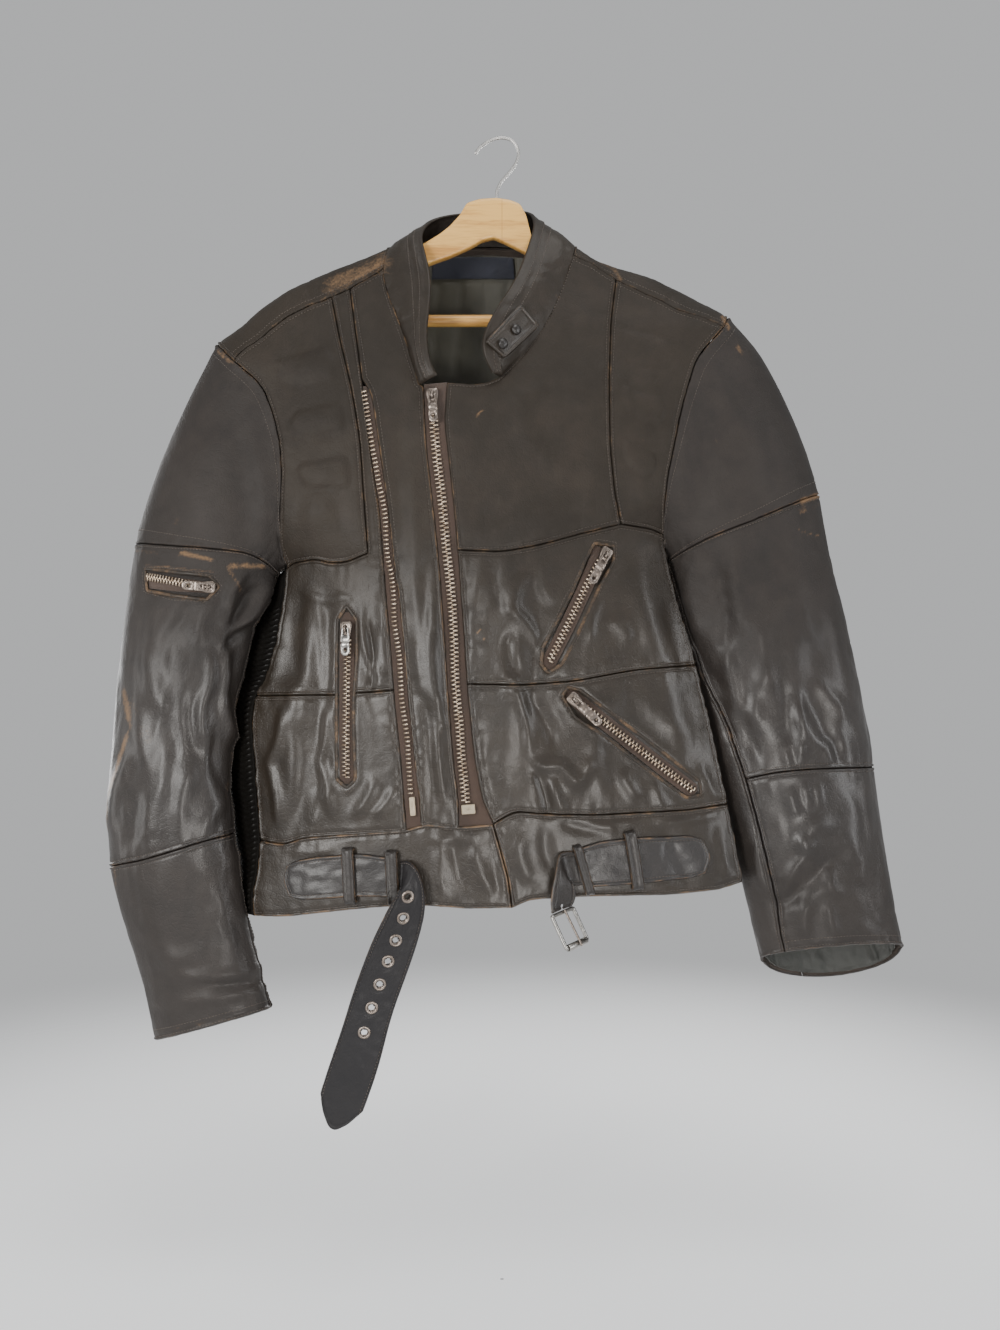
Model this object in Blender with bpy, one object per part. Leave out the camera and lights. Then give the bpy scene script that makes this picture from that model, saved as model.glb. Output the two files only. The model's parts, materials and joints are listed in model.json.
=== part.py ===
"""A worn leather motorcycle jacket, hanging open-necked on a wooden hanger.

The jacket is one skin that is cut along its seams. A chart lays a stretch of the skin flat, cuts it into
triangles along its seam lines, and a function of the two flat coordinates gives the shape of that stretch in
space. The charts share the points of the lines where they meet, so the skin closes. Each piece of leather is
then the part of the skin between its seams, thickened along the skin's normals and drawn back from its
neighbours.

Outlines are drawn in millimetres on a sheet that hangs in the plane of the hanger, u to the right and
v down, seen from in front. A point that stands nearer to the viewer or further away keeps its line of sight.
Left and right in the names are the wearer's. Sizes are in millimetres until the meshes are made.
"""

import bpy
import numpy as np
from mathutils import Vector
from mathutils.bvhtree import BVHTree
from mathutils.geometry import delaunay_2d_cdt
from mathutils.kdtree import KDTree

MM = 0.001
VIEW_DISTANCE = 1300.0
SHEET_HOOK = np.array([502.0, 139.0])
SHEET_CENTRE = np.array([500.0, 665.0])

LEATHER = 2.0
COLLAR_LEATHER = 3.2
LINING = 1.0
ZIP_TAPE_OUT = 0.2
TEETH_RISE = 2.2
SEAM_GAP = 0.3
CREASE_THINS = 0.7
CREASE_OPENS = 6.0
COLLAR_GAP = 0.9
CAP_GAP = 0.8
PAD_RISE = 4.5
RIB_RISE = 2.6
RIB_PITCH = 5.8
RIBS_START = 50.0
BELT_THICK = 3.0
OVER_GAP = 0.35
MESH_STEP = 25.0
BACK_STEP = 34.0
LINE_STEP = 24.0
SNAP = 7.0

HOOK_WIRE = 3.3
TROUSER_BAR = 12.0
HANGER_THICK = 12.0
EYELET_HOLE = 7.0
EYELET_SIDES = 12

COLOURS = {
    "leather": ((0.055, 0.043, 0.036), 0.45, 0.0),
    "lining": ((0.030, 0.032, 0.024), 0.5, 0.0),
    "label": ((0.010, 0.013, 0.020), 0.7, 0.0),
    "zip": ((0.080, 0.045, 0.035), 0.6, 0.0),
    "metal": ((0.300, 0.270, 0.240), 0.35, 1.0),
    "wood": ((0.750, 0.520, 0.250), 0.5, 0.0),
}

# The front, drawn on the sheet. Lines run from the top down or from left to right.
SHOULDER_SEAM_R = [(234, 361), (240, 352), (260, 340), (280, 322), (300, 310), (320, 302), (332, 298),
                   (350, 289), (370, 278), (384, 269)]
SHOULDER_SEAM_L = [(573, 255), (595, 266), (615, 280), (635, 290), (660, 301), (680, 312), (700, 317),
                   (724, 327)]
ARMHOLE_R = [(234, 361), (245, 370), (256, 379), (264, 389), (272, 410), (280, 440), (282, 475), (281, 500),
             (280, 525), (281, 550), (288, 563)]
ARMHOLE_L = [(724, 327), (715, 337), (705, 347), (695, 362), (688, 385), (680, 415), (672, 455), (667, 480),
             (664, 505), (663, 530), (664, 547)]
SIDE_R = [(288, 563), (285, 600), (280, 640), (270, 676), (256, 695), (252, 720), (255, 755), (257, 790),
          (261, 840)]
SIDE_L = [(664, 547), (668, 570), (678, 605), (690, 645), (700, 685), (709, 720), (719, 765), (727, 804)]
BAND_SIDE_R = [(261, 840), (258, 872), (253, 895), (254, 916)]
BAND_SIDE_L = [(727, 804), (734, 840), (742, 882)]
HEM_R = [(254, 916), (285, 917), (330, 912), (380, 907), (430, 906), (467, 909), (512, 908)]
HEM_L = [(512, 908), (530, 900), (580, 897), (620, 896), (671, 895), (719, 890), (742, 882)]
NECK_R = [(420, 385), (416, 370), (411, 355), (405, 335), (397, 315), (390, 297), (386, 285), (384, 269)]
NECK_L = [(500, 377), (520, 357), (540, 332), (555, 305), (567, 275), (573, 255)]
FLAP_TOP = [(420, 385), (447, 382), (470, 384), (485, 383), (500, 377)]
SEAM_A = [(332, 298), (340, 340), (352, 390), (360, 440), (364, 500), (368, 553)]
PANEL_FOOT_R = [(281, 571), (290, 562), (317, 559), (330, 563), (347, 562), (368, 553)]
SEAM_B = [(350, 289), (356, 335), (362, 380)]
OPEN_ZIP_LEFT = [(362, 380), (372, 460), (380, 510), (385, 577), (391, 647), (395, 702), (401, 757),
                 (407, 832)]
OPEN_ZIP_RIGHT = [(362, 380), (371, 392), (380, 455), (388, 510), (393, 560), (399, 600), (404, 650),
                  (408, 702), (413, 750), (419, 800), (421, 827)]
MAIN_ZIP_LEFT = [(424, 384), (426, 440), (435, 520), (440, 570), (445, 640), (449, 702), (454, 765),
                 (459, 802), (459, 830)]
MAIN_ZIP_RIGHT = [(447, 382), (444, 420), (454, 510), (459, 570), (464, 640), (467, 690), (474, 755),
                  (482, 800), (493, 824)]
FLAP_FOOT = [(493, 824), (499, 845), (508, 878), (512, 908)]
CHEST_SEAM_R = [(256, 696), (300, 695), (338, 695)]
CHEST_SEAM_R2 = [(354, 692), (395, 690)]
CHEST_SEAM_L = [(458, 550), (502, 552), (540, 545), (580, 534), (621, 524)]
MID_SEAM_L = [(467, 684), (525, 685), (577, 681), (637, 670), (698, 665)]
PANEL_SEAM_L = [(616, 280), (611, 320), (609, 380), (610, 445), (615, 495), (621, 524)]
PANEL_FOOT_L = [(621, 524), (652, 529), (664, 535)]
BAND_TOP_R = [(261, 840), (285, 845), (302, 838), (352, 835), (407, 832), (425, 826), (459, 830), (493, 828)]
BAND_TOP_L = [(493, 824), (515, 811), (545, 814), (600, 815), (650, 812), (687, 810), (727, 804)]

SIDE_ZIP_WINDOW = [(347, 606), (357, 620), (357, 660), (354, 700), (354, 740), (356, 779), (347, 788),
                   (337, 779), (337, 740), (337, 700), (337, 660), (338, 620)]
CHEST_ZIP_WINDOW = [(594, 543), (614, 546), (613, 562), (600, 585), (577, 635), (562, 664), (548, 673),
                    (541, 664), (543, 647), (572, 592), (585, 560)]
LOWER_ZIP_WINDOW = [(562, 696), (568, 687), (580, 690), (620, 720), (660, 750), (699, 781), (701, 795),
                    (686, 798), (650, 772), (610, 740), (575, 717)]
SLEEVE_ZIP_WINDOW = [(146, 569), (180, 573), (210, 576), (219, 587), (207, 600), (175, 596), (148, 591)]

PADS = {
    "shoulder_panel_right": [
        [(275, 360), (300, 352), (329, 347), (337, 360), (336, 378), (300, 386), (282, 382)],
        [(296, 410), (340, 401), (346, 416), (345, 432), (307, 440), (293, 434), (287, 422)],
        [(301, 462), (347, 455), (352, 472), (350, 489), (310, 490), (299, 482), (295, 470)],
    ],
    "shoulder_panel_left": [
        [(624, 329), (650, 334), (670, 341), (678, 352), (666, 370), (640, 366), (624, 361)],
        [(622, 381), (637, 391), (663, 397), (668, 411), (661, 427), (641, 422), (622, 407)],
        [(622, 436), (640, 445), (656, 453), (658, 468), (650, 480), (636, 473), (622, 459)],
    ],
}
PAD_CROWN = 0.74

# Depth of the front: where v is, how far the edges stand forward, and how much more the middle does.
FRONT_DEPTH = np.array([
    (250, 10, 0), (270, 14, 3), (300, 19, 8), (340, 23, 16), (380, 33, 18), (420, 42, 16), (480, 47, 12),
    (520, 41, 19), (545, 27, 33), (563, 15, 44), (600, 13, 46), (700, 13, 45), (800, 15, 41), (920, 19, 36),
])
BACK_DEPTH = np.array([
    (250, 12, 28), (270, 16, 26), (300, 20, 22), (340, 22, 22), (380, 28, 18), (420, 32, 14), (480, 33, 13),
    (520, 30, 14), (545, 25, 17), (563, 21, 19), (600, 24, 18), (700, 28, 16), (800, 28, 16), (920, 26, 16),
])
BULGE_POWER = 0.75

ARMHOLE_BACK_R = [(232, 357), (250, 376), (264, 402), (273, 440), (277, 480), (280, 520), (284, 548),
                  (288, 565)]
ARMHOLE_BACK_L = [(725, 323), (709, 343), (696, 370), (686, 400), (678, 440), (671, 480), (667, 520),
                  (664, 549)]
SHOULDER_BACK_R = [(232, 357), (260, 336), (300, 306), (340, 288), (370, 272), (396, 254)]
SHOULDER_BACK_L = [(725, 323), (700, 318), (660, 300), (620, 283), (590, 267), (568, 254)]
NECK_BACK = [(396, 254), (425, 250), (455, 248), (485, 247), (515, 248), (545, 250), (568, 254)]
SIDE_BACK_R = [(288, 565), (279, 600), (268, 640), (254, 676), (243, 705), (237, 740), (239, 790),
               (244, 835)]
SIDE_BACK_L = [(664, 549), (657, 572), (657, 605), (665, 645), (675, 685), (687, 725), (697, 765),
               (705, 800)]
BAND_BACK_R = [(244, 835), (249, 870), (253, 900)]
BAND_BACK_L = [(705, 800), (712, 840), (718, 888)]
BAND_TOP_BACK = [(244, 835), (330, 826), (420, 821), (500, 819), (600, 812), (705, 800)]
HEM_BACK = [(253, 900), (330, 896), (420, 895), (500, 895), (600, 893), (718, 888)]

RIDGE_R = [(218, 345), (240, 330), (260, 311), (280, 297), (300, 286), (330, 273), (360, 262), (390, 249)]
RIDGE_L = [(727, 319), (720, 314), (700, 304), (680, 293), (645, 277), (612, 268), (595, 262), (574, 247)]
YOKE_WIDE = 60.0

# A sleeve's stations, from shoulder to cuff: outer edge, inner edge, depth of the axis, half its depth.
SLEEVE_R = [
    ((218, 345), (289, 564), -4, 46), ((203, 374), (286, 567), -2, 46), ((180, 420), (281, 570), -1, 49),
    ((158, 470), (277, 575), 0, 51), ((143, 515), (273, 583), -1, 50), ((133, 560), (265, 598), -2, 49),
    ((127, 610), (254, 620), -3, 47), ((118, 685), (242, 685), -6, 44), ((112, 760), (227, 757), -8, 42),
    ((108, 830), (232, 825), -9, 40), ((114, 890), (240, 880), -10, 38), ((133, 945), (250, 935), -11, 35),
    ((149, 997), (262, 980), -12, 32), ((156, 1040), (270, 1008), -12, 30),
]
SLEEVE_L = [
    ((727, 319), (664, 548), -4, 46), ((757, 348), (665, 551), 0, 46), ((786, 402), (666, 555), 5, 49),
    ((807, 455), (667, 560), 10, 50), ((820, 500), (669, 570), 13, 49), ((826, 550), (674, 590), 15, 48),
    ((840, 600), (681, 620), 16, 46), ((856, 670), (694, 672), 16, 44), ((868, 735), (709, 733), 15, 42),
    ((876, 790), (721, 788), 14, 41), ((883, 850), (735, 848), 13, 39), ((893, 905), (748, 903), 12, 36),
    ((902, 946), (762, 958), 11, 33),
]
SLEEVE_ROUND = 400.0
STATION_STEP = 46.0
# How far the armhole bows towards the body off a straight line, at each turn from the armpit up.
RING_BOW_R = [(0, 0), (0.08, -2), (0.17, 8), (0.25, 26), (0.31, 32), (0.36, 30), (0.42, 11), (0.5, 0)]
RING_BOW_L = [(0, 0), (0.09, -6), (0.14, -12), (0.18, -16), (0.25, -19), (0.32, -21), (0.36, -20), (0.4, -9),
              (0.5, 0)]
RING_FADE = 3.0
RING_BLEND = 2.2
BACK_SEAM_TURN = 0.8
CUFF_BOW_FRONT_L = -5.0
CUFF_BOW_BACK_L = 24.0

CAP_SEAM_R = [(136, 545), (155, 545), (180, 547), (210, 549), (230, 551), (250, 554), (266, 563)]
FOREARM_SEAM_R = [(114, 866), (140, 861), (170, 852), (200, 842), (220, 837), (238, 832)]
CAP_SEAM_L = [(819, 495), (797, 502), (773, 512), (750, 522), (720, 533), (700, 542), (682, 552)]
FOREARM_SEAM_L = [(872, 767), (840, 768), (813, 769), (787, 771), (767, 774), (749, 779)]
FRONT_SEAM_L = [(702, 676), (720, 707), (740, 760), (753, 803), (767, 860), (775, 893), (781, 936)]

COLLAR = [
    ((420, 385), (437, 375), -62), ((416, 370), (431, 366), -63), ((411, 355), (427, 350), -61),
    ((405, 335), (426, 329), -56), ((397, 315), (429, 310), -51), ((390, 297), (431, 293), -45),
    ((386, 284), (431, 279), -38), ((384, 269), (428, 262), -30), ((386, 257), (424, 248), -19),
    ((390, 249), (421, 236), -8), ((396, 254), (424, 226), 7), ((410, 252), (432, 219), 18),
    ((430, 250), (446, 215), 27), ((455, 248), (464, 213), 34), ((485, 247), (489, 212), 36),
    ((515, 248), (512, 211), 33), ((545, 250), (527, 211), 25), ((568, 254), (533, 215), 13),
    ((574, 247), (534, 224), 2), ((573, 256), (532, 233), -7), ((570, 265), (528, 246), -17),
    ((567, 275), (523, 261), -27), ((561, 290), (515, 280), -38), ((555, 305), (505, 295), -47),
    ((547, 320), (495, 310), -55), ((540, 332), (487, 325), -61), ((530, 345), (482, 339), -66),
    ((520, 357), (483, 351), -67), ((510, 367), (487, 363), -65), ((500, 377), (493, 373), -60),
]
COLLAR_BOWED = 3.0

STRAP_R = [(284, 880), (287, 867), (296, 860), (320, 856), (360, 853), (398, 858), (396, 897), (360, 896),
           (330, 898), (303, 901), (290, 895)]
STRAP_L = [(710, 858), (704, 842), (690, 835), (637, 837), (600, 841), (574, 849), (584, 887), (641, 883),
           (690, 878), (706, 872)]

# The belt's tail: its two edges and how far each stands in front of the waistband, from where it comes out
# of its loop, still upright, through its twist and down to its point.
TAIL = [
    ((400.5, 894), (401.5, 861), -2.9, -2.9), ((404, 889), (409, 860), -9, -10),
    ((401, 892), (418, 868), -19, -17), ((391, 902), (425, 889), -24, -14),
    ((382, 921), (426, 911), -22, -11), ((372, 941), (418, 942), -19, -9),
    ((362, 967), (407, 974), -16, -8), ((352, 995), (397, 1000), -14, -7),
    ((344, 1022), (389, 1025), -13, -7), ((336, 1046), (382, 1055), -12, -7),
    ((327, 1071), (374, 1082), -11, -7), ((319, 1098), (362, 1114), -10, -7),
]
TAIL_TIP = (338, 1122)
TAIL_TIP_DEPTH = -9
TAIL_ROOT = (396, 877)
EYELETS = [(411, 897), (404, 918), (396, 940), (388, 961), (379, 984), (370, 1007), (361, 1031)]

LOOPS = {
    "belt_loop_right_1": ((349, 847), (352, 903), 12.0),
    "belt_loop_right_2": ((392, 850), (395, 904), 12.0),
    "belt_loop_left_1": ((628, 831), (637, 889), 12.0),
    "belt_loop_left_2": ((576, 845), (590, 894), 9.0),
}
LOOP_THICK = 2.2

# Zip sliders: where each sits, which way its pull hangs, and its pull's length.
SLIDERS = {
    "main_zip": ((433, 397), (0.06, 1.0), 27.0),
    "side_pocket_zip": ((348, 629), (0.0, 1.0), 26.0),
    "chest_pocket_zip": ((604, 555), (-0.46, 0.89), 32.0),
    "lower_pocket_zip": ((574, 700), (0.72, 0.69), 34.0),
    "sleeve_pocket_zip": ((208, 587), (-1.0, -0.08), 24.0),
}
SLIDER_SIZE = (12.0, 15.0, 3.2)
BAIL_SIZE = (2.6, 8.0, 3.4)
BAIL_BAR = 1.3
PULL_WIDE = 9.0
PULL_THICK = 1.5

TAB = [(520, 303), (540, 326), (505, 359), (485, 341)]
TAB_THICK = 2.0
SNAPS = {"tab_snap_upper": (513, 331), "tab_snap_lower": (500, 345)}
SNAP_ROUND = 10.0
SNAP_HIGH = 2.6

BUCKLE = [(552, 917, -82), (573, 908, -58), (592, 941, -62), (569, 948, -86)]
BUCKLE_WIRE = 3.2
ROLLER_ROUND = 6.6
ROLLER_HOLE = 5.2
PRONG_THICK = 2.4
BUCKLE_STRAP_THICK = 2.6
SWEPT_GAP = 0.35
# The slot for the prong: its two sides as shares of the strap's width, and its depth in rows of the strap.
PRONG_SLOT = (0.37, 0.63, 0.75)

# The strap's turned end: its two edges, each with how far it stands in front of the waistband.
BUCKLE_STRAP = [
    ((579, 851), -3.2, (586, 885), -3.2), ((567, 851), -4.0, (574, 886), -3.6),
    ((558, 853), -9, (566, 886), -9), ((557, 866), -20, (574, 885), -10), ((552, 889), -24, (576, 890), -8),
    ((550, 904), -26, (575, 900), -6), ((552, 915), -26, (573, 907), -4),
]

LINING_OUTLINE = [(414, 264), (440, 259), (485, 257), (530, 259), (552, 264), (590, 330), (600, 440),
                  (500, 446), (400, 440), (385, 330)]
LINING_BACK = 5.2
LABEL_OUTLINE = [(432, 259), (514, 259), (515, 281), (431, 281)]
LABEL_THICK = 0.8
CUFF_LINING_IN = 4.2

WOOD = [
    (497, 199), (510, 201), (520, 205), (526, 216), (529, 228), (531, 241), (540, 249), (555, 257),
    (574, 266), (600, 277), (645, 290), (680, 304), (697, 315), (701, 325), (698, 333), (688, 334),
    (688, 313.5), (655, 308), (620, 297), (575, 279), (545, 265), (527, 255), (507, 245), (494, 239),
    (482, 242), (470, 249), (450, 258), (430, 265), (395, 280), (350, 300), (325, 309), (306, 313.5),
    (306, 331), (294, 331), (288, 322), (291, 309), (302, 300), (330, 286), (360, 275), (390, 262),
    (412, 251), (427, 243), (440, 235), (450, 227), (460, 216), (467, 204), (480, 200),
]
BAR_HEIGHT = 321.0
BAR_ENDS = (306.3, 687.7)
HOOK = [(476, 153), (479, 148), (487, 142), (494, 139), (502, 137.4), (511, 139.5), (517, 146), (519, 155),
        (516, 164), (509, 173), (501, 182), (497, 190), (496.5, 198.5)]


TO_FRONT = np.array([0.0, -1.0, 0.0])
TO_LEFT = np.array([1.0, 0.0, 0.0])
UP = np.array([0.0, 0.0, 1.0])


def world(u, v, y):
    """Sheet points at a depth, as millimetres from the hook: each point moves along its line of sight."""
    u, v, y = np.broadcast_arrays(np.asarray(u, float), np.asarray(v, float), np.asarray(y, float))
    near = (VIEW_DISTANCE + y) / VIEW_DISTANCE
    x = SHEET_CENTRE[0] - SHEET_HOOK[0] + (u - SHEET_CENTRE[0]) * near
    z = SHEET_HOOK[1] - SHEET_CENTRE[1] - (v - SHEET_CENTRE[1]) * near
    return np.stack([x, y, z], axis=-1)


def smooth_step(x, low, high):
    t = np.clip((np.asarray(x, float) - low) / (high - low), 0, 1)
    return t * t * (3 - 2 * t)


def across(line, v):
    """u of a line that runs down the sheet, at each height v."""
    line = np.array(sorted(line, key=lambda p: p[1]), float)
    return np.interp(v, line[:, 1], line[:, 0])


def body_depth(u, v, table, left, right):
    """Depth over one face of the body: the edges' depth plus a rounded bulge between the edges."""
    lower = v + 22 * smooth_step(u, 380, 620) * (smooth_step(v, 440, 520) - smooth_step(v, 760, 860))
    edge = np.interp(lower, table[:, 0], table[:, 1])
    bulge = np.interp(lower, table[:, 0], table[:, 2])
    a, b = across(left, v), across(right, v)
    place = np.clip((2 * u - a - b) / (b - a), -1, 1)
    return edge + bulge * (1 - place**2) ** BULGE_POWER


def crease(u, v, start, end, wide, high):
    """A soft ridge (or trough) of the given height along a straight line, fading at its ends."""
    start, end = np.array(start, float), np.array(end, float)
    along = end - start
    length = np.hypot(*along)
    along = along / length
    s = (u - start[0]) * along[0] + (v - start[1]) * along[1]
    d = -(u - start[0]) * along[1] + (v - start[1]) * along[0]
    fade = smooth_step(s, -0.2 * length, 0.25 * length) * (1 - smooth_step(s, 0.75 * length, 1.2 * length))
    return high * fade * np.exp(-((d / wide) ** 2))


FRONT_CREASES = [
    ((300, 590), (290, 810), 16, 5), ((325, 600), (322, 800), 12, -4), ((420, 560), (432, 800), 13, 4),
    ((500, 560), (530, 800), 18, 4), ((540, 600), (520, 780), 14, -4), ((640, 560), (690, 760), 18, 5),
    ((610, 700), (560, 800), 16, 4), ((660, 830), (690, 890), 14, -3), ((470, 600), (560, 500), 20, 4),
    ((310, 500), (300, 560), 16, 4),
]
BACK_CREASES = [
    ((330, 420), (300, 800), 26, 6), ((620, 420), (650, 780), 26, 6), ((480, 500), (470, 820), 34, -4),
    ((400, 560), (395, 820), 20, 4), ((560, 560), (570, 800), 20, 4),
]


def front_depth(u, v):
    left = SHOULDER_SEAM_R[::-1] + ARMHOLE_R[1:] + SIDE_R[1:] + BAND_SIDE_R[1:]
    right = SHOULDER_SEAM_L + ARMHOLE_L[1:] + SIDE_L[1:] + BAND_SIDE_L[1:]
    depth = body_depth(u, v, FRONT_DEPTH, left, right)
    inside = smooth_step(u - across(left, v), 0, 40) * smooth_step(across(right, v) - u, 0, 40)
    return -(depth + inside * sum(crease(u, v, *c) for c in FRONT_CREASES))


def back_depth(u, v):
    left = SHOULDER_BACK_R[::-1] + ARMHOLE_BACK_R[1:] + SIDE_BACK_R[1:] + BAND_BACK_R[1:]
    right = SHOULDER_BACK_L[::-1] + ARMHOLE_BACK_L[1:] + SIDE_BACK_L[1:] + BAND_BACK_L[1:]
    depth = body_depth(u, v, BACK_DEPTH, left, right)
    inside = smooth_step(u - across(left, v), 0, 40) * smooth_step(across(right, v) - u, 0, 40)
    return depth + inside * sum(crease(u, v, *c) for c in BACK_CREASES)


def on_front(points):
    points = np.asarray(points, float)
    return world(points[:, 0], points[:, 1], front_depth(points[:, 0], points[:, 1]))


def on_back(points):
    points = np.asarray(points, float)
    return world(points[:, 0], points[:, 1], back_depth(points[:, 0], points[:, 1]))


def lengths(points):
    """Length along a line at each of its points."""
    steps = np.linalg.norm(np.diff(points, axis=0), axis=1)
    return np.concatenate([[0], np.cumsum(steps)])


def shares(points):
    along = lengths(points)
    return along / along[-1]


def along_line(points, t, at=None):
    """Points of a line at shares t of its length, or at the given parameters."""
    points = np.asarray(points, float)
    at = shares(points) if at is None else at
    return np.stack([np.interp(t, at, points[:, i]) for i in range(points.shape[1])], axis=-1)


def resampled(points, step):
    points = np.asarray(points, float)
    count = max(1, int(round(lengths(points)[-1] / step)))
    return along_line(points, np.linspace(0, 1, count + 1))


def nearest_on(line, point):
    """(distance, segment, share of the segment) of the point of a line that lies nearest."""
    a, b = line[:-1], line[1:]
    ab = b - a
    t = np.clip(np.einsum("ij,ij->i", point - a, ab) / np.maximum((ab**2).sum(1), 1e-12), 0, 1)
    gap = np.linalg.norm(a + ab * t[:, None] - point, axis=1)
    i = int(np.argmin(gap))
    return gap[i], i, t[i]


class Chart:
    """A stretch of the skin laid flat: lines to cut along, spots inside, and a seed for each piece."""

    def __init__(self, step=MESH_STEP):
        self.step = step
        self.lines = {}
        self.exact = set()
        self.spots = []
        self.seeds = []

    def line(self, name, points, step=LINE_STEP):
        if step:
            points = resampled(points, step)
        else:
            self.exact.add(name)
        self.lines[name] = np.asarray(points, float)

    def ring(self, name, points):
        self.lines[name] = np.array(list(points) + [points[0]], float)
        self.exact.add(name)

    def spot(self, points, rise=0.0):
        self.spots += [(tuple(p), rise) for p in points]

    def seed(self, piece, *points):
        self.seeds += [(piece, p) for p in points]

    def settle(self):
        """Joins each free end to the line that it meets."""
        for name, line in self.lines.items():
            if name in self.exact:
                continue
            for end in (0, -1):
                best = None
                for other, target in self.lines.items():
                    if other == name:
                        continue
                    found = nearest_on(target, line[end])
                    if found[0] < SNAP and (best is None or found[0] < best[0][0]):
                        best = (found, other)
                if best is None:
                    continue
                (_, i, t), other = best
                target = self.lines[other]
                spot = target[i] + (target[i + 1] - target[i]) * t
                corner = min((i, i + 1), key=lambda k: np.linalg.norm(target[k] - spot))
                if other in self.exact or np.linalg.norm(target[corner] - spot) < SNAP:
                    spot = target[corner]
                else:
                    self.lines[other] = np.insert(target, i + 1, spot, axis=0)
                line[end] = spot

    def filling(self):
        """Points of a triangular lattice that keep clear of the lines and the spots."""
        every = np.concatenate(list(self.lines.values()))
        low, high = every.min(0), every.max(0)
        rows = np.arange(low[1], high[1], self.step * 0.866)
        lattice = []
        for r, v in enumerate(rows):
            us = np.arange(low[0] + (r % 2) * self.step / 2, high[0], self.step)
            lattice += [(u, v) for u in us]
        lattice = np.array(lattice)
        clear = np.ones(len(lattice), bool)
        for line in self.lines.values():
            a, b = line[:-1, None], line[1:, None]
            ab = b - a
            t = np.einsum("ijk,ijk->ij", lattice[None] - a, np.broadcast_to(ab, (len(a), len(lattice), 2)))
            t = np.clip(t / np.maximum((ab**2).sum(2), 1e-12), 0, 1)
            gap = np.linalg.norm(a + ab * t[..., None] - lattice[None], axis=2).min(0)
            clear &= gap > 0.5 * self.step
        if self.spots:
            spots = np.array([p for p, _ in self.spots])
            gap = np.linalg.norm(lattice[:, None] - spots[None], axis=2).min(1)
            clear &= gap > 0.6 * self.step
        return lattice[clear]

    def cut(self):
        """Triangles between the lines: (points, faces, piece of each face, rise of each point)."""
        index, points, edges, rises = {}, [], [], []

        def add(p, rise=0.0):
            key = (round(float(p[0]), 3), round(float(p[1]), 3))
            if key not in index:
                index[key] = len(points)
                points.append((float(p[0]), float(p[1])))
                rises.append(rise)
            return index[key]

        for line in self.lines.values():
            ids = [add(p) for p in line]
            edges += [(a, b) for a, b in zip(ids, ids[1:]) if a != b]
        for p, rise in self.spots:
            add(p, rise)
        for p in self.filling():
            add(p)
        out = delaunay_2d_cdt([Vector(p) for p in points], edges, [], 0, 1e-4)
        flat, out_edges, faces, from_points, from_edges = out[0], out[1], out[2], out[3], out[4]
        flat = np.array([[p[0], p[1]] for p in flat])
        rise = np.zeros(len(flat))
        for i, origin in enumerate(from_points):
            if origin:
                flat[i] = points[origin[0]]
                rise[i] = rises[origin[0]]
        walls = {tuple(sorted(e)) for e, origin in zip(out_edges, from_edges) if origin}
        faces = np.array([list(f) for f in faces])
        pieces = self.flood(flat, faces, walls)
        kept = [i for i, piece in enumerate(pieces) if piece]
        return flat, faces[kept], [pieces[i] for i in kept], rise

    def flood(self, flat, faces, walls):
        """The piece of each face: a seed's name spreads until it meets a line."""
        beside = {}
        for i, face in enumerate(faces):
            for a, b in zip(face, np.roll(face, -1)):
                beside.setdefault(tuple(sorted((int(a), int(b)))), []).append(i)
        pieces = [None] * len(faces)
        corners = flat[faces]
        for piece, seed in self.seeds:
            seed = np.array(seed, float)
            a, b, c = corners[:, 0], corners[:, 1], corners[:, 2]
            sides = [cross(q - p, seed - p) for p, q in ((a, b), (b, c), (c, a))]
            inside = np.where((np.min(sides, axis=0) >= -1e-9) | (np.max(sides, axis=0) <= 1e-9))[0]
            if not len(inside):
                raise ValueError(f"the seed of {piece} at {seed} lies outside its chart")
            front = [int(inside[0])]
            if pieces[front[0]] not in (None, piece):
                raise ValueError(f"{piece} at {seed} runs into {pieces[front[0]]}")
            while front:
                i = front.pop()
                if pieces[i]:
                    continue
                pieces[i] = piece
                for a, b in zip(faces[i], np.roll(faces[i], -1)):
                    edge = tuple(sorted((int(a), int(b))))
                    if edge not in walls:
                        front += [j for j in beside[edge] if not pieces[j]]
        return pieces


def cross(p, q):
    return p[..., 0] * q[..., 1] - p[..., 1] * q[..., 0]


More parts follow.
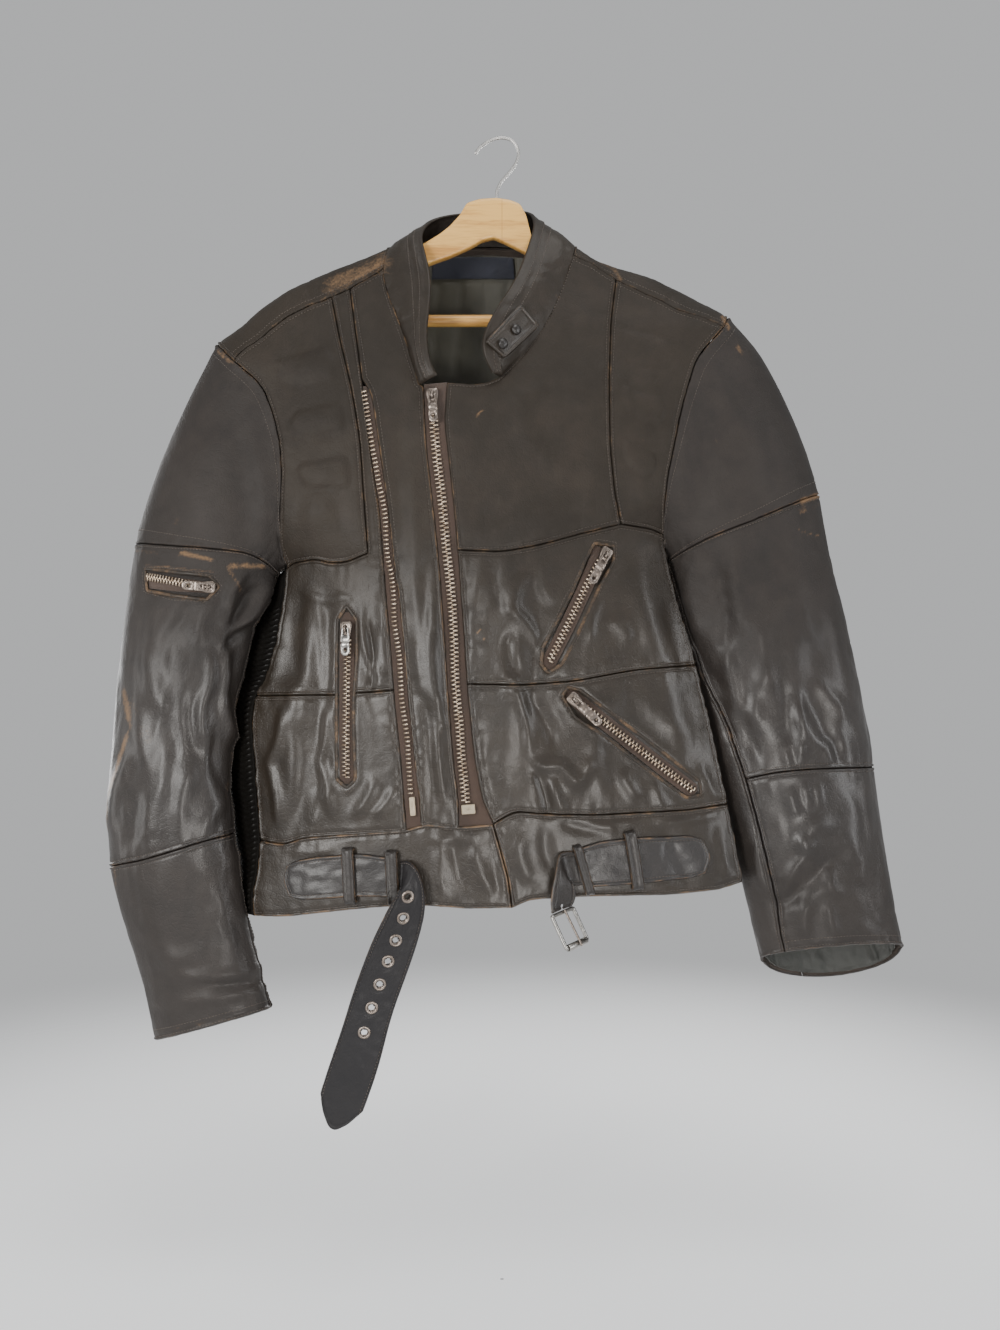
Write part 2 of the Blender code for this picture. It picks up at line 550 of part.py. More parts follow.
class Skin:
    """The whole jacket as one surface: points, faces that look outwards, each face's piece, and the rise."""

    def __init__(self):
        self.points, self.faces, self.pieces, self.rise = [], [], [], []

    def add(self, points, faces, pieces, rise, away):
        """Adds a stretch, its faces turned to look the way that away points, at each point or all over."""
        start = sum(len(p) for p in self.points)
        faces = np.asarray(faces)
        away = np.broadcast_to(np.asarray(away, float), points.shape)
        corners = points[faces]
        facing = np.cross(corners[:, 1] - corners[:, 0], corners[:, 2] - corners[:, 0])
        if np.einsum("ij,ij->", facing, away[faces[:, 0]]) < 0:
            faces = faces[:, ::-1]
        self.points.append(points)
        self.faces.append(faces + start)
        self.pieces += pieces
        self.rise.append(rise)

    def weld(self):
        points = np.concatenate(self.points)
        tree = KDTree(len(points))
        for i, p in enumerate(points):
            tree.insert(p, i)
        tree.balance()
        first = np.array([min(j for _, j, _ in tree.find_range(p, 0.02)) for p in points])
        kept, index = np.unique(first, return_inverse=True)
        self.points = points[kept]
        self.rise = np.concatenate(self.rise)[kept]
        self.faces = index.reshape(-1)[np.concatenate(self.faces)]
        self.pieces = np.array(self.pieces)
        corners = self.points[self.faces]
        area = np.cross(corners[:, 1] - corners[:, 0], corners[:, 2] - corners[:, 0])
        self.face_normals = area / np.maximum(np.linalg.norm(area, axis=1, keepdims=True), 1e-9)
        normals = np.zeros_like(self.points)
        for k in range(3):
            a = corners[:, (k + 1) % 3] - corners[:, k]
            b = corners[:, (k + 2) % 3] - corners[:, k]
            cosine = np.einsum("ij,ij->i", a, b) / (np.linalg.norm(a, axis=1) * np.linalg.norm(b, axis=1))
            corner_angle = np.arccos(np.clip(cosine, -1, 1))[:, None]
            np.add.at(normals, self.faces[:, k], self.face_normals * corner_angle)
        self.normals = normals / np.maximum(np.linalg.norm(normals, axis=1, keepdims=True), 1e-9)
        self.reach = np.ones(len(self.points))
        for k in range(3):
            bend = np.einsum("ij,ij->i", self.face_normals, self.normals[self.faces[:, k]])
            np.minimum.at(self.reach, self.faces[:, k], np.clip((bend - 0.1) / CREASE_THINS, 0.12, 1))
        self.tree = BVHTree.FromPolygons(self.points.tolist(), self.faces.tolist())

    def seen(self, u, v):
        """(point, normal) where the line of sight through a sheet point meets the skin."""
        eye = np.array([SHEET_CENTRE[0] - SHEET_HOOK[0], -VIEW_DISTANCE, SHEET_HOOK[1] - SHEET_CENTRE[1]])
        aim = world(u, v, 0.0) - eye
        where, normal, face, _ = self.tree.ray_cast(Vector(eye), Vector(aim).normalized())
        if where is None:
            raise ValueError(f"nothing is seen at {u}, {v}")
        where = np.array(where)
        corners = self.faces[face]
        near = 1 / (np.linalg.norm(self.points[corners] - where, axis=1) + 1.0)
        normal = (self.normals[corners] * near[:, None]).sum(0)
        return where, normal / np.linalg.norm(normal)

    def solid(self, name, kind, out, into, pieces=None, gap=SEAM_GAP):
        """The faces of some pieces as a wall: out and into are how far it reaches along the normals."""
        chosen = np.isin(self.pieces, pieces or [name])
        faces = self.faces[chosen]
        if not len(faces):
            raise ValueError(f"{name} has no faces")
        pairs = np.concatenate([faces[:, [0, 1]], faces[:, [1, 2]], faces[:, [2, 0]]])
        owner = np.tile(np.arange(len(faces)), 3)
        keys = {tuple(p) for p in pairs}
        rim = [(a, b, owner[i]) for i, (a, b) in enumerate(map(tuple, pairs)) if (b, a) not in keys]
        normals = self.face_normals[chosen]
        inward = {}
        for a, b, f in rim:
            side = np.cross(normals[f], self.points[b] - self.points[a])
            side /= np.linalg.norm(side)
            inward.setdefault(a, []).append(side)
            inward.setdefault(b, []).append(side)
        used, index = np.unique(faces, return_inverse=True)
        faces = index.reshape(faces.shape)
        number = {int(g): i for i, g in enumerate(used)}
        middle = self.points[used].copy()
        for vertex, sides in inward.items():
            total = np.sum(sides, axis=0)
            reach = max(0.35, 1 + float(np.dot(sides[0], sides[-1])))
            opening = gap / 2 * (1 + CREASE_OPENS * (1 - self.reach[int(vertex)]))
            middle[number[int(vertex)]] += total / reach * opening
        normal = self.normals[used]
        count = len(used)
        outer = middle + normal * (out * self.reach[used] + self.rise[used])[:, None]
        inner = middle - normal * into
        points = np.concatenate([outer, inner])
        walls = []
        for a, b, _ in rim:
            i, j = number[int(a)], number[int(b)]
            walls += [(i, i + count, j + count), (i, j + count, j)]
        every = np.concatenate([faces, faces[:, ::-1] + count, np.array(walls)])
        return make_object(name, points, every, kind)


def material(kind):
    found = bpy.data.materials.get(kind)
    if found:
        return found
    colour, roughness, metallic = COLOURS[kind]
    found = bpy.data.materials.new(kind)
    found.use_nodes = True
    shader = found.node_tree.nodes["Principled BSDF"]
    shader.inputs["Base Color"].default_value = (*colour, 1)
    shader.inputs["Roughness"].default_value = roughness
    shader.inputs["Metallic"].default_value = metallic
    return found


def make_object(name, points, faces, kind, parent=None):
    mesh = bpy.data.meshes.new(name)
    origin = np.zeros(3) if parent is None else np.array(parent.location) / MM
    mesh.from_pydata(((np.asarray(points) - origin) * MM).tolist(), [], np.asarray(faces).tolist())
    mesh.update()
    mesh.materials.append(material(kind))
    mesh.shade_smooth()
    mesh.set_sharp_from_angle(angle=np.radians(40))
    obj = bpy.data.objects.new(name, mesh)
    bpy.context.scene.collection.objects.link(obj)
    obj.parent = parent
    return obj


def pivot(name, point, axis):
    """An empty on a hinge's axis, which carries the axis as a property."""
    empty = bpy.data.objects.new(name, None)
    empty.location = Vector(np.asarray(point) * MM)
    empty["axis"] = [float(k) for k in axis]
    bpy.context.scene.collection.objects.link(empty)
    return empty


def slab(name, kind, outline, place, low, high, holes=(), spots=(), parent=None):
    """A flat outline with holes, carried by place to (points, normals) and given a wall from low to high."""
    chart = Chart()
    chart.ring("outline", outline)
    for i, hole in enumerate(holes):
        chart.ring(f"hole {i}", hole)
    index, points, edges = {}, [], []
    for line in chart.lines.values():
        ids = []
        for p in line:
            key = (round(float(p[0]), 4), round(float(p[1]), 4))
            if key not in index:
                index[key] = len(points)
                points.append(Vector((float(p[0]), float(p[1]))))
            ids.append(index[key])
        edges += list(zip(ids, ids[1:]))
    points += [Vector(p) for p in spots]
    out = delaunay_2d_cdt(points, edges, [], 0, 1e-5)
    flat = np.array([[p[0], p[1]] for p in out[0]])
    faces = np.array([list(f) for f in out[2]])
    middle = flat[faces].mean(1)
    keep = inside_ring(middle, np.array(outline, float))
    for hole in holes:
        keep &= ~inside_ring(middle, np.array(hole, float))
    faces = faces[keep]
    sides = cross(flat[faces[:, 1]] - flat[faces[:, 0]], flat[faces[:, 2]] - flat[faces[:, 0]])
    faces[sides < 0] = faces[sides < 0][:, ::-1]
    where, normal = place(flat)
    corners = where[faces]
    facing = np.cross(corners[:, 1] - corners[:, 0], corners[:, 2] - corners[:, 0])
    if np.einsum("ij,ij->", facing, normal[faces[:, 0]]) < 0:
        faces = faces[:, ::-1]
    count = len(flat)
    pairs = np.concatenate([faces[:, [0, 1]], faces[:, [1, 2]], faces[:, [2, 0]]])
    keys = {tuple(p) for p in pairs}
    walls = []
    for a, b in map(tuple, pairs):
        if (b, a) not in keys:
            walls += [(a, a + count, b + count), (a, b + count, b)]
    every = np.concatenate([faces, faces[:, ::-1] + count, np.array(walls)])
    points = np.concatenate([where + normal * high, where + normal * low])
    used, index = np.unique(every, return_inverse=True)
    return make_object(name, points[used], index.reshape(every.shape), kind, parent)


def inside_ring(points, ring):
    """Whether each point lies inside a closed outline, by counting crossings to one side."""
    inside = np.zeros(len(points), bool)
    for a, b in zip(ring, np.roll(ring, -1, axis=0)):
        crosses = (a[1] > points[:, 1]) != (b[1] > points[:, 1])
        rise = b[1] - a[1] if b[1] != a[1] else 1e-12
        left = points[:, 0] < a[0] + (points[:, 1] - a[1]) * (b[0] - a[0]) / rise
        inside ^= crosses & left
    return inside


def round_ring(centre, radius, count=12, squash=1.0):
    turn = np.arange(count) / count * 2 * np.pi
    return [(centre[0] + radius * np.cos(t), centre[1] + radius * squash * np.sin(t)) for t in turn]


def plane(origin, right, up, normal):
    """A place function for a flat slab: sheet axes right and up from an origin."""
    def place(flat):
        points = origin + flat[:, :1] * right + flat[:, 1:] * up
        return points, np.broadcast_to(normal, points.shape)
    return place


def build_front(chart):
    """Lays out the front: seams, zips, quilted pads and the belt's straps."""
    for name, points in {
        "shoulder_r": SHOULDER_SEAM_R, "shoulder_l": SHOULDER_SEAM_L, "armhole_r": ARMHOLE_R,
        "armhole_l": ARMHOLE_L, "side_r": SIDE_R, "side_l": SIDE_L, "band_side_r": BAND_SIDE_R,
        "band_side_l": BAND_SIDE_L, "hem_r": HEM_R, "hem_l": HEM_L, "neck_r": NECK_R, "neck_l": NECK_L,
        "flap_top": FLAP_TOP, "seam_a": SEAM_A, "panel_foot_r": PANEL_FOOT_R, "seam_b": SEAM_B,
        "open_zip_left": OPEN_ZIP_LEFT, "open_zip_right": OPEN_ZIP_RIGHT, "main_zip_left": MAIN_ZIP_LEFT,
        "main_zip_right": MAIN_ZIP_RIGHT, "flap_foot": FLAP_FOOT, "chest_seam_l": CHEST_SEAM_L,
        "mid_seam_l": MID_SEAM_L, "panel_seam_l": PANEL_SEAM_L, "panel_foot_l": PANEL_FOOT_L,
        "band_top_r": BAND_TOP_R, "band_top_l": BAND_TOP_L, "chest_seam_r": CHEST_SEAM_R,
        "chest_seam_r2": CHEST_SEAM_R2,
    }.items():
        chart.line(name, points)
    for name, points in {
        "side_zip": SIDE_ZIP_WINDOW, "chest_zip": CHEST_ZIP_WINDOW, "lower_zip": LOWER_ZIP_WINDOW,
        "strap_r": STRAP_R, "strap_l": STRAP_L,
    }.items():
        chart.ring(name, points)
    for panel, pads in PADS.items():
        for i, pad in enumerate(pads):
            chart.ring(f"{panel} pad {i}", pad)
            pad = np.array(pad, float)
            crown = pad.mean(0) + (pad - pad.mean(0)) * PAD_CROWN
            chart.spot(crown, PAD_RISE)
            chart.spot([pad.mean(0)], PAD_RISE)
            chart.seed(panel, tuple(pad.mean(0) + (0.5, 0.5)))
    chart.spot(resampled([(347, 650), (346, 700), (346, 772)], 20), TEETH_RISE)
    chart.spot(resampled([(596, 572), (575, 612), (551, 658)], 20), TEETH_RISE)
    chart.spot(resampled([(588, 708), (640, 750), (690, 787)], 20), TEETH_RISE)
    chart.spot(resampled([(435, 425), (446, 545), (457, 700), (467, 812)], 22), TEETH_RISE)
    chart.settle()
    chart.seed("shoulder_panel_right", (320, 325))
    chart.seed("shoulder_panel_left", (640, 500))
    chart.seed("chest_panel_right", (300, 600))
    chart.seed("lower_panel_right", (300, 760))
    chart.seed("centre_front_right", (405, 500))
    chart.seed("waistband_right", (430, 870))
    chart.seed("centre_front_left", (520, 450))
    chart.seed("chest_panel_left", (510, 620))
    chart.seed("lower_panel_left", (520, 740))
    chart.seed("waistband_left", (540, 850))
    chart.seed("main_zip", (450, 600))
    chart.seed("open_zip_half", (392, 600))
    chart.seed("side_pocket_zip", (343, 700))
    chart.seed("chest_pocket_zip", (590, 590))
    chart.seed("lower_pocket_zip", (640, 742))
    chart.seed("strap under right", (340, 880))
    chart.seed("strap under left", (660, 860))


def build_back(chart):
    for name, points in {
        "armhole_r": ARMHOLE_BACK_R, "armhole_l": ARMHOLE_BACK_L, "shoulder_r": SHOULDER_BACK_R,
        "shoulder_l": SHOULDER_BACK_L, "neck": NECK_BACK, "side_r": SIDE_BACK_R, "side_l": SIDE_BACK_L,
        "band_r": BAND_BACK_R, "band_l": BAND_BACK_L, "band_top": BAND_TOP_BACK, "hem": HEM_BACK,
    }.items():
        chart.line(name, points)
    chart.settle()
    chart.seed("back_panel", (480, 500))
    chart.seed("back_waistband", (480, 860))


def between(front, ridge, back, a, b):
    """A saddle over the shoulder: at share a of the seams, a bent line from front seam over the ridge."""
    f, r, k = along_line(front, a), along_line(ridge, a), along_line(back, a)
    peak = 2 * r - (f + k) / 2
    b = b[:, None]
    return f * (1 - b) ** 2 + 2 * peak * b * (1 - b) + k * b**2


def build_yoke(skin, name, front, ridge, back):
    """A yoke between the front's and the back's shoulder seams. Returns its outer and its inner end."""
    ridge = world(*np.array(ridge, float).T, 0.0)
    wide = lengths(front)[-1]
    chart = Chart()
    ends = np.linspace(0, 1, 5) * YOKE_WIDE
    chart.line("front", np.stack([shares(front) * wide, np.zeros(len(front))], -1), None)
    chart.line("back", np.stack([shares(back) * wide, np.full(len(back), YOKE_WIDE)], -1), None)
    chart.line("outer", np.stack([np.zeros(5), ends], -1), None)
    chart.line("inner", np.stack([np.full(5, wide), ends], -1), None)
    chart.seed(name, (wide / 2 + 0.37, YOKE_WIDE / 2 + 0.21))
    flat, faces, pieces, rise = chart.cut()
    points = between(front, ridge, back, flat[:, 0] / wide, flat[:, 1] / YOKE_WIDE)
    skin.add(points, faces, pieces, rise, UP)
    outer = between(front, ridge, back, np.zeros(5), np.linspace(0, 1, 5))
    inner = between(front, ridge, back, np.ones(5), np.linspace(0, 1, 5))
    return outer, inner


def build_gusset(skin, name, front, back, tucked, away):
    """The ribbed side, from the front's edge to the back's. Returns its top edge."""
    high = lengths(front)[-1]
    wide = 44.0
    chart = Chart()
    ends = np.linspace(0, 1, 3) * wide
    chart.line("front", np.stack([np.zeros(len(front)), shares(front) * high], -1), None)
    chart.line("back", np.stack([np.full(len(back), wide), shares(back) * high], -1), None)
    chart.line("top", np.stack([ends, np.zeros(3)], -1), None)
    chart.line("foot", np.stack([ends, np.full(3, high)], -1), None)
    rows = np.arange(RIBS_START, high - RIB_PITCH, RIB_PITCH / 2)
    for i, v in enumerate(rows):
        chart.spot([(wide * 0.28, v), (wide * 0.72, v)], RIB_RISE if i % 2 else -0.3)
    chart.seed(name, (wide * 0.5 + 0.1, high / 2 + 0.33))
    flat, faces, pieces, rise = chart.cut()

    def surface(a, b):
        f, k = along_line(front, b), along_line(back, b)
        hollow = tucked * 4 * a * (1 - a) * smooth_step(b, 0.0, 0.15)
        return f + (k - f) * a[:, None] + hollow[:, None] * np.array([1.0, 0.0, 0.0])

    skin.add(surface(flat[:, 0] / wide, flat[:, 1] / high), faces, pieces, rise, away)
    return surface(np.linspace(0, 1, 3), np.zeros(3))


class Sleeve:
    """A sleeve as a tube: turn 0 is its inner edge, 0.25 its front, 0.5 its outer edge and 0.75 its back."""

    def __init__(self, stations, bow, cuff_bows):
        self.table = np.array([[*o, *i, y, d] for o, i, y, d in stations], float)
        self.bow = np.array(bow, float)
        self.cuff_bows = cuff_bows
        self.last = len(stations) - 1

    def view(self, turn, s):
        """(u, v, depth) at a turn and a station."""
        row = [np.interp(s, np.arange(self.last + 1), self.table[:, k]) for k in range(6)]
        ou, ov, iu, iv, axis, half = row
        c, n = np.cos(turn * 2 * np.pi), np.sin(turn * 2 * np.pi)
        u = (ou + iu) / 2 + (iu - ou) / 2 * c
        v = (ov + iv) / 2 + (iv - ov) / 2 * c
        fade = np.clip(1 - s / RING_FADE, 0, 1) ** 1.5
        folded = np.minimum(turn % 1, 1 - turn % 1)
        u = u + fade * np.interp(folded, self.bow[:, 0], self.bow[:, 1])
        cuff = smooth_step(s, self.last - 2.5, self.last)
        v = v + cuff * np.where(n > 0, self.cuff_bows[0] * n, -self.cuff_bows[1] * n)
        return u, v, axis - half * n

    def world(self, turn, s):
        return world(*self.view(turn, s))

    def locate(self, points):
        """The (turn, station) of sheet points on the sleeve's front, by search and Newton steps."""
        turns, stations = np.meshgrid(np.linspace(0.01, 0.49, 60), np.linspace(0, self.last, 160))
        u, v, _ = self.view(turns, stations)
        found = []
        for point in points:
            i = np.argmin((u - point[0]) ** 2 + (v - point[1]) ** 2)
            at = np.array([turns.flat[i], stations.flat[i]])
            for _ in range(12):
                here = np.array(self.view(at[0], at[1])[:2], float)
                step = 1e-4
                du = (np.array(self.view(at[0] + step, at[1])[:2], float) - here) / step
                dv = (np.array(self.view(at[0], at[1] + step)[:2], float) - here) / step
                jacobian = np.stack([du, dv], -1)
                if abs(np.linalg.det(jacobian)) < 1e-3:
                    break
                at = at + np.clip(np.linalg.solve(jacobian, np.array(point, float) - here), -0.03, 0.03)
                at[0] = np.clip(at[0], 0.004, 0.496)
            found.append(at)
        return np.array(found)


def fitted_ring(sleeve, ring):
    """The turn of each armhole point, from the back seam on, and how far the sleeve's own top misses it."""
    turns = np.linspace(0, 1, 721)
    base = sleeve.world(turns, np.zeros(len(turns)))
    at = np.array([turns[int(np.argmin(np.linalg.norm(base - p, axis=1)))] for p in ring])
    at = np.where(at > BACK_SEAM_TURN, at - 1, at)
    order = np.argsort(at)
    at, ring = at[order], ring[order]
    missed = ring - sleeve.world(at, np.zeros(len(at)))
    return np.append(at, at[0] + 1), np.append(missed, missed[:1], axis=0)


def build_sleeve(skin, side, sleeve, ring, front_seam, cap_seam, forearm_seam, window):
    """The sleeve's chart: turns across and stations down, cut open along the back seam."""
    scale = np.array([SLEEVE_ROUND, STATION_STEP])
    at, missed = fitted_ring(sleeve, ring)
    seam_turn = at[0]

    def surface(flat):
        turn, s = flat[:, 0] / scale[0], flat[:, 1] / scale[1]
        off = np.stack([np.interp(turn, at, missed[:, k]) for k in range(3)], -1)
        fade = np.clip(1 - s / RING_BLEND, 0, 1) ** 2
        return sleeve.world(turn, s) + off * fade[:, None]

    chart = Chart()
    high = sleeve.last * scale[1]
    downs = np.linspace(0, high, int(high / LINE_STEP) + 1)
    rounds = np.linspace(seam_turn, seam_turn + 1, 15) * scale[0]
    chart.line("ring", np.stack([at * scale[0], np.zeros(len(at))], -1), None)
    chart.line("cut", np.stack([np.full(len(downs), seam_turn * scale[0]), downs], -1), None)
    chart.line("cut again", np.stack([np.full(len(downs), (seam_turn + 1) * scale[0]), downs], -1), None)
    chart.line("cuff", np.stack([rounds, np.full(len(rounds), high)], -1), None)
    cap = sleeve.locate(cap_seam) * scale
    fore = sleeve.locate(forearm_seam) * scale
    cap, fore = cap[np.argsort(cap[:, 0])], fore[np.argsort(fore[:, 0])]
    front = np.array(front_seam) * scale
    ending = (seam_turn + 1) * scale[0]

    def rounded_to_back(line):
        """Carries a cross seam on round the back of the sleeve, to the back seam."""
        at_front = along_line(front[:, ::-1], line[0, 1], at=front[:, 1])[1]
        first = [(at_front, line[0, 1])]
        height = line[-1, 1]
        down = downs[int(np.argmin(np.abs(downs - height)))]
        rest = [(t * scale[0], height + (down - height) * (t - 0.5) / (ending / scale[0] - 0.5))
                for t in (0.56, 0.64) if t * scale[0] < ending - 12]
        return np.array(first + list(line[1:]) + rest + [(ending, down)])

    chart.line("front seam", resampled(front, LINE_STEP), None)
    cap_line = resampled(rounded_to_back(cap), LINE_STEP)
    fore_line = resampled(rounded_to_back(fore), LINE_STEP)
    for name, line in (("cap seam", cap_line), ("fore seam", fore_line)):
        target = chart.lines["front seam"]
        _, i, t = nearest_on(target, line[0])
        spot = target[i] + (target[i + 1] - target[i]) * t
        corner = min((i, i + 1), key=lambda k: np.linalg.norm(target[k] - spot))
        if np.linalg.norm(target[corner] - spot) < SNAP:
            spot = target[corner]
        else:
            chart.lines["front seam"] = np.insert(target, i + 1, spot, axis=0)
        line[0] = spot
        chart.line(name, line, None)
    ring_line = chart.lines["ring"]
    near = int(np.argmin(np.linalg.norm(ring_line - chart.lines["front seam"][0], axis=1)))
    chart.lines["front seam"][0] = ring_line[near]
    cuff_line = chart.lines["cuff"]
    near = int(np.argmin(np.linalg.norm(cuff_line - chart.lines["front seam"][-1], axis=1)))
    chart.lines["front seam"][-1] = cuff_line[near]
    if window is not None:
        chart.ring("window", sleeve.locate(window) * scale)
        chart.spot(sleeve.locate([(152, 581), (170, 583), (188, 586)]) * scale, TEETH_RISE)
        chart.seed("sleeve_pocket_zip", tuple(sleeve.locate([(180, 578)])[0] * scale))
    middle = 0.36 * scale[0]
    chart.seed(f"sleeve_cap_{side}", (middle, 2 * scale[1] + 0.3))
    chart.seed(f"sleeve_elbow_{side}", (middle + 0.2, 8 * scale[1] + 0.3))
    chart.seed(f"sleeve_forearm_{side}", (middle + 0.2, high - 20.3))
    chart.seed(f"undersleeve_{side}", ((seam_turn + 0.05) * scale[0], high / 2 + 0.3))
    flat, faces, pieces, rise = chart.cut()
    points = surface(flat)
    s = flat[:, 1] / scale[1]
    axis = (sleeve.world(np.zeros(len(s)), s) + sleeve.world(np.full(len(s), 0.5), s)) / 2
    skin.add(points, faces, pieces, rise, points - axis)
    return surface, rounds, high


def build_collar(skin, foot):
    """The standing collar: rows from the neckline up to the rolled edge, bowed outwards."""
    foot_stations = np.array([b for b, _, _ in COLLAR], float)
    top_stations = np.array([(*t, y) for _, t, y in COLLAR], float)
    count = len(foot)
    sheet = sheet_of(foot)
    index = []
    for i, p in enumerate(sheet):
        low, high = max(0.0, i / (count - 1) - 0.12), min(1.0, i / (count - 1) + 0.12)
        first, last = int(low * len(COLLAR)), min(len(COLLAR) - 1, int(high * len(COLLAR)) + 1)
        _, k, t = nearest_on(foot_stations[first:last + 1], p)
        index.append(first + k + t)
    index[0], index[-1] = 0.0, len(COLLAR) - 1.0
    index = np.maximum.accumulate(np.array(index) + np.arange(count) * 1e-6)
    top = along_line(top_stations, index, at=np.arange(len(COLLAR)))
    top = world(top[:, 0], top[:, 1], top[:, 2])
    along = np.gradient((foot + top) / 2, axis=0)
    out = np.cross(along, top - foot)
    out /= np.linalg.norm(out, axis=1, keepdims=True)
    if np.einsum("ij,ij->", out, foot - foot.mean(0)) < 0:
        out = -out
    rows = np.linspace(0, 1, 4)
    points = [foot + (top - foot) * h + out * COLLAR_BOWED * 4 * h * (1 - h) for h in rows]
    points = np.concatenate(points)
    faces = []
    for r in range(len(rows) - 1):
        for i in range(count - 1):
            a, b = r * count + i, r * count + i + 1
            faces += [(a, b, b + count), (a, b + count, a + count)]
    away = np.tile(out, (len(rows), 1))
    skin.add(points, np.array(faces), ["collar"] * len(faces), np.zeros(len(points)), away)


def sheet_of(points):
    """The sheet coordinates of points in space."""
    near = (VIEW_DISTANCE + points[:, 1]) / VIEW_DISTANCE
    u = SHEET_CENTRE[0] + (points[:, 0] - SHEET_CENTRE[0] + SHEET_HOOK[0]) / near
    v = SHEET_CENTRE[1] - (points[:, 2] - SHEET_HOOK[1] + SHEET_CENTRE[1]) / near
    return np.stack([u, v], -1)


def build_skin():
    front, back = Chart(), Chart(BACK_STEP)
    build_front(front)
    build_back(back)
    skin = Skin()
    flat, faces, pieces, rise = front.cut()
    skin.add(on_front(flat), faces, pieces, rise, TO_FRONT)
    flat, faces, pieces, rise = back.cut()
    skin.add(on_back(flat), faces, pieces, rise, -TO_FRONT)
    f = {name: on_front(line) for name, line in front.lines.items()}
    b = {name: on_back(line) for name, line in back.lines.items()}

    yoke_r = build_yoke(skin, "shoulder_yoke_right", f["shoulder_r"], RIDGE_R, b["shoulder_r"])
    yoke_l = build_yoke(skin, "shoulder_yoke_left", f["shoulder_l"][::-1], RIDGE_L, b["shoulder_l"])
    side_r = np.concatenate([f["side_r"], f["band_side_r"][1:]])
    side_l = np.concatenate([f["side_l"], f["band_side_l"][1:]])
    back_r = np.concatenate([b["side_r"], b["band_r"][1:]])
    back_l = np.concatenate([b["side_l"], b["band_l"][1:]])
    top_r = build_gusset(skin, "side_gusset_right", side_r, back_r, 0.0, -TO_LEFT)
    top_l = build_gusset(skin, "side_gusset_left", side_l, back_l, -3.0, TO_LEFT)

    ring_r = np.concatenate([yoke_r[0][1:4], f["armhole_r"], top_r[1:2], b["armhole_r"]])
    ring_l = np.concatenate([yoke_l[0][1:4], f["armhole_l"], top_l[1:2], b["armhole_l"]])
    sleeve_r = Sleeve(SLEEVE_R, RING_BOW_R, (2.0, 2.0))
    sleeve_l = Sleeve(SLEEVE_L, RING_BOW_L, (CUFF_BOW_FRONT_L, CUFF_BOW_BACK_L))
    seam_r = [(0.02, 0.0), (0.015, 4.0), (0.01, 8.0), (0.01, float(sleeve_r.last))]
    seen_seam = sleeve_l.locate(FRONT_SEAM_L)
    seam_l = [(0.03, 0.0), (0.03, 4.0)] + [tuple(p) for p in seen_seam]
    seam_l += [(seen_seam[-1][0], float(sleeve_l.last))]
    build_sleeve(skin, "right", sleeve_r, ring_r, seam_r, CAP_SEAM_R, FOREARM_SEAM_R, SLEEVE_ZIP_WINDOW)
    tube_l = build_sleeve(skin, "left", sleeve_l, ring_l, seam_l, CAP_SEAM_L, FOREARM_SEAM_L, None)
    foot = np.concatenate([
        f["neck_r"], yoke_r[1][1:4], b["neck"], yoke_l[1][1:4][::-1], f["neck_l"][::-1],
    ])
    build_collar(skin, foot)
    skin.weld()
    return skin, tube_l


def build_panels(skin):
    half = LEATHER / 2
    for name in (
        "shoulder_panel_right", "chest_panel_right", "lower_panel_right", "centre_front_right",
        "shoulder_panel_left", "centre_front_left", "chest_panel_left", "lower_panel_left",
        "shoulder_yoke_right", "shoulder_yoke_left", "back_panel", "back_waistband",
        "side_gusset_right", "side_gusset_left",
        "sleeve_cap_right", "sleeve_elbow_right", "sleeve_forearm_right", "undersleeve_right",
        "sleeve_cap_left", "sleeve_elbow_left", "sleeve_forearm_left", "undersleeve_left",
    ):
        skin.solid(name, "leather", half, half, gap=CAP_GAP if "cap" in name else SEAM_GAP)
    skin.solid("waistband_right", "leather", half, half, ["waistband_right", "strap under right"])
    skin.solid("waistband_left", "leather", half, half, ["waistband_left", "strap under left"])
    skin.solid("collar", "leather", COLLAR_LEATHER / 2, COLLAR_LEATHER / 2, gap=COLLAR_GAP)
    for name in ("main_zip", "open_zip_half", "side_pocket_zip", "chest_pocket_zip", "lower_pocket_zip",
                 "sleeve_pocket_zip"):
        skin.solid(name, "zip", ZIP_TAPE_OUT, half)
    low = half + OVER_GAP
    skin.solid("belt_strap_right", "leather", low + BELT_THICK, -low, ["strap under right"], gap=1.0)
    skin.solid("belt_strap_left", "leather", low + BELT_THICK, -low, ["strap under left"], gap=1.0)


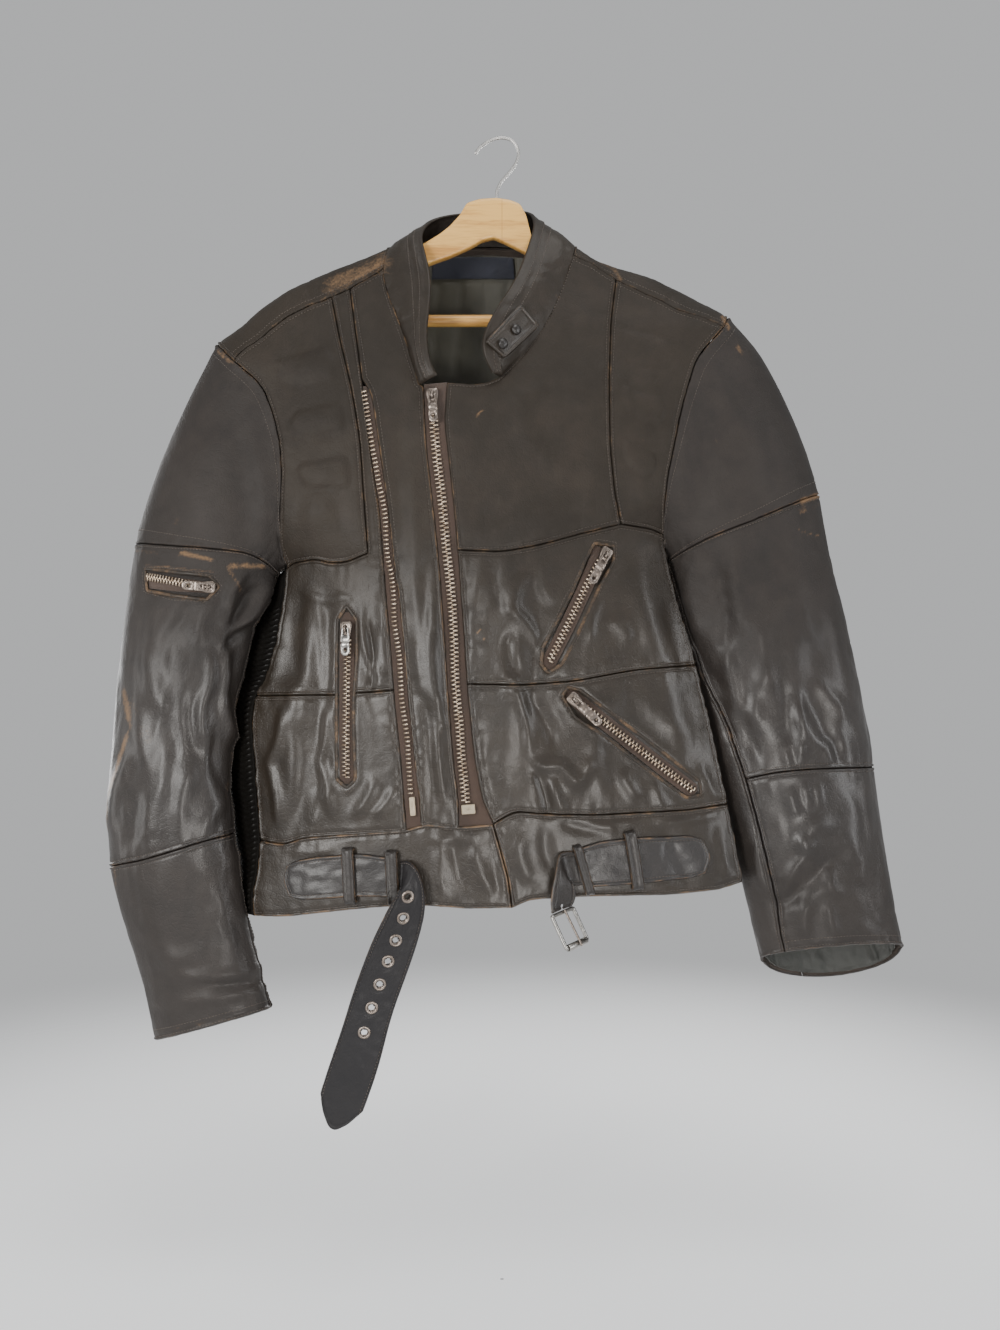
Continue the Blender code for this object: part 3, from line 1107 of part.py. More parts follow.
def build_sliders(skin):
    """Each zip slider is a tapered body with a bail, and its pull hangs from the bail on a hinge."""
    wide, long, high = SLIDER_SIZE
    for zip_name, (spot, way, reach) in SLIDERS.items():
        where, normal = skin.seen(*spot)
        ahead, _ = skin.seen(spot[0] + way[0] * 9, spot[1] + way[1] * 9)
        down = ahead - where
        down -= normal * np.dot(down, normal)
        down /= np.linalg.norm(down)
        right = np.cross(down, normal)
        base = where + normal * (ZIP_TAPE_OUT + TEETH_RISE + 0.4)
        outline = [(-wide / 2, -long / 2), (wide / 2, -long / 2), (wide / 2, -2), (wide * 0.36, long / 2),
                   (-wide * 0.36, long / 2), (-wide / 2, -2)]
        body = slab(f"{zip_name}_slider", "metal", outline, plane(base, right, down, normal), 0.0, high)
        bail_wide, bail_long, bail_high = BAIL_SIZE
        top = bail_high + BAIL_BAR
        end, leg, under = bail_long / 2, bail_long / 2 - 1.6, bail_high - 1.2
        arch = [(-end, -1.0), (-leg, -1.0), (-leg, under), (leg, under), (leg, -1.0), (end, -1.0),
                (end, top - 1.4), (end - 1.4, top), (-end + 1.4, top), (-end, top - 1.4)]
        bail = slab(f"{zip_name} bail", "metal", arch,
                    plane(base + normal * high, down, normal, right), -bail_wide / 2, bail_wide / 2)
        bail.hide_render = True
        bail.display_type = "WIRE"
        union = body.modifiers.new("bail", "BOOLEAN")
        union.operation = "UNION"
        union.object = bail
        axis = base + normal * (high + 1.1)
        hinge = pivot(f"{zip_name}_hinge", axis, right)
        half = PULL_WIDE / 2
        pull = [(-3.6, -0.8), (3.6, -0.8), (3.8, 4.0), (half, 8.0), (half, reach - 3), (half - 2.5, reach),
                (-half + 2.5, reach), (-half, reach - 3), (-half, 8.0), (-3.8, 4.0)]
        eye = [(-1.9, 0.9), (1.9, 0.9), (1.9, 6.2), (-1.9, 6.2)]
        hole = round_ring((0, reach - 6), 1.8, 8)
        slab(f"{zip_name}_pull", "metal", pull, plane(axis, right, down, normal), -PULL_THICK / 2 + 0.1,
             PULL_THICK / 2 - 0.1, holes=[eye, hole], parent=hinge)


def build_tab(skin):
    corners = np.array(TAB, float)

    def place(flat):
        found = [skin.seen(*(corners[0] * (1 - a) * (1 - b) + corners[1] * a * (1 - b)
                             + corners[2] * a * b + corners[3] * (1 - a) * b)) for a, b in flat]
        where = np.array([p for p, _ in found])
        normal = np.mean([n for _, n in found], axis=0)
        normal = np.broadcast_to(normal / np.linalg.norm(normal), where.shape)
        return where, normal

    steps = np.linspace(0, 1, 4)
    outline = [(s, 0) for s in steps[:-1]] + [(1, s) for s in steps[:-1]]
    outline += [(s, 1) for s in steps[:0:-1]] + [(0, s) for s in steps[:0:-1]]
    spots = [(a, b) for a in steps[1:-1] for b in steps[1:-1]]
    low = COLLAR_LEATHER / 2 + 1.2
    slab("collar_tab", "leather", outline, place, low, low + TAB_THICK, spots=spots)
    for name, spot in SNAPS.items():
        where, normal = skin.seen(*spot)
        right = np.cross(normal, [0, 0, 1.0])
        right /= np.linalg.norm(right)
        base = where + normal * (low + TAB_THICK + 1.4)
        slab(name, "metal", round_ring((0, 0), SNAP_ROUND / 2, 14),
             plane(base, right, np.cross(right, normal), normal), 0.0, SNAP_HIGH)


def build_belt(skin):
    """The belt's loose tail with its eyelet holes, the strap that carries the buckle, and the loops."""
    rows = np.array([[*a, ya, *b, yb] for a, b, ya, yb in TAIL], float)
    surface = skin.seen(*TAIL_ROOT)[0][1]
    left = world(rows[:, 0], rows[:, 1], rows[:, 2] + surface)
    right = world(rows[:, 3], rows[:, 4], rows[:, 5] + surface)
    count = len(rows) - 1
    tip = world(*TAIL_TIP, TAIL_TIP_DEPTH + surface)

    def place(flat):
        a, s = flat[:, 0], flat[:, 1]
        l, r = (along_line(side, s, at=np.arange(count + 1)) for side in (left, right))
        points = l + (r - l) * a[:, None]
        points[s > count + 0.5] = tip
        ahead = np.minimum(s + 0.3, count)
        behind = np.maximum(ahead - 0.6, 0)
        mid, at = (left + right) / 2, np.arange(count + 1)
        down = along_line(mid, ahead, at=at) - along_line(mid, behind, at=at)
        normal = np.cross(down, r - l)
        normal /= np.linalg.norm(normal, axis=1, keepdims=True)
        return points, normal

    steps = np.arange(count + 1)
    outline = [(0.0, s) for s in steps] + [(0.45, count + 1.0)] + [(1.0, s) for s in steps[::-1]]
    sheet_mid = (rows[:, :2] + rows[:, 3:5]) / 2
    holes = []
    for spot in EYELETS:
        _, i, t = nearest_on(sheet_mid, np.array(spot, float))
        s = i + t
        wide = np.linalg.norm(along_line(right, s, at=steps) - along_line(left, s, at=steps))
        long = np.linalg.norm(along_line(left, min(s + 0.5, count), at=steps)
                              - along_line(left, max(min(s + 0.5, count) - 1, 0), at=steps))
        radius = EYELET_HOLE / 2
        turn = np.arange(EYELET_SIDES) / EYELET_SIDES * 2 * np.pi
        holes.append([(0.5 + radius / wide * np.cos(t), s + radius / long * np.sin(t)) for t in turn])
    slab("belt_tail", "leather", outline, place, -BELT_THICK / 2, BELT_THICK / 2, holes=holes)

    for name, (top, foot, wide) in LOOPS.items():
        top, foot = np.array(top, float), np.array(foot, float)
        found = [skin.seen(*(top + (foot - top) * t)) for t in np.linspace(0, 1, 5)]
        where = np.array([p for p, _ in found])
        normal = np.mean([n for _, n in found], axis=0)
        normal /= np.linalg.norm(normal)
        down = where[-1] - where[0]
        down /= np.linalg.norm(down)
        side = np.cross(down, normal)
        side /= np.linalg.norm(side)
        low = LEATHER / 2 + OVER_GAP + BELT_THICK + 1.8
        reach = np.dot(where - where[0], down)
        bump = np.dot(where - where[0], normal).max()
        long = reach[-1]
        profile = [(0, 0.8), (3, 0.8), (3, low), (long - 3, low), (long - 3, 0.8), (long, 0.8),
                   (long, low + LOOP_THICK - 1), (long - 2, low + LOOP_THICK), (2, low + LOOP_THICK),
                   (0, low + LOOP_THICK - 1)]
        profile = [(a, b + LEATHER / 2 + (bump if b > 1 else 0)) for a, b in profile]
        slab(name, "leather", profile, plane(where[0], down, normal, side), -wide / 2, wide / 2)


def build_buckle(skin):
    """The strap end that turns down to the buckle, the frame, the roller on its far side and the prong."""
    a, b, c, d = (world(*p) for p in BUCKLE)
    bar = (b - a) / np.linalg.norm(b - a)
    down = (d - a) - bar * np.dot(d - a, bar)
    long = np.linalg.norm(down)
    down /= long
    normal = np.cross(bar, down)
    normal = -normal if normal[1] > 0 else normal
    wide = np.linalg.norm(b - a)
    hinge = pivot("buckle_axis", a, bar)
    half = BUCKLE_WIRE / 2
    ring = [(-half, -half), (wide + half, -half), (wide + half, long + half), (-half, long + half)]
    hole = [(half, half), (wide - half, half), (wide - half, long - half), (half, long - half)]
    slab("buckle_frame", "metal", ring, plane(a, bar, down, normal), -half, half, holes=[hole], parent=hinge)

    far = a + down * long + bar * (half + 0.6)
    roller = pivot("roller_axis", far, bar)
    outer, inner = round_ring((0, 0), ROLLER_ROUND / 2, 14), round_ring((0, 0), ROLLER_HOLE / 2, 14)
    slab("buckle_roller", "metal", outer, plane(far, down, normal, bar), 0.0, wide - 2 * half - 1.2,
         holes=[inner], parent=roller)

    side = PRONG_THICK / 2
    swept = half * np.sqrt(2) + SWEPT_GAP
    start = swept + side
    end = ROLLER_ROUND / 2 + side + 0.5
    profile = [(-half, start - side), (3, start - side), (long, end - side), (long + 3, end - side),
               (long + 3, end + side), (long, end + side), (3, start + side), (-half, start + side)]
    middle = a + bar * wide / 2
    slab("buckle_prong", "metal", profile, plane(middle, down, normal, bar), -side, side, parent=hinge)

    rows = np.array([[*p, q, *r, t] for p, q, r, t in BUCKLE_STRAP], float)
    surface = np.mean([skin.seen(*p)[0][1] for p in (rows[0, :2], rows[0, 3:5])])
    left = world(rows[:, 0], rows[:, 1], rows[:, 2] + surface)
    right = world(rows[:, 3], rows[:, 4], rows[:, 5] + surface)
    stop = down * swept
    left[-1], right[-1] = a + bar * 2 - stop, b - bar * 2 - stop
    fold = strip("buckle strap", left, right, BUCKLE_STRAP_THICK, PRONG_SLOT)
    fold.hide_render = True
    fold.display_type = "WIRE"
    union = bpy.data.objects["belt_strap_left"].modifiers.new("turned end", "BOOLEAN")
    union.operation = "UNION"
    union.object = fold


def strip(name, left, right, thick, slot):
    """A band between two edge lines, each with the same number of points, with a slot in its end."""
    count = len(left) - 1
    steps = np.arange(count + 1)

    def place(flat):
        l, r = (along_line(side, flat[:, 1], at=steps) for side in (left, right))
        mid = (left + right) / 2
        ahead = np.minimum(flat[:, 1] + 0.3, count)
        behind = np.maximum(ahead - 0.6, 0)
        down = along_line(mid, ahead, at=steps) - along_line(mid, behind, at=steps)
        normal = np.cross(down, r - l)
        return l + (r - l) * flat[:, :1], normal / np.linalg.norm(normal, axis=1, keepdims=True)

    low, high, depth = slot
    notch = [(low, count), (low, count - depth), (high, count - depth), (high, count)]
    outline = [(0.0, s) for s in steps] + notch + [(1.0, s) for s in steps[::-1]]
    return slab(name, "leather", outline, place, -thick / 2, thick / 2)


def build_lining(skin):
    def behind(off):
        def place(flat):
            points = on_back(flat)
            near = on_back(flat + np.array([4.0, 0.0])) - points
            low = on_back(flat + np.array([0.0, 4.0])) - points
            normal = np.cross(low, near)
            normal /= np.linalg.norm(normal, axis=1, keepdims=True)
            normal = np.where(normal[:, 1:2] > 0, -normal, normal)
            return points + normal * off, normal
        return place

    def dotted(outline, step):
        low, high = np.min(outline, axis=0), np.max(outline, axis=0)
        grid = [(u, v) for u in np.arange(low[0] + step / 2, high[0], step)
                for v in np.arange(low[1] + step / 2, high[1], step)]
        grid = np.array(grid)
        return [tuple(p) for p in grid[inside_ring(grid, np.array(outline, float))]]

    slab("back_lining", "lining", LINING_OUTLINE, behind(LINING_BACK), 0.0, LINING,
         spots=dotted(LINING_OUTLINE, 30))
    slab("neck_label", "label", LABEL_OUTLINE, behind(LINING_BACK + LINING + 1.4), 0.0, LABEL_THICK,
         spots=[(455, 270), (485, 270)])


def build_cuff_lining(tube):
    """A short tube of lining inside the left cuff."""
    surface, rounds, high = tube
    rounds = rounds[:-1]
    rows = [high - 2, high - 30, high - 60]
    rings = []
    for row in rows:
        ring = surface(np.stack([rounds, np.full(len(rounds), row)], -1))
        rings.append(ring)
    rings = np.array(rings)
    centre = rings.mean(1, keepdims=True)
    inward = centre - rings
    inward /= np.linalg.norm(inward, axis=2, keepdims=True)
    outer, inner = rings + inward * CUFF_LINING_IN, rings + inward * (CUFF_LINING_IN + LINING)
    n, m = len(rounds), len(rows)
    points = np.concatenate([outer.reshape(-1, 3), inner.reshape(-1, 3)])
    faces = []
    for r in range(m - 1):
        for i in range(n):
            j = (i + 1) % n
            a, b, c, d = r * n + i, r * n + j, (r + 1) * n + j, (r + 1) * n + i
            o = n * m
            faces += [(a, b, c), (a, c, d), (a + o, c + o, b + o), (a + o, d + o, c + o)]
    for i in range(n):
        j = (i + 1) % n
        o, e = n * m, (m - 1) * n
        faces += [(i, i + o, j + o), (i, j + o, j), (e + i, e + j, e + j + o), (e + i, e + j + o, e + i + o)]
    points = np.array(points)
    faces = np.array(faces)
    corners = points[faces]
    volume = np.einsum("ij,ij->i", corners[:, 0], np.cross(corners[:, 1], corners[:, 2])).sum()
    make_object("cuff_lining_left", points, faces[:, ::-1] if volume < 0 else faces, "lining")


def tube_curve(name, points, radius, kind, sides=3):
    curve = bpy.data.curves.new(name, "CURVE")
    curve.dimensions = "3D"
    curve.bevel_depth = radius * MM
    curve.bevel_resolution = sides
    curve.use_fill_caps = True
    spline = curve.splines.new("POLY")
    spline.points.add(len(points) - 1)
    for target, p in zip(spline.points, points):
        target.co = (*(np.asarray(p) * MM), 1)
    curve.materials.append(material(kind))
    obj = bpy.data.objects.new(name, curve)
    bpy.context.scene.collection.objects.link(obj)
    return obj


def rounded_path(points, step):
    """A smooth curve through points: each stretch is a cubic whose slopes follow its neighbours."""
    points = np.asarray(points, float)
    padded = np.vstack([2 * points[0] - points[1], points, 2 * points[-1] - points[-2]])
    path = []
    for p0, p1, p2, p3 in zip(padded, padded[1:], padded[2:], padded[3:]):
        for t in np.arange(0, 1, step):
            path.append(0.5 * (2 * p1 + (p2 - p0) * t + (2 * p0 - 5 * p1 + 4 * p2 - p3) * t**2
                               + (3 * p1 - p0 - 3 * p2 + p3) * t**3))
    return np.array(path + [points[-1]])


def build_hanger():
    x_right, y_back, z_up = np.eye(3)
    outline = world(*np.array(WOOD, float).T, 0.0)[:, [0, 2]]
    slab("hanger_wood", "wood", [tuple(p) for p in outline], plane(np.zeros(3), x_right, z_up, -y_back),
         -HANGER_THICK / 2, HANGER_THICK / 2)
    ends = [world(u, BAR_HEIGHT, 0.0) for u in BAR_ENDS]
    tube_curve("trouser_bar", ends, TROUSER_BAR / 2, "wood")
    hook = rounded_path(HOOK, 0.5)
    tube_curve("hanger_hook", world(hook[:, 0], hook[:, 1], 0.0), HOOK_WIRE / 2, "metal", 2)


def main():
    for obj in list(bpy.data.objects):
        bpy.data.objects.remove(obj, do_unlink=True)
    skin, tube_l = build_skin()
    build_panels(skin)
    build_sliders(skin)
    build_tab(skin)
    build_belt(skin)
    build_buckle(skin)
    build_lining(skin)
    build_cuff_lining(tube_l)
    build_hanger()


if __name__ == "__main__":
    main()
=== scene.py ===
"""The looks of a worn leather motorcycle jacket on a wooden hanger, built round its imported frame.

Outlines are drawn in millimetres on a sheet that hangs in the plane of the hanger, u to the right and v
down, seen from in front. A point that stands nearer to the viewer or further away keeps its line of sight.
Left and right in the names are the wearer's. Every surface is a grid of two flat coordinates that a formula
carries into space, in millimetres until the meshes are made.
"""

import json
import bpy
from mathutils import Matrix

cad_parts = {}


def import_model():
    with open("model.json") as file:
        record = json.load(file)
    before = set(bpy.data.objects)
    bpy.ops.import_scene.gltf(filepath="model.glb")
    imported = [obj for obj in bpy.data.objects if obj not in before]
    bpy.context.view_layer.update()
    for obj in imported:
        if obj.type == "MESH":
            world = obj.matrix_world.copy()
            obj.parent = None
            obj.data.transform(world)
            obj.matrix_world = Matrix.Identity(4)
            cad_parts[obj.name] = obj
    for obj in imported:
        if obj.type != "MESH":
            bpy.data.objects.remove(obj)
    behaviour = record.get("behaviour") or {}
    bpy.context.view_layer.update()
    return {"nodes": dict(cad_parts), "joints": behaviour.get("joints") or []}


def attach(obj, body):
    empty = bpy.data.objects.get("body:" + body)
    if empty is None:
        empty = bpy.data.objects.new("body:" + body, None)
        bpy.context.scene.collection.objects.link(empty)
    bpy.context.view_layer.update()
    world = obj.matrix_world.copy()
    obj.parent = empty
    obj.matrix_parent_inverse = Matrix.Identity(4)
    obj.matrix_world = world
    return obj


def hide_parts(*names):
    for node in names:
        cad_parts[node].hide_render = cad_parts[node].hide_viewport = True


bl_info = {
    "name": "Worn Leather Jacket",
    "version": (1, 0, 0),
    "blender": (4, 5, 0),
    "location": "3D View > Sidebar > Jacket",
    "description": "Builds the leather, lining, zips, belt and hanger of a worn motorcycle jacket",
    "category": "Add Mesh",
}

import bpy
import numpy as np
from mathutils import Vector

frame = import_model()

MM = 0.001
VIEW_DISTANCE = 1300.0
SHEET_HOOK = np.array([502.0, 139.0])
SHEET_CENTRE = np.array([500.0, 665.0])
SHEET_HIGH = 1330.0

LEATHER = 2.0
LINING = 1.0
PAD_RISE = 4.5
RIB_RISE = 2.6
RIB_PITCH = 5.8
RIBS_START = 50.0
BELT_THICK = 3.0
OVER_GAP = 0.35
HOOK_WIRE = 3.3
TROUSER_BAR = 12.0
HANGER_THICK = 12.0

# The front, drawn on the sheet. Lines run from the top down or from left to right.
SHOULDER_SEAM_R = [(234, 361), (240, 352), (260, 340), (280, 322), (300, 310), (320, 302), (332, 298),
                   (350, 289), (370, 278), (384, 269)]
SHOULDER_SEAM_L = [(573, 255), (595, 266), (615, 280), (635, 290), (660, 301), (680, 312), (700, 317),
                   (724, 327)]
ARMHOLE_R = [(234, 361), (245, 370), (256, 379), (264, 389), (272, 410), (280, 440), (282, 475), (281, 500),
             (280, 525), (281, 550), (288, 563)]
ARMHOLE_L = [(724, 327), (715, 337), (705, 347), (695, 362), (688, 385), (680, 415), (672, 455), (667, 480),
             (664, 505), (663, 530), (664, 547)]
SIDE_R = [(288, 563), (285, 600), (280, 640), (270, 676), (256, 695), (252, 720), (255, 755), (257, 790),
          (261, 840)]
SIDE_L = [(664, 547), (668, 570), (678, 605), (690, 645), (700, 685), (709, 720), (719, 765), (727, 804)]
BAND_SIDE_R = [(261, 840), (258, 872), (253, 895), (254, 916)]
BAND_SIDE_L = [(727, 804), (734, 840), (742, 882)]
HEM_R = [(254, 916), (285, 917), (330, 912), (380, 907), (430, 906), (467, 909), (512, 908)]
HEM_L = [(512, 908), (530, 900), (580, 897), (620, 896), (671, 895), (719, 890), (742, 882)]
NECK_R = [(420, 385), (416, 370), (411, 355), (405, 335), (397, 315), (390, 297), (386, 285), (384, 269)]
NECK_L = [(500, 377), (520, 357), (540, 332), (555, 305), (567, 275), (573, 255)]
FLAP_TOP = [(420, 385), (447, 382), (470, 384), (485, 383), (500, 377)]
SEAM_A = [(332, 298), (340, 340), (352, 390), (360, 440), (364, 500), (368, 553)]
SEAM_B = [(350, 289), (356, 335), (362, 380)]
OPEN_ZIP_LEFT = [(362, 380), (372, 460), (380, 510), (385, 577), (391, 647), (395, 702), (401, 757),
                 (407, 832)]
OPEN_ZIP_RIGHT = [(362, 380), (371, 392), (380, 455), (388, 510), (393, 560), (399, 600), (404, 650),
                  (408, 702), (413, 750), (419, 800), (421, 827)]
MAIN_ZIP_LEFT = [(424, 384), (426, 440), (435, 520), (440, 570), (445, 640), (449, 702), (454, 765),
                 (459, 802), (459, 830)]
MAIN_ZIP_RIGHT = [(447, 382), (444, 420), (454, 510), (459, 570), (464, 640), (467, 690), (474, 755),
                  (482, 800), (493, 824)]
FLAP_FOOT = [(493, 824), (499, 845), (508, 878), (512, 908)]
CHEST_SEAM_R = [(256, 696), (300, 695), (338, 695)]
CHEST_SEAM_L = [(458, 550), (502, 552), (540, 545), (580, 534), (621, 524)]
MID_SEAM_L = [(467, 684), (525, 685), (577, 681), (637, 670), (698, 665)]
PANEL_SEAM_L = [(616, 280), (611, 320), (609, 380), (610, 445), (615, 495), (621, 524)]
PANEL_FOOT_L = [(621, 524), (652, 529), (664, 535)]
BAND_TOP_R = [(261, 840), (285, 845), (302, 838), (352, 835), (407, 832), (425, 826), (459, 830), (493, 828)]
BAND_TOP_L = [(493, 824), (515, 811), (545, 814), (600, 815), (650, 812), (687, 810), (727, 804)]

SIDE_ZIP_WINDOW = [(347, 606), (357, 620), (357, 660), (354, 700), (354, 740), (356, 779), (347, 788),
                   (337, 779), (337, 740), (337, 700), (337, 660), (338, 620)]
CHEST_ZIP_WINDOW = [(594, 543), (614, 546), (613, 562), (600, 585), (577, 635), (562, 664), (548, 673),
                    (541, 664), (543, 647), (572, 592), (585, 560)]
LOWER_ZIP_WINDOW = [(562, 696), (568, 687), (580, 690), (620, 720), (660, 750), (699, 781), (701, 795),
                    (686, 798), (650, 772), (610, 740), (575, 717)]
SLEEVE_ZIP_WINDOW = [(146, 569), (180, 573), (210, 576), (219, 587), (207, 600), (175, 596), (148, 591)]

PADS = {
    "shoulder_panel_right": [
        [(275, 360), (300, 352), (329, 347), (337, 360), (336, 378), (300, 386), (282, 382)],
        [(296, 410), (340, 401), (346, 416), (345, 432), (307, 440), (293, 434), (287, 422)],
        [(301, 462), (347, 455), (352, 472), (350, 489), (310, 490), (299, 482), (295, 470)],
    ],
    "shoulder_panel_left": [
        [(624, 329), (650, 334), (670, 341), (678, 352), (666, 370), (640, 366), (624, 361)],
        [(622, 381), (637, 391), (663, 397), (668, 411), (661, 427), (641, 422), (622, 407)],
        [(622, 436), (640, 445), (656, 453), (658, 468), (650, 480), (636, 473), (622, 459)],
    ],
}

# Depth of the front: where v is, how far the edges stand forward, and how much more the middle does.
FRONT_DEPTH = np.array([
    (250, 10, 0), (270, 14, 3), (300, 19, 8), (340, 23, 16), (380, 33, 18), (420, 42, 16), (480, 47, 12),
    (520, 41, 19), (545, 27, 33), (563, 15, 44), (600, 13, 46), (700, 13, 45), (800, 15, 41), (920, 19, 36),
])
BACK_DEPTH = np.array([
    (250, 12, 28), (270, 16, 26), (300, 20, 22), (340, 22, 22), (380, 28, 18), (420, 32, 14), (480, 33, 13),
    (520, 30, 14), (545, 25, 17), (563, 21, 19), (600, 24, 18), (700, 28, 16), (800, 28, 16), (920, 26, 16),
])
BULGE_POWER = 0.75

ARMHOLE_BACK_R = [(232, 357), (250, 376), (264, 402), (273, 440), (277, 480), (280, 520), (284, 548),
                  (288, 565)]
ARMHOLE_BACK_L = [(725, 323), (709, 343), (696, 370), (686, 400), (678, 440), (671, 480), (667, 520),
                  (664, 549)]
SHOULDER_BACK_R = [(232, 357), (260, 336), (300, 306), (340, 288), (370, 272), (396, 254)]
SHOULDER_BACK_L = [(725, 323), (700, 318), (660, 300), (620, 283), (590, 267), (568, 254)]
NECK_BACK = [(396, 254), (425, 250), (455, 248), (485, 247), (515, 248), (545, 250), (568, 254)]
SIDE_BACK_R = [(288, 565), (279, 600), (268, 640), (254, 676), (243, 705), (237, 740), (239, 790),
               (244, 835)]
SIDE_BACK_L = [(664, 549), (657, 572), (657, 605), (665, 645), (675, 685), (687, 725), (697, 765),
               (705, 800)]
BAND_BACK_R = [(244, 835), (249, 870), (253, 900)]
BAND_BACK_L = [(705, 800), (712, 840), (718, 888)]
BAND_TOP_BACK = [(244, 835), (330, 826), (420, 821), (500, 819), (600, 812), (705, 800)]
HEM_BACK = [(253, 900), (330, 896), (420, 895), (500, 895), (600, 893), (718, 888)]

RIDGE_R = [(218, 345), (240, 330), (260, 311), (280, 297), (300, 286), (330, 273), (360, 262), (390, 249)]
RIDGE_L = [(727, 319), (720, 314), (700, 304), (680, 293), (645, 277), (612, 268), (595, 262), (574, 247)]
YOKE_WIDE = 60.0

# A sleeve's stations, from shoulder to cuff: outer edge, inner edge, depth of the axis, half its depth.
SLEEVE_R = [
    ((218, 345), (289, 564), -4, 46), ((203, 374), (286, 567), -2, 46), ((180, 420), (281, 570), -1, 49),
    ((158, 470), (277, 575), 0, 51), ((143, 515), (273, 583), -1, 50), ((133, 560), (265, 598), -2, 49),
    ((127, 610), (254, 620), -3, 47), ((118, 685), (242, 685), -6, 44), ((112, 760), (227, 757), -8, 42),
    ((108, 830), (232, 825), -9, 40), ((114, 890), (240, 880), -10, 38), ((133, 945), (250, 935), -11, 35),
    ((149, 997), (262, 980), -12, 32), ((156, 1040), (270, 1008), -12, 30),
]
SLEEVE_L = [
    ((727, 319), (664, 548), -4, 46), ((757, 348), (665, 551), 0, 46), ((786, 402), (666, 555), 5, 49),
    ((807, 455), (667, 560), 10, 50), ((820, 500), (669, 570), 13, 49), ((826, 550), (674, 590), 15, 48),
    ((840, 600), (681, 620), 16, 46), ((856, 670), (694, 672), 16, 44), ((868, 735), (709, 733), 15, 42),
    ((876, 790), (721, 788), 14, 41), ((883, 850), (735, 848), 13, 39), ((893, 905), (748, 903), 12, 36),
    ((902, 946), (762, 958), 11, 33),
]
SLEEVE_ROUND = 400.0
STATION_STEP = 46.0
# How far the armhole bows towards the body off a straight line, at each turn from the armpit up.
RING_BOW_R = [(0, 0), (0.08, -2), (0.17, 8), (0.25, 26), (0.31, 32), (0.36, 30), (0.42, 11), (0.5, 0)]
RING_BOW_L = [(0, 0), (0.09, -6), (0.14, -12), (0.18, -16), (0.25, -19), (0.32, -21), (0.36, -20), (0.4, -9),
              (0.5, 0)]
RING_FADE = 3.0
RING_BLEND = 2.2
BACK_SEAM_TURN = 0.8
CUFF_BOW_FRONT_L = -5.0
CUFF_BOW_BACK_L = 24.0

CAP_SEAM_R = [(136, 545), (155, 545), (180, 547), (210, 549), (230, 551), (250, 554), (266, 563)]
FOREARM_SEAM_R = [(114, 866), (140, 861), (170, 852), (200, 842), (220, 837), (238, 832)]
CAP_SEAM_L = [(819, 495), (797, 502), (773, 512), (750, 522), (720, 533), (700, 542), (682, 552)]
FOREARM_SEAM_L = [(872, 767), (840, 768), (813, 769), (787, 771), (767, 774), (749, 779)]
FRONT_SEAM_L = [(702, 676), (720, 707), (740, 760), (753, 803), (767, 860), (775, 893), (781, 936)]

COLLAR = [
    ((420, 385), (437, 375), -62), ((416, 370), (431, 366), -63), ((411, 355), (427, 350), -61),
    ((405, 335), (426, 329), -56), ((397, 315), (429, 310), -51), ((390, 297), (431, 293), -45),
    ((386, 284), (431, 279), -38), ((384, 269), (428, 262), -30), ((386, 257), (424, 248), -19),
    ((390, 249), (421, 236), -8), ((396, 254), (424, 226), 7), ((410, 252), (432, 219), 18),
    ((430, 250), (446, 215), 27), ((455, 248), (464, 213), 34), ((485, 247), (489, 212), 36),
    ((515, 248), (512, 211), 33), ((545, 250), (527, 211), 25), ((568, 254), (533, 215), 13),
    ((574, 247), (534, 224), 2), ((573, 256), (532, 233), -7), ((570, 265), (528, 246), -17),
    ((567, 275), (523, 261), -27), ((561, 290), (515, 280), -38), ((555, 305), (505, 295), -47),
    ((547, 320), (495, 310), -55), ((540, 332), (487, 325), -61), ((530, 345), (482, 339), -66),
    ((520, 357), (483, 351), -67), ((510, 367), (487, 363), -65), ((500, 377), (493, 373), -60),
]
COLLAR_BOWED = 3.0

STRAP_R = [(284, 880), (287, 867), (296, 860), (320, 856), (360, 853), (398, 858), (396, 897), (360, 896),
           (330, 898), (303, 901), (290, 895)]
STRAP_L = [(710, 858), (704, 842), (690, 835), (637, 837), (600, 841), (574, 849), (584, 887), (641, 883),
           (690, 878), (706, 872)]

# The belt's tail: its two edges and how far each stands in front of the waistband, from where it comes out
# of its loop, still upright, through its twist and down to its point.
TAIL = [
    ((400.5, 894), (401.5, 861), -2.9, -2.9), ((404, 889), (409, 860), -9, -10),
    ((401, 892), (418, 868), -19, -17), ((391, 902), (425, 889), -24, -14),
    ((382, 921), (426, 911), -22, -11), ((372, 941), (418, 942), -19, -9),
    ((362, 967), (407, 974), -16, -8), ((352, 995), (397, 1000), -14, -7),
    ((344, 1022), (389, 1025), -13, -7), ((336, 1046), (382, 1055), -12, -7),
    ((327, 1071), (374, 1082), -11, -7), ((319, 1098), (362, 1114), -10, -7),
]
TAIL_ROOT = (396, 877)
EYELETS = [(411, 897), (404, 918), (396, 940), (388, 961), (379, 984), (370, 1007), (361, 1031)]

# Turned forms as radius and height: an eyelet, a snap's cap.
EYELET = [(3.3, -2.2), (6.0, -2.2), (6.2, -1.7), (6.0, -1.3), (3.6, -1.2), (3.3, 0.0), (3.6, 1.5),
          (5.0, 2.1), (6.0, 1.7), (6.3, 1.3), (6.0, 1.0), (3.2, 0.9), (3.0, 0.0), (3.0, -1.4)]
SNAP_CAP = [(0.1, 1.6), (1.6, 1.5), (3.1, 1.2), (4.2, 0.55), (4.9, -0.2), (5.0, -1.2)]

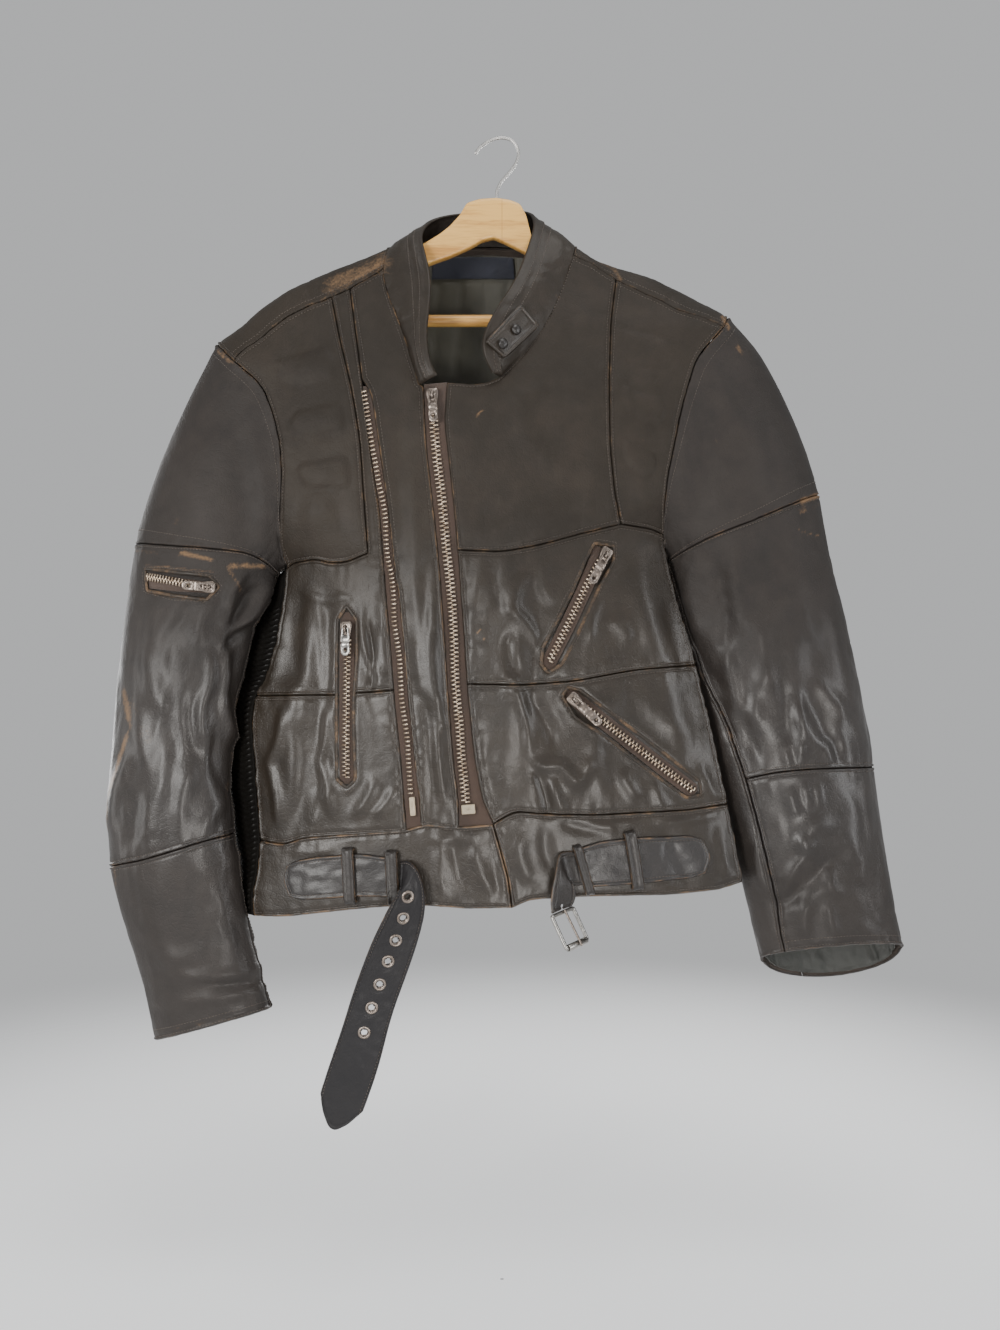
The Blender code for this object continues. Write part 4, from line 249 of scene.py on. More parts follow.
# Belt loops: the sheet points of the upper and lower ends, and the width.
LOOPS = {
    "belt_loop_right_1": ((349, 847), (352, 903), 12.0),
    "belt_loop_right_2": ((392, 850), (395, 904), 12.0),
    "belt_loop_left_1": ((628, 831), (637, 889), 12.0),
    "belt_loop_left_2": ((576, 845), (590, 894), 9.0),
}
LOOP_THICK = 2.2

# Zip sliders: the body of each one's pull and the pull's length.
SLIDERS = {
    "main_zip": ("main_pull", 27.0),
    "side_pocket_zip": ("side_pull", 26.0),
    "chest_pocket_zip": ("chest_pull", 32.0),
    "lower_pocket_zip": ("lower_pull", 34.0),
    "sleeve_pocket_zip": ("sleeve_pull", 24.0),
}
SLIDER_SIZE = (12.0, 15.0, 3.2)
PULL_WIDE = 9.0
PULL_THICK = 1.5

# The collar tab's corners on the sheet, and its top, bottom, left and right lines as a flat square.
TAB = [(520, 303), (540, 326), (505, 359), (485, 341)]
TAB_EDGES = [[(2, 0), (38, 0)], [(2, 40), (38, 40)], [(2, 0), (0, 4), (0, 36), (2, 40)],
             [(38, 0), (40, 4), (40, 36), (38, 40)]]

BUCKLE = [(552, 917, -82), (573, 908, -58), (592, 941, -62), (569, 948, -86)]
BUCKLE_WIRE = 3.2
ROLLER_ROUND = 6.6
PRONG_THICK = 2.4
BUCKLE_STRAP_THICK = 2.6
SWEPT_GAP = 0.35

# The strap's turned end: its two edges, each with how far it stands in front of the waistband.
BUCKLE_STRAP = [
    ((579, 851), -3.2, (586, 885), -3.2), ((567, 851), -4.0, (574, 886), -3.6),
    ((558, 853), -9, (566, 886), -9), ((557, 866), -20, (574, 885), -10), ((552, 889), -24, (576, 890), -8),
    ((550, 904), -26, (575, 900), -6), ((552, 915), -26, (573, 907), -4),
]

# The lining behind the neck: its top, bottom, left and right lines and how soft each one's corners are.
BACK_LINING = [
    ([(414, 264), (440, 259), (485, 257), (530, 259), (552, 264)], 4),
    ([(400, 440), (500, 446), (600, 440)], 4),
    ([(414, 264), (385, 330), (400, 440)], 8),
    ([(552, 264), (590, 330), (600, 440)], 8),
]
LINING_BACK = 5.2
LABEL_OUTLINE = [(432, 259), (514, 259), (515, 281), (431, 281)]
LABEL_OFF = 1.8
CUFF_LINING_IN = 4.2

WOOD = [
    (497, 199), (510, 201), (520, 205), (526, 216), (529, 228), (531, 241), (540, 249), (555, 257),
    (574, 266), (600, 277), (645, 290), (680, 304), (697, 315), (701, 325), (698, 333), (688, 334),
    (688, 313.5), (655, 308), (620, 297), (575, 279), (545, 265), (527, 255), (507, 245), (494, 239),
    (482, 242), (470, 249), (450, 258), (430, 265), (395, 280), (350, 300), (325, 309), (306, 313.5),
    (306, 331), (294, 331), (288, 322), (291, 309), (302, 300), (330, 286), (360, 275), (390, 262),
    (412, 251), (427, 243), (440, 235), (450, 227), (460, 216), (467, 204), (480, 200),
]
BAR_HEIGHT = 321.0
BAR_ENDS = (306.3, 687.7)
HOOK = [(476, 153), (479, 148), (487, 142), (494, 139), (502, 137.4), (511, 139.5), (517, 146), (519, 155),
        (516, 164), (509, 173), (501, 182), (497, 190), (496.5, 198.5)]

# Where the zip teeth lie on the sheet, from the slider's end or the top down.
MAIN_TEETH = [
    (433, 406), (434, 424), (437, 460), (441, 490), (444, 520), (446, 545), (449, 570), (452, 600),
    (454, 640), (455, 680), (457, 702), (460, 730), (461, 755), (464, 780), (466, 803),
]
OPEN_TEETH = [(366, 391), (369, 410), (372, 430), (375, 450), (379, 470), (381, 485), (385, 500), (388, 520),
              (388, 540), (390, 560), (394, 575), (396, 595), (396, 620), (399, 640), (402, 657), (403, 680),
              (404, 702), (407, 720), (410, 740), (411, 765), (413, 796)]
SIDE_TEETH = [(348, 637), (347, 664), (346.5, 700), (346, 740), (346, 778)]
CHEST_TEETH = [(600, 561), (587, 584), (577, 606), (566, 629), (549, 662)]
LOWER_TEETH = [(580, 704), (602, 720), (630, 742), (662, 767), (694, 791)]
SLEEVE_TEETH = [(146, 577), (160, 579), (175, 581.5), (190, 585), (200, 586)]

SIDE_TAPE = [(347.5, 612), (346.5, 660), (346, 740), (347, 784)]
CHEST_TAPE = [(602, 548), (587, 584), (566, 629), (546, 668)]
LOWER_TAPE = [(566, 692), (602, 720), (662, 767), (696, 793)]
SLEEVE_TAPE = [(147, 580), (175, 584.5), (212, 588)]
TAPE_WIDE = 15.0
TOOTH_PITCH = 4.1
SLEEVE_TOOTH_PITCH = 3.4
# Pocket zips: where the teeth lie, the outline of the opening, the middle of the tape and the teeth's pitch.
POCKET_ZIPS = {
    "side_pocket_zip": (SIDE_TEETH, SIDE_ZIP_WINDOW, SIDE_TAPE, TOOTH_PITCH),
    "chest_pocket_zip": (CHEST_TEETH, CHEST_ZIP_WINDOW, CHEST_TAPE, TOOTH_PITCH),
    "lower_pocket_zip": (LOWER_TEETH, LOWER_ZIP_WINDOW, LOWER_TAPE, TOOTH_PITCH),
    "sleeve_pocket_zip": (SLEEVE_TEETH, SLEEVE_ZIP_WINDOW, SLEEVE_TAPE, SLEEVE_TOOTH_PITCH),
}

# Folds seen in front, in the sheet: start, end, bow to the side, half width, height (a trough if below 0).
FRONT_FOLDS = [
    ((284, 712), (270, 764), -3, 5, 3.0), ((270, 764), (279, 822), -2, 5, 3.0),
    ((283, 600), (268, 690), -3, 8, 2.2), ((303, 585), (296, 690), 3, 10, -2.4),
    ((328, 710), (321, 762), -2, 6, 2.6), ((321, 762), (332, 816), -2, 6, 2.6),
    ((300, 712), (296, 825), -5, 9, -2.2), ((322, 690), (318, 600), 3, 6, 1.6),
    ((366, 620), (372, 690), -3, 4, -2.4), ((362, 612), (380, 680), 5, 5, 2.0),
    ((388, 560), (384, 640), 2, 5, 1.6), ((355, 815), (375, 780), 3, 6, 2.0),
    ((375, 815), (395, 790), 2, 5, 1.8), ((330, 790), (316, 830), 4, 7, 1.6),
    ((300, 590), (345, 600), 4, 5, 1.3), ((338, 594), (352, 600), 0, 4, 1.2),
    ((433, 600), (441, 720), 5, 7, 3.0), ((425, 560), (428, 640), 2, 6, -2.0),
    ((422, 690), (432, 810), -3, 6, -2.4), ((437, 730), (444, 800), 2, 5, 2.2),
    ((417, 640), (425, 700), 2, 5, 1.6), ((412, 470), (418, 560), 3, 9, 1.6),
    ((400, 420), (408, 540), 4, 10, -1.4), ((400, 300), (408, 400), 5, 12, 1.2),
    ((520, 400), (560, 470), 10, 12, 1.8), ((540, 380), (600, 420), 8, 10, -1.5),
    ((505, 395), (545, 386), 4, 6, 1.3), ((470, 540), (535, 500), 6, 10, 1.6),
    ((480, 520), (560, 470), 8, 12, -1.4), ((560, 520), (600, 470), 6, 10, 1.2),
    ((527, 575), (512, 608), 4, 7, 2.4), ((500, 606), (538, 645), -6, 7, 3.0),
    ((495, 565), (503, 615), 3, 7, -2.6), ((509, 635), (516, 676), 3, 6, -3.0),
    ((480, 560), (477, 660), 4, 8, 1.6), ((545, 560), (548, 600), 4, 7, 1.6),
    ((611, 618), (628, 642), -4, 8, 2.2), ((640, 560), (652, 640), 6, 16, 1.8),
    ((672, 600), (684, 665), 3, 9, -1.6), ((598, 600), (590, 640), 3, 5, 1.8),
    ((556, 640), (548, 668), 2, 5, 1.8), ((513, 684), (529, 752), -4, 6, 2.8),
    ((532, 700), (554, 746), -3, 7, -2.6), ((536, 765), (560, 763), 2, 6, 2.4),
    ((560, 763), (577, 785), 0, 6, 2.6), ((577, 785), (588, 760), 2, 6, 2.2),
    ((536, 770), (549, 813), -2, 5, -3.0), ((552, 782), (566, 814), 2, 6, 2.2),
    ((622, 772), (638, 797), 2, 7, 2.2), ((470, 720), (482, 800), 4, 7, 1.8),
    ((488, 740), (500, 812), 4, 9, -1.6), ((640, 690), (690, 735), 6, 12, 1.6),
    ((700, 765), (713, 796), 2, 6, 2.0), ((594, 740), (606, 800), 4, 9, 1.4),
    ((655, 782), (668, 810), 3, 6, 1.6), ((455, 840), (470, 895), 4, 6, -2.2),
    ((440, 845), (445, 895), 3, 6, 2.0), ((475, 845), (490, 890), 4, 6, 2.4),
    ((495, 850), (500, 895), 2, 5, -1.8), ((520, 835), (530, 880), 5, 8, 2.6),
    ((545, 830), (552, 870), 3, 7, -1.8), ((290, 850), (330, 850), 2, 4, 1.2),
    ((430, 838), (480, 836), 2, 5, 1.5), ((590, 826), (640, 824), 2, 4, 1.6),
    ((660, 822), (715, 815), 2, 4, 1.5), ((560, 822), (600, 830), 3, 5, -1.4),
    ((720, 830), (728, 875), 2, 6, 2.0), ((300, 480), (306, 555), 3, 10, -2.0),
    ((322, 495), (330, 555), -3, 9, 1.8), ((340, 500), (345, 556), 2, 7, -1.4),
    ((300, 330), (300, 400), 4, 9, -1.3), ((312, 315), (306, 345), 2, 8, 1.0),
    ((290, 355), (292, 430), 3, 8, -1.2), ((655, 400), (664, 470), 4, 6, -2.4),
    ((645, 350), (655, 440), -5, 7, 1.6), ((630, 345), (640, 420), 3, 6, -1.4),
    ((640, 470), (660, 530), 3, 8, 1.6), ((625, 480), (640, 525), 3, 7, -1.3),
    ((585, 300), (590, 420), 8, 16, 1.4), ((560, 330), (545, 470), 8, 16, -1.4),
    ((600, 440), (590, 520), 5, 9, 1.2),
]
BACK_FOLDS = [
    ((300, 400), (285, 560), 6, 12, -3.0), ((320, 560), (300, 700), 8, 12, 3.0),
    ((345, 620), (335, 800), -6, 12, -2.6), ((280, 600), (262, 760), 4, 9, 2.4),
    ((400, 640), (390, 810), 6, 12, 2.4), ((440, 700), (452, 815), 5, 12, -2.2),
    ((500, 640), (505, 800), 8, 14, 2.4), ((545, 600), (560, 780), -8, 12, -2.6),
    ((600, 560), (612, 740), 8, 12, 2.8), ((640, 620), (655, 790), 6, 10, -2.4),
    ((640, 400), (655, 540), 6, 11, -2.8), ((660, 450), (640, 620), 5, 10, 2.4),
    ((420, 300), (540, 305), 12, 16, 1.6), ((330, 330), (380, 440), 8, 14, 1.6),
    ((620, 330), (575, 450), 8, 14, -1.6), ((300, 780), (360, 760), 6, 9, -1.8),
    ((620, 770), (560, 760), 6, 9, 1.8), ((470, 740), (540, 760), 6, 10, -1.6),
    ((360, 480), (460, 520), 14, 16, 1.4), ((590, 480), (500, 540), 14, 16, -1.4),
    ((430, 560), (420, 640), 6, 12, 1.6),
]
SLEEVE_FOLDS_R = [
    ((243, 572), (228, 622), 5, 6, 5.0), ((268, 582), (236, 628), -4, 6, 5.5),
    ((252, 590), (232, 626), 0, 6, -6.0), ((252, 626), (222, 652), 3, 4, -4.0),
    ((221, 640), (224, 690), -4, 5, 4.5), ((224, 690), (236, 745), 4, 5, 4.0),
    ((236, 640), (240, 720), 3, 7, -3.2), ((210, 655), (204, 700), -5, 6, 3.2),
    ((204, 700), (208, 745), 4, 6, 3.0), ((192, 690), (198, 760), 4, 7, -2.6),
    ((212, 740), (226, 790), 3, 7, -2.2), ((190, 770), (180, 830), 4, 8, 2.0),
    ((150, 640), (172, 720), 8, 9, 2.4), ((172, 700), (178, 760), 4, 8, -2.0),
    ((140, 690), (150, 770), 6, 9, 2.2), ((128, 760), (112, 830), 4, 6, 2.8),
    ((135, 790), (128, 850), -4, 8, -1.8), ((160, 780), (150, 850), 5, 10, 1.6),
    ((215, 600), (200, 640), 5, 7, 2.2), ((190, 600), (180, 650), 4, 9, -1.4),
    ((150, 600), (160, 650), 4, 9, 1.4), ((225, 800), (205, 830), 3, 7, 1.8),
    ((240, 850), (210, 900), 6, 9, 1.6), ((150, 880), (170, 960), 6, 12, 1.4),
    ((190, 870), (200, 960), 8, 12, -1.6), ((225, 880), (232, 960), 4, 9, 1.6),
    ((205, 984), (264, 979), 3, 4, -2.2), ((180, 975), (262, 966), 5, 6, 1.8),
    ((170, 1000), (262, 990), 3, 6, 1.4), ((150, 960), (200, 950), 4, 8, 1.2),
    ((255, 440), (262, 545), -4, 9, 2.4), ((235, 420), (240, 540), -6, 12, -2.0),
    ((200, 440), (205, 530), 6, 16, 1.6), ((170, 470), (175, 540), 5, 14, -1.4),
    ((225, 380), (240, 400), 4, 8, 1.2), ((262, 410), (268, 470), 3, 6, -1.4),
]
SLEEVE_FOLDS_L = [
    ((690, 420), (684, 520), 4, 8, 2.0), ((715, 400), (705, 520), 8, 14, -1.8),
    ((740, 360), (760, 470), 10, 18, 1.6), ((770, 410), (790, 490), 8, 12, -1.4),
    ((712, 440), (730, 470), 3, 7, 1.2), ((690, 570), (705, 640), 5, 9, 2.6),
    ((712, 560), (724, 650), -6, 9, -2.8), ((735, 550), (748, 640), 5, 9, 2.6),
    ((700, 640), (722, 690), 5, 8, -2.4), ((728, 650), (750, 720), 6, 8, 3.0),
    ((745, 690), (758, 760), 5, 7, -2.6), ((762, 620), (775, 690), 5, 9, 2.2),
    ((780, 680), (790, 740), -4, 9, -2.0), ((800, 560), (815, 640), 6, 10, 1.8),
    ((812, 640), (825, 720), 5, 10, -1.8), ((832, 620), (850, 700), 4, 8, 1.8),
    ((770, 530), (780, 590), 5, 10, -1.6), ((838, 700), (850, 755), 5, 8, 2.0),
    ((800, 710), (808, 760), 4, 8, 1.8), ((722, 700), (735, 740), 3, 6, -1.8),
    ((782, 898), (834, 856), 5, 8, -2.6), ((770, 905), (800, 893), 4, 6, -2.6),
    ((826, 818), (803, 858), 6, 11, 2.8), ((803, 858), (786, 886), 2, 7, 2.6),
    ((830, 866), (838, 896), 5, 6, 2.4), ((808, 902), (806, 936), 3, 6, 2.6),
    ((830, 904), (836, 934), 2, 5, 2.4), ((790, 790), (798, 815), 2, 4, 1.8),
    ((806, 784), (809, 806), 1, 3, 1.8), ((818, 783), (820, 806), 1, 3, 1.8),
    ((800, 836), (812, 850), 3, 7, 1.6), ((850, 800), (864, 880), 6, 12, 1.6),
    ((758, 840), (765, 890), 3, 5, 2.6), ((840, 850), (856, 870), 4, 8, -1.8),
    ((796, 700), (825, 752), 6, 8, 3.0), ((815, 680), (862, 748), -3, 8, 2.4),
    ((804, 690), (838, 752), 2, 7, -2.0), ((765, 670), (758, 730), 5, 12, 2.2),
    ((786, 742), (788, 764), 1, 4, 1.8), ((800, 742), (801, 764), 1, 4, 1.8),
    ((826, 742), (830, 764), 1, 3.5, 1.8), ((836, 740), (840, 764), 1, 3.5, -1.6),
]

# Worn, tan places: start and end of a stroke on the sheet, half its width, and how bare it is.
SCUFFS = [
    ((330, 288), (384, 262), 13, 0.60), ((336, 280), (352, 272), 5, 0.7),
    ((356, 279), (384, 262), 4, 0.78), ((182, 553), (212, 560), 3, 0.9), ((134, 551), (160, 553), 3, 0.5),
    ((232, 566), (262, 566), 4, 0.8), ((228, 568), (240, 590), 3, 0.7), ((148, 566), (214, 572), 2, 0.7),
    ((150, 594), (205, 602), 2, 0.6), ((125, 692), (132, 726), 4, 0.8), ((133, 700), (150, 740), 8, 0.35),
    ((128, 735), (112, 790), 3, 0.9), ((112, 790), (109, 830), 3, 0.6),
    ((170, 510), (178, 518), 2.5, 0.9), ((477, 416), (483, 410), 1.6, 1.0),
    ((736, 346), (741, 350), 1.6, 1.0), ((802, 501), (820, 495), 4, 0.9),
    ((796, 530), (818, 536), 1.6, 0.7), ((800, 512), (818, 505), 3, 0.5),
    ((476, 634), (480, 630), 1.4, 1.0), ((483, 640), (485, 638), 1.4, 1.0),
    ((251, 916), (300, 917), 2.5, 0.6), ((219, 350), (232, 360), 3, 0.7),
    ((722, 318), (726, 326), 3, 0.9), ((612, 268), (620, 280), 4, 0.6), ((232, 750), (226, 800), 3, 0.4),
    ((556, 295), (560, 300), 2, 0.6), ((600, 262), (614, 270), 4, 0.5),
    ((160, 1030), (240, 1018), 3, 0.35), ((114, 850), (118, 900), 2, 0.4),
    ((838, 620), (848, 650), 2.5, 0.3), ((172, 655), (190, 700), 10, 0.12),
    ((640, 440), (660, 446), 1.2, 0.4), ((712, 438), (722, 446), 1.2, 0.6),
]

# Lights: name, place, width and height, power, colour.
LIGHTS = [
    ("window", (-1.15, -1.75, -0.30), (0.50, 1.10), 34.0, (1.0, 0.985, 0.96)),
    ("lamp", (0.35, -1.9, -1.05), (0.45, 0.55), 15.0, (1.0, 0.97, 0.93)),
    ("overhead", (0.3, -0.7, 1.3), (1.2, 0.9), 16.0, (1.0, 0.99, 0.97)),
    ("right_fill", (1.9, -1.0, -0.3), (0.35, 1.4), 16.0, (0.97, 0.985, 1.0)),
    ("left_edge", (-2.0, -0.2, -0.5), (0.4, 1.3), 8.0, (1.0, 0.99, 0.97)),
    ("behind", (0.8, 1.9, -0.1), (0.45, 0.8), 34.0, (1.0, 0.99, 0.98)),
    ("behind_left", (-1.6, 1.5, -0.2), (0.6, 1.2), 16.0, (0.98, 0.99, 1.0)),
]
LIGHT_AIM = (0.0, 0.0, -0.55)
SENSOR = 36.0
# A grey-blue mixed into the hide: partly a cooler tone, partly a painted grey sheen.
COOL_AND_SHEEN_HIDE = (0.024, 0.025, 0.029, 1.0)
EDGE_WEAR = {"waistband_right": 0.85, "waistband_left": 0.7, "centre_front_right": 0.75,
             "centre_front_left": 0.55}
BODY_WINDOWS = (SIDE_ZIP_WINDOW, CHEST_ZIP_WINDOW, LOWER_ZIP_WINDOW)
WINDOW_DEEP = 3.0
VECTOR, FLOAT = "NodeSocketVector", "NodeSocketFloat"

TO_FRONT = np.array([0.0, -1.0, 0.0])
TO_LEFT = np.array([1.0, 0.0, 0.0])
UP = np.array([0.0, 0.0, 1.0])
WALL = 1.7
SKIN_OUT = 1.0
EDGE_ROWS = np.array([0.0, 0.4, 0.9, 1.9, 3.0, 3.8, 4.5, 5.6])
STITCH_ROW = 5
FRONT_PITCH = 3.0
SLEEVE_PITCH = 3.4
BACK_PITCH = 4.1
YOKE_PITCH = 2.6
GUSSET_PITCH = 3.6
ROWS_A_RIB = 7
STRAP_PITCH = 2.6
END_PITCH = 1.8
TAIL_PITCH = 1.7
TAB_PITCH = 1.6
TAPE_PITCH = 2.2
BAND_TAPE_PITCH = 2.4
LINING_PITCH = 3.2
LABEL_PITCH = 1.8
CUFF_PITCH = 2.6
# Flat sizes of pieces not drawn on the sheet: a side's width, a strap's or tab's width, a strap's row.
SIDE_WIDE = 44.0
FLAT_WIDE = 40.0
STRAP_STEP = 24.0
# The collar's cut is a little smaller than half of its closed skin, which its padding swells.
COLLAR_AREA_SHARE = 0.93
THREAD_HALF = 0.5
NOISE_CELLS = 128


def world(u, v, y):
    """Sheet points at a depth, as millimetres from the hook: each point moves along its line of sight."""
    u, v, y = np.broadcast_arrays(np.asarray(u, float), np.asarray(v, float), np.asarray(y, float))
    near = (VIEW_DISTANCE + y) / VIEW_DISTANCE
    x = SHEET_CENTRE[0] - SHEET_HOOK[0] + (u - SHEET_CENTRE[0]) * near
    z = SHEET_HOOK[1] - SHEET_CENTRE[1] - (v - SHEET_CENTRE[1]) * near
    return np.stack([x, y, z], axis=-1)


EYE = world(*SHEET_CENTRE, -VIEW_DISTANCE)


def sheet_of(points):
    """The sheet coordinates of points in space, the reverse of world."""
    near = (VIEW_DISTANCE + points[..., 1]) / VIEW_DISTANCE
    u = SHEET_CENTRE[0] + (points[..., 0] - SHEET_CENTRE[0] + SHEET_HOOK[0]) / near
    v = SHEET_CENTRE[1] - (points[..., 2] - SHEET_HOOK[1] + SHEET_CENTRE[1]) / near
    return np.stack([u, v], -1)


def smooth_step(x, low, high):
    t = np.clip((np.asarray(x, float) - low) / (high - low), 0, 1)
    return t * t * (3 - 2 * t)


def hump(x, middle, wide):
    """A bell curve: 1 at the middle, fading to both sides."""
    return np.exp(-(((x - middle) / wide) ** 2))


def unit(vectors):
    return vectors / np.maximum(np.linalg.norm(vectors, axis=-1, keepdims=True), 1e-12)


def lengths(points):
    """Length along a line at each of its points."""
    steps = np.linalg.norm(np.diff(points, axis=0), axis=1)
    return np.concatenate([[0], np.cumsum(steps)])


def shares(points):
    along = lengths(points)
    return along / max(along[-1], 1e-9)


def along_line(points, t, at=None):
    """Points of a line at shares t of its length, or at the given parameters."""
    points = np.asarray(points, float)
    at = shares(points) if at is None else at
    return np.stack([np.interp(t, at, points[:, i]) for i in range(points.shape[1])], axis=-1)


def resampled(points, step):
    points = np.asarray(points, float)
    count = max(1, int(round(lengths(points)[-1] / step)))
    return along_line(points, np.linspace(0, 1, count + 1))


def bell(reach, spread):
    weights = np.exp(-0.5 * (np.arange(-reach, reach + 1) / spread) ** 2)
    return weights / weights.sum()


def blurred(values, spread):
    """Values on even steps, blurred by a bell curve, with both ends held."""
    values = np.asarray(values, float)
    reach = min(int(3 * spread), len(values) - 1)
    before = 2 * values[0] - values[reach:0:-1]
    after = 2 * values[-1] - values[-2:-reach - 2:-1]
    return np.convolve(np.concatenate([before, values, after]), bell(reach, spread), "valid")


def blurred_line(points, spread):
    """A line with each coordinate blurred."""
    return np.stack([blurred(column, spread) for column in points.T], -1)


def convolved(points, weights):
    """Padded points with each coordinate averaged under the weights."""
    return np.stack([np.convolve(column, weights, "valid") for column in points.T], -1)


def soft_line(points, soft=7.0, step=2.0):
    """A line with its corners rounded: even steps under a bell curve, with fixed ends."""
    dense = resampled(points, step)
    reach = min(int(3 * soft / step), len(dense) - 1)
    if reach < 1:
        return dense
    before = 2 * dense[0] - dense[reach:0:-1]
    after = 2 * dense[-1] - dense[-2:-reach - 2:-1]
    return convolved(np.vstack([before, dense, after]), bell(reach, soft / step))


def run(line, low, high, axis=1):
    """The stretch of a line between two places, measured down the sheet (axis 1) or across it (axis 0)."""
    place, t = line[:, axis], shares(line)
    order = np.argsort(place)
    a, b = np.interp([low, high], place[order], t[order])
    return along_line(line, np.linspace(a, b, max(3, int(abs(b - a) * len(line)) + 1)))


def joined(*stretches):
    """Lines end to end."""
    return np.concatenate([np.asarray(s, float)[min(i, 1):] for i, s in enumerate(stretches)])


def meet(line, start, end):
    """A line whose ends are drawn to given points, the middle following along."""
    t = shares(line)[:, None]
    return line + (1 - t) * (np.asarray(start) - line[0]) + t * (np.asarray(end) - line[-1])


def steps(length, pitch):
    """Shares along a length: fine rows beside both ends, for seams and edges, and even ones between."""
    rows = EDGE_ROWS
    if length < 4 * rows[-1]:
        rows = EDGE_ROWS * length / (4 * EDGE_ROWS[-1])
    inner = length - 2 * rows[-1]
    count = max(2, int(round(inner / pitch)))
    middle = rows[-1] + inner * np.arange(1, count) / count
    return np.concatenate([rows, middle, (length - rows)[::-1]]) / length


def coons(top, bottom, left, right):
    """Fills four border lines: the mean of the two ways across, less the corners counted twice."""
    a = ((shares(top) + shares(bottom)) / 2)[None, :, None]
    b = ((shares(left) + shares(right)) / 2)[:, None, None]
    down = (1 - b) * top[None] + b * bottom[None]
    over = (1 - a) * left[:, None] + a * right[:, None]
    high_corners = (1 - a) * (1 - b) * top[0] + a * (1 - b) * top[-1]
    return down + over - (high_corners + (1 - a) * b * bottom[0] + a * b * bottom[-1])


def across(line, v):
    """u of a line that runs down the sheet, at each height v."""
    line = np.array(sorted(line, key=lambda p: p[1]), float)
    return np.interp(v, line[:, 1], line[:, 0])


HEIGHTS = np.arange(240.0, 941.0, 2.0)


def depth_tables(table, left, right):
    """Edge depth, bulge, left edge and right edge of one face of the body at HEIGHTS, blurred."""
    edge = blurred(np.interp(HEIGHTS, table[:, 0], table[:, 1]), 5)
    bulge = blurred(np.interp(HEIGHTS, table[:, 0], table[:, 2]), 5)
    return edge, bulge, blurred(across(left, HEIGHTS), 2), blurred(across(right, HEIGHTS), 2)


FRONT_TABLES = depth_tables(
    FRONT_DEPTH,
    SHOULDER_SEAM_R[::-1] + ARMHOLE_R[1:] + SIDE_R[1:] + BAND_SIDE_R[1:],
    SHOULDER_SEAM_L + ARMHOLE_L[1:] + SIDE_L[1:] + BAND_SIDE_L[1:],
)
BACK_TABLES = depth_tables(
    BACK_DEPTH,
    SHOULDER_BACK_R[::-1] + ARMHOLE_BACK_R[1:] + SIDE_BACK_R[1:] + BAND_BACK_R[1:],
    SHOULDER_BACK_L[::-1] + ARMHOLE_BACK_L[1:] + SIDE_BACK_L[1:] + BAND_BACK_L[1:],
)

# The body's largest creases, which its solids have too: start, end, half width, height.
FRONT_CREASES = [
    ((300, 590), (290, 810), 16, 5), ((325, 600), (322, 800), 12, -4), ((420, 560), (432, 800), 13, 4),
    ((500, 560), (530, 800), 18, 4), ((540, 600), (520, 780), 14, -4), ((640, 560), (690, 760), 18, 5),
    ((610, 700), (560, 800), 16, 4), ((660, 830), (690, 890), 14, -3), ((470, 600), (560, 500), 20, 4),
    ((310, 500), (300, 560), 16, 4),
]
BACK_CREASES = [
    ((330, 420), (300, 800), 26, 6), ((620, 420), (650, 780), 26, 6), ((480, 500), (470, 820), 34, -4),
    ((400, 560), (395, 820), 20, 4), ((560, 560), (570, 800), 20, 4),
]


def fold(u, v, start, end, bow, wide, high):
    """A soft ridge (or trough) along a bowed line: a bell curve across it, fading at both ends."""
    start, end = np.array(start, float), np.array(end, float)
    along = end - start
    length = np.hypot(*along)
    along = along / length
    s = (u - start[0]) * along[0] + (v - start[1]) * along[1]
    d = -(u - start[0]) * along[1] + (v - start[1]) * along[0]
    t = np.clip(s / length, 0, 1)
    d = d - bow * 4 * t * (1 - t)
    fade = smooth_step(s, -0.2 * length, 0.25 * length) * (1 - smooth_step(s, 0.75 * length, 1.2 * length))
    return high * fade * hump(d, 0, wide)


def folds(u, v, table):
    return sum(fold(u, v, *row) for row in table)


def body_depth(u, v, tables, creases):
    """Depth over one face of the body: the edges' depth, a rounded bulge between the edges, and creases."""
    edge, bulge, left, right = tables
    lower = v + 22 * smooth_step(u, 380, 620) * (smooth_step(v, 440, 520) - smooth_step(v, 760, 860))
    a, b = np.interp(v, HEIGHTS, left), np.interp(v, HEIGHTS, right)
    place = np.clip((2 * u - a - b) / (b - a), -1, 1)
    inside = smooth_step(u - a, 0, 40) * smooth_step(b - u, 0, 40)
    rounded = np.interp(lower, HEIGHTS, bulge) * (1 - place**2) ** BULGE_POWER
    depth = np.interp(lower, HEIGHTS, edge) + rounded
    return depth + inside * sum(fold(u, v, s, e, 0, wide, high) for s, e, wide, high in creases)


def on_front(flat):
    flat = np.asarray(flat, float)
    return world(flat[:, 0], flat[:, 1], -body_depth(flat[:, 0], flat[:, 1], FRONT_TABLES, FRONT_CREASES))


def on_back(flat):
    flat = np.asarray(flat, float)
    return world(flat[:, 0], flat[:, 1], body_depth(flat[:, 0], flat[:, 1], BACK_TABLES, BACK_CREASES))


def facing(place, flat, away, reach=2.0):
    """Normals of a placed surface, from its slopes along the two flat coordinates, turned towards away."""
    flat = np.asarray(flat, float)
    du = place(flat + [reach, 0]) - place(flat - [reach, 0])
    dv = place(flat + [0, reach]) - place(flat - [0, reach])
    normal = unit(np.cross(du, dv))
    flip = np.einsum("ij,ij->i", normal, np.broadcast_to(away, normal.shape)) < 0
    return np.where(flip[:, None], -normal, normal)


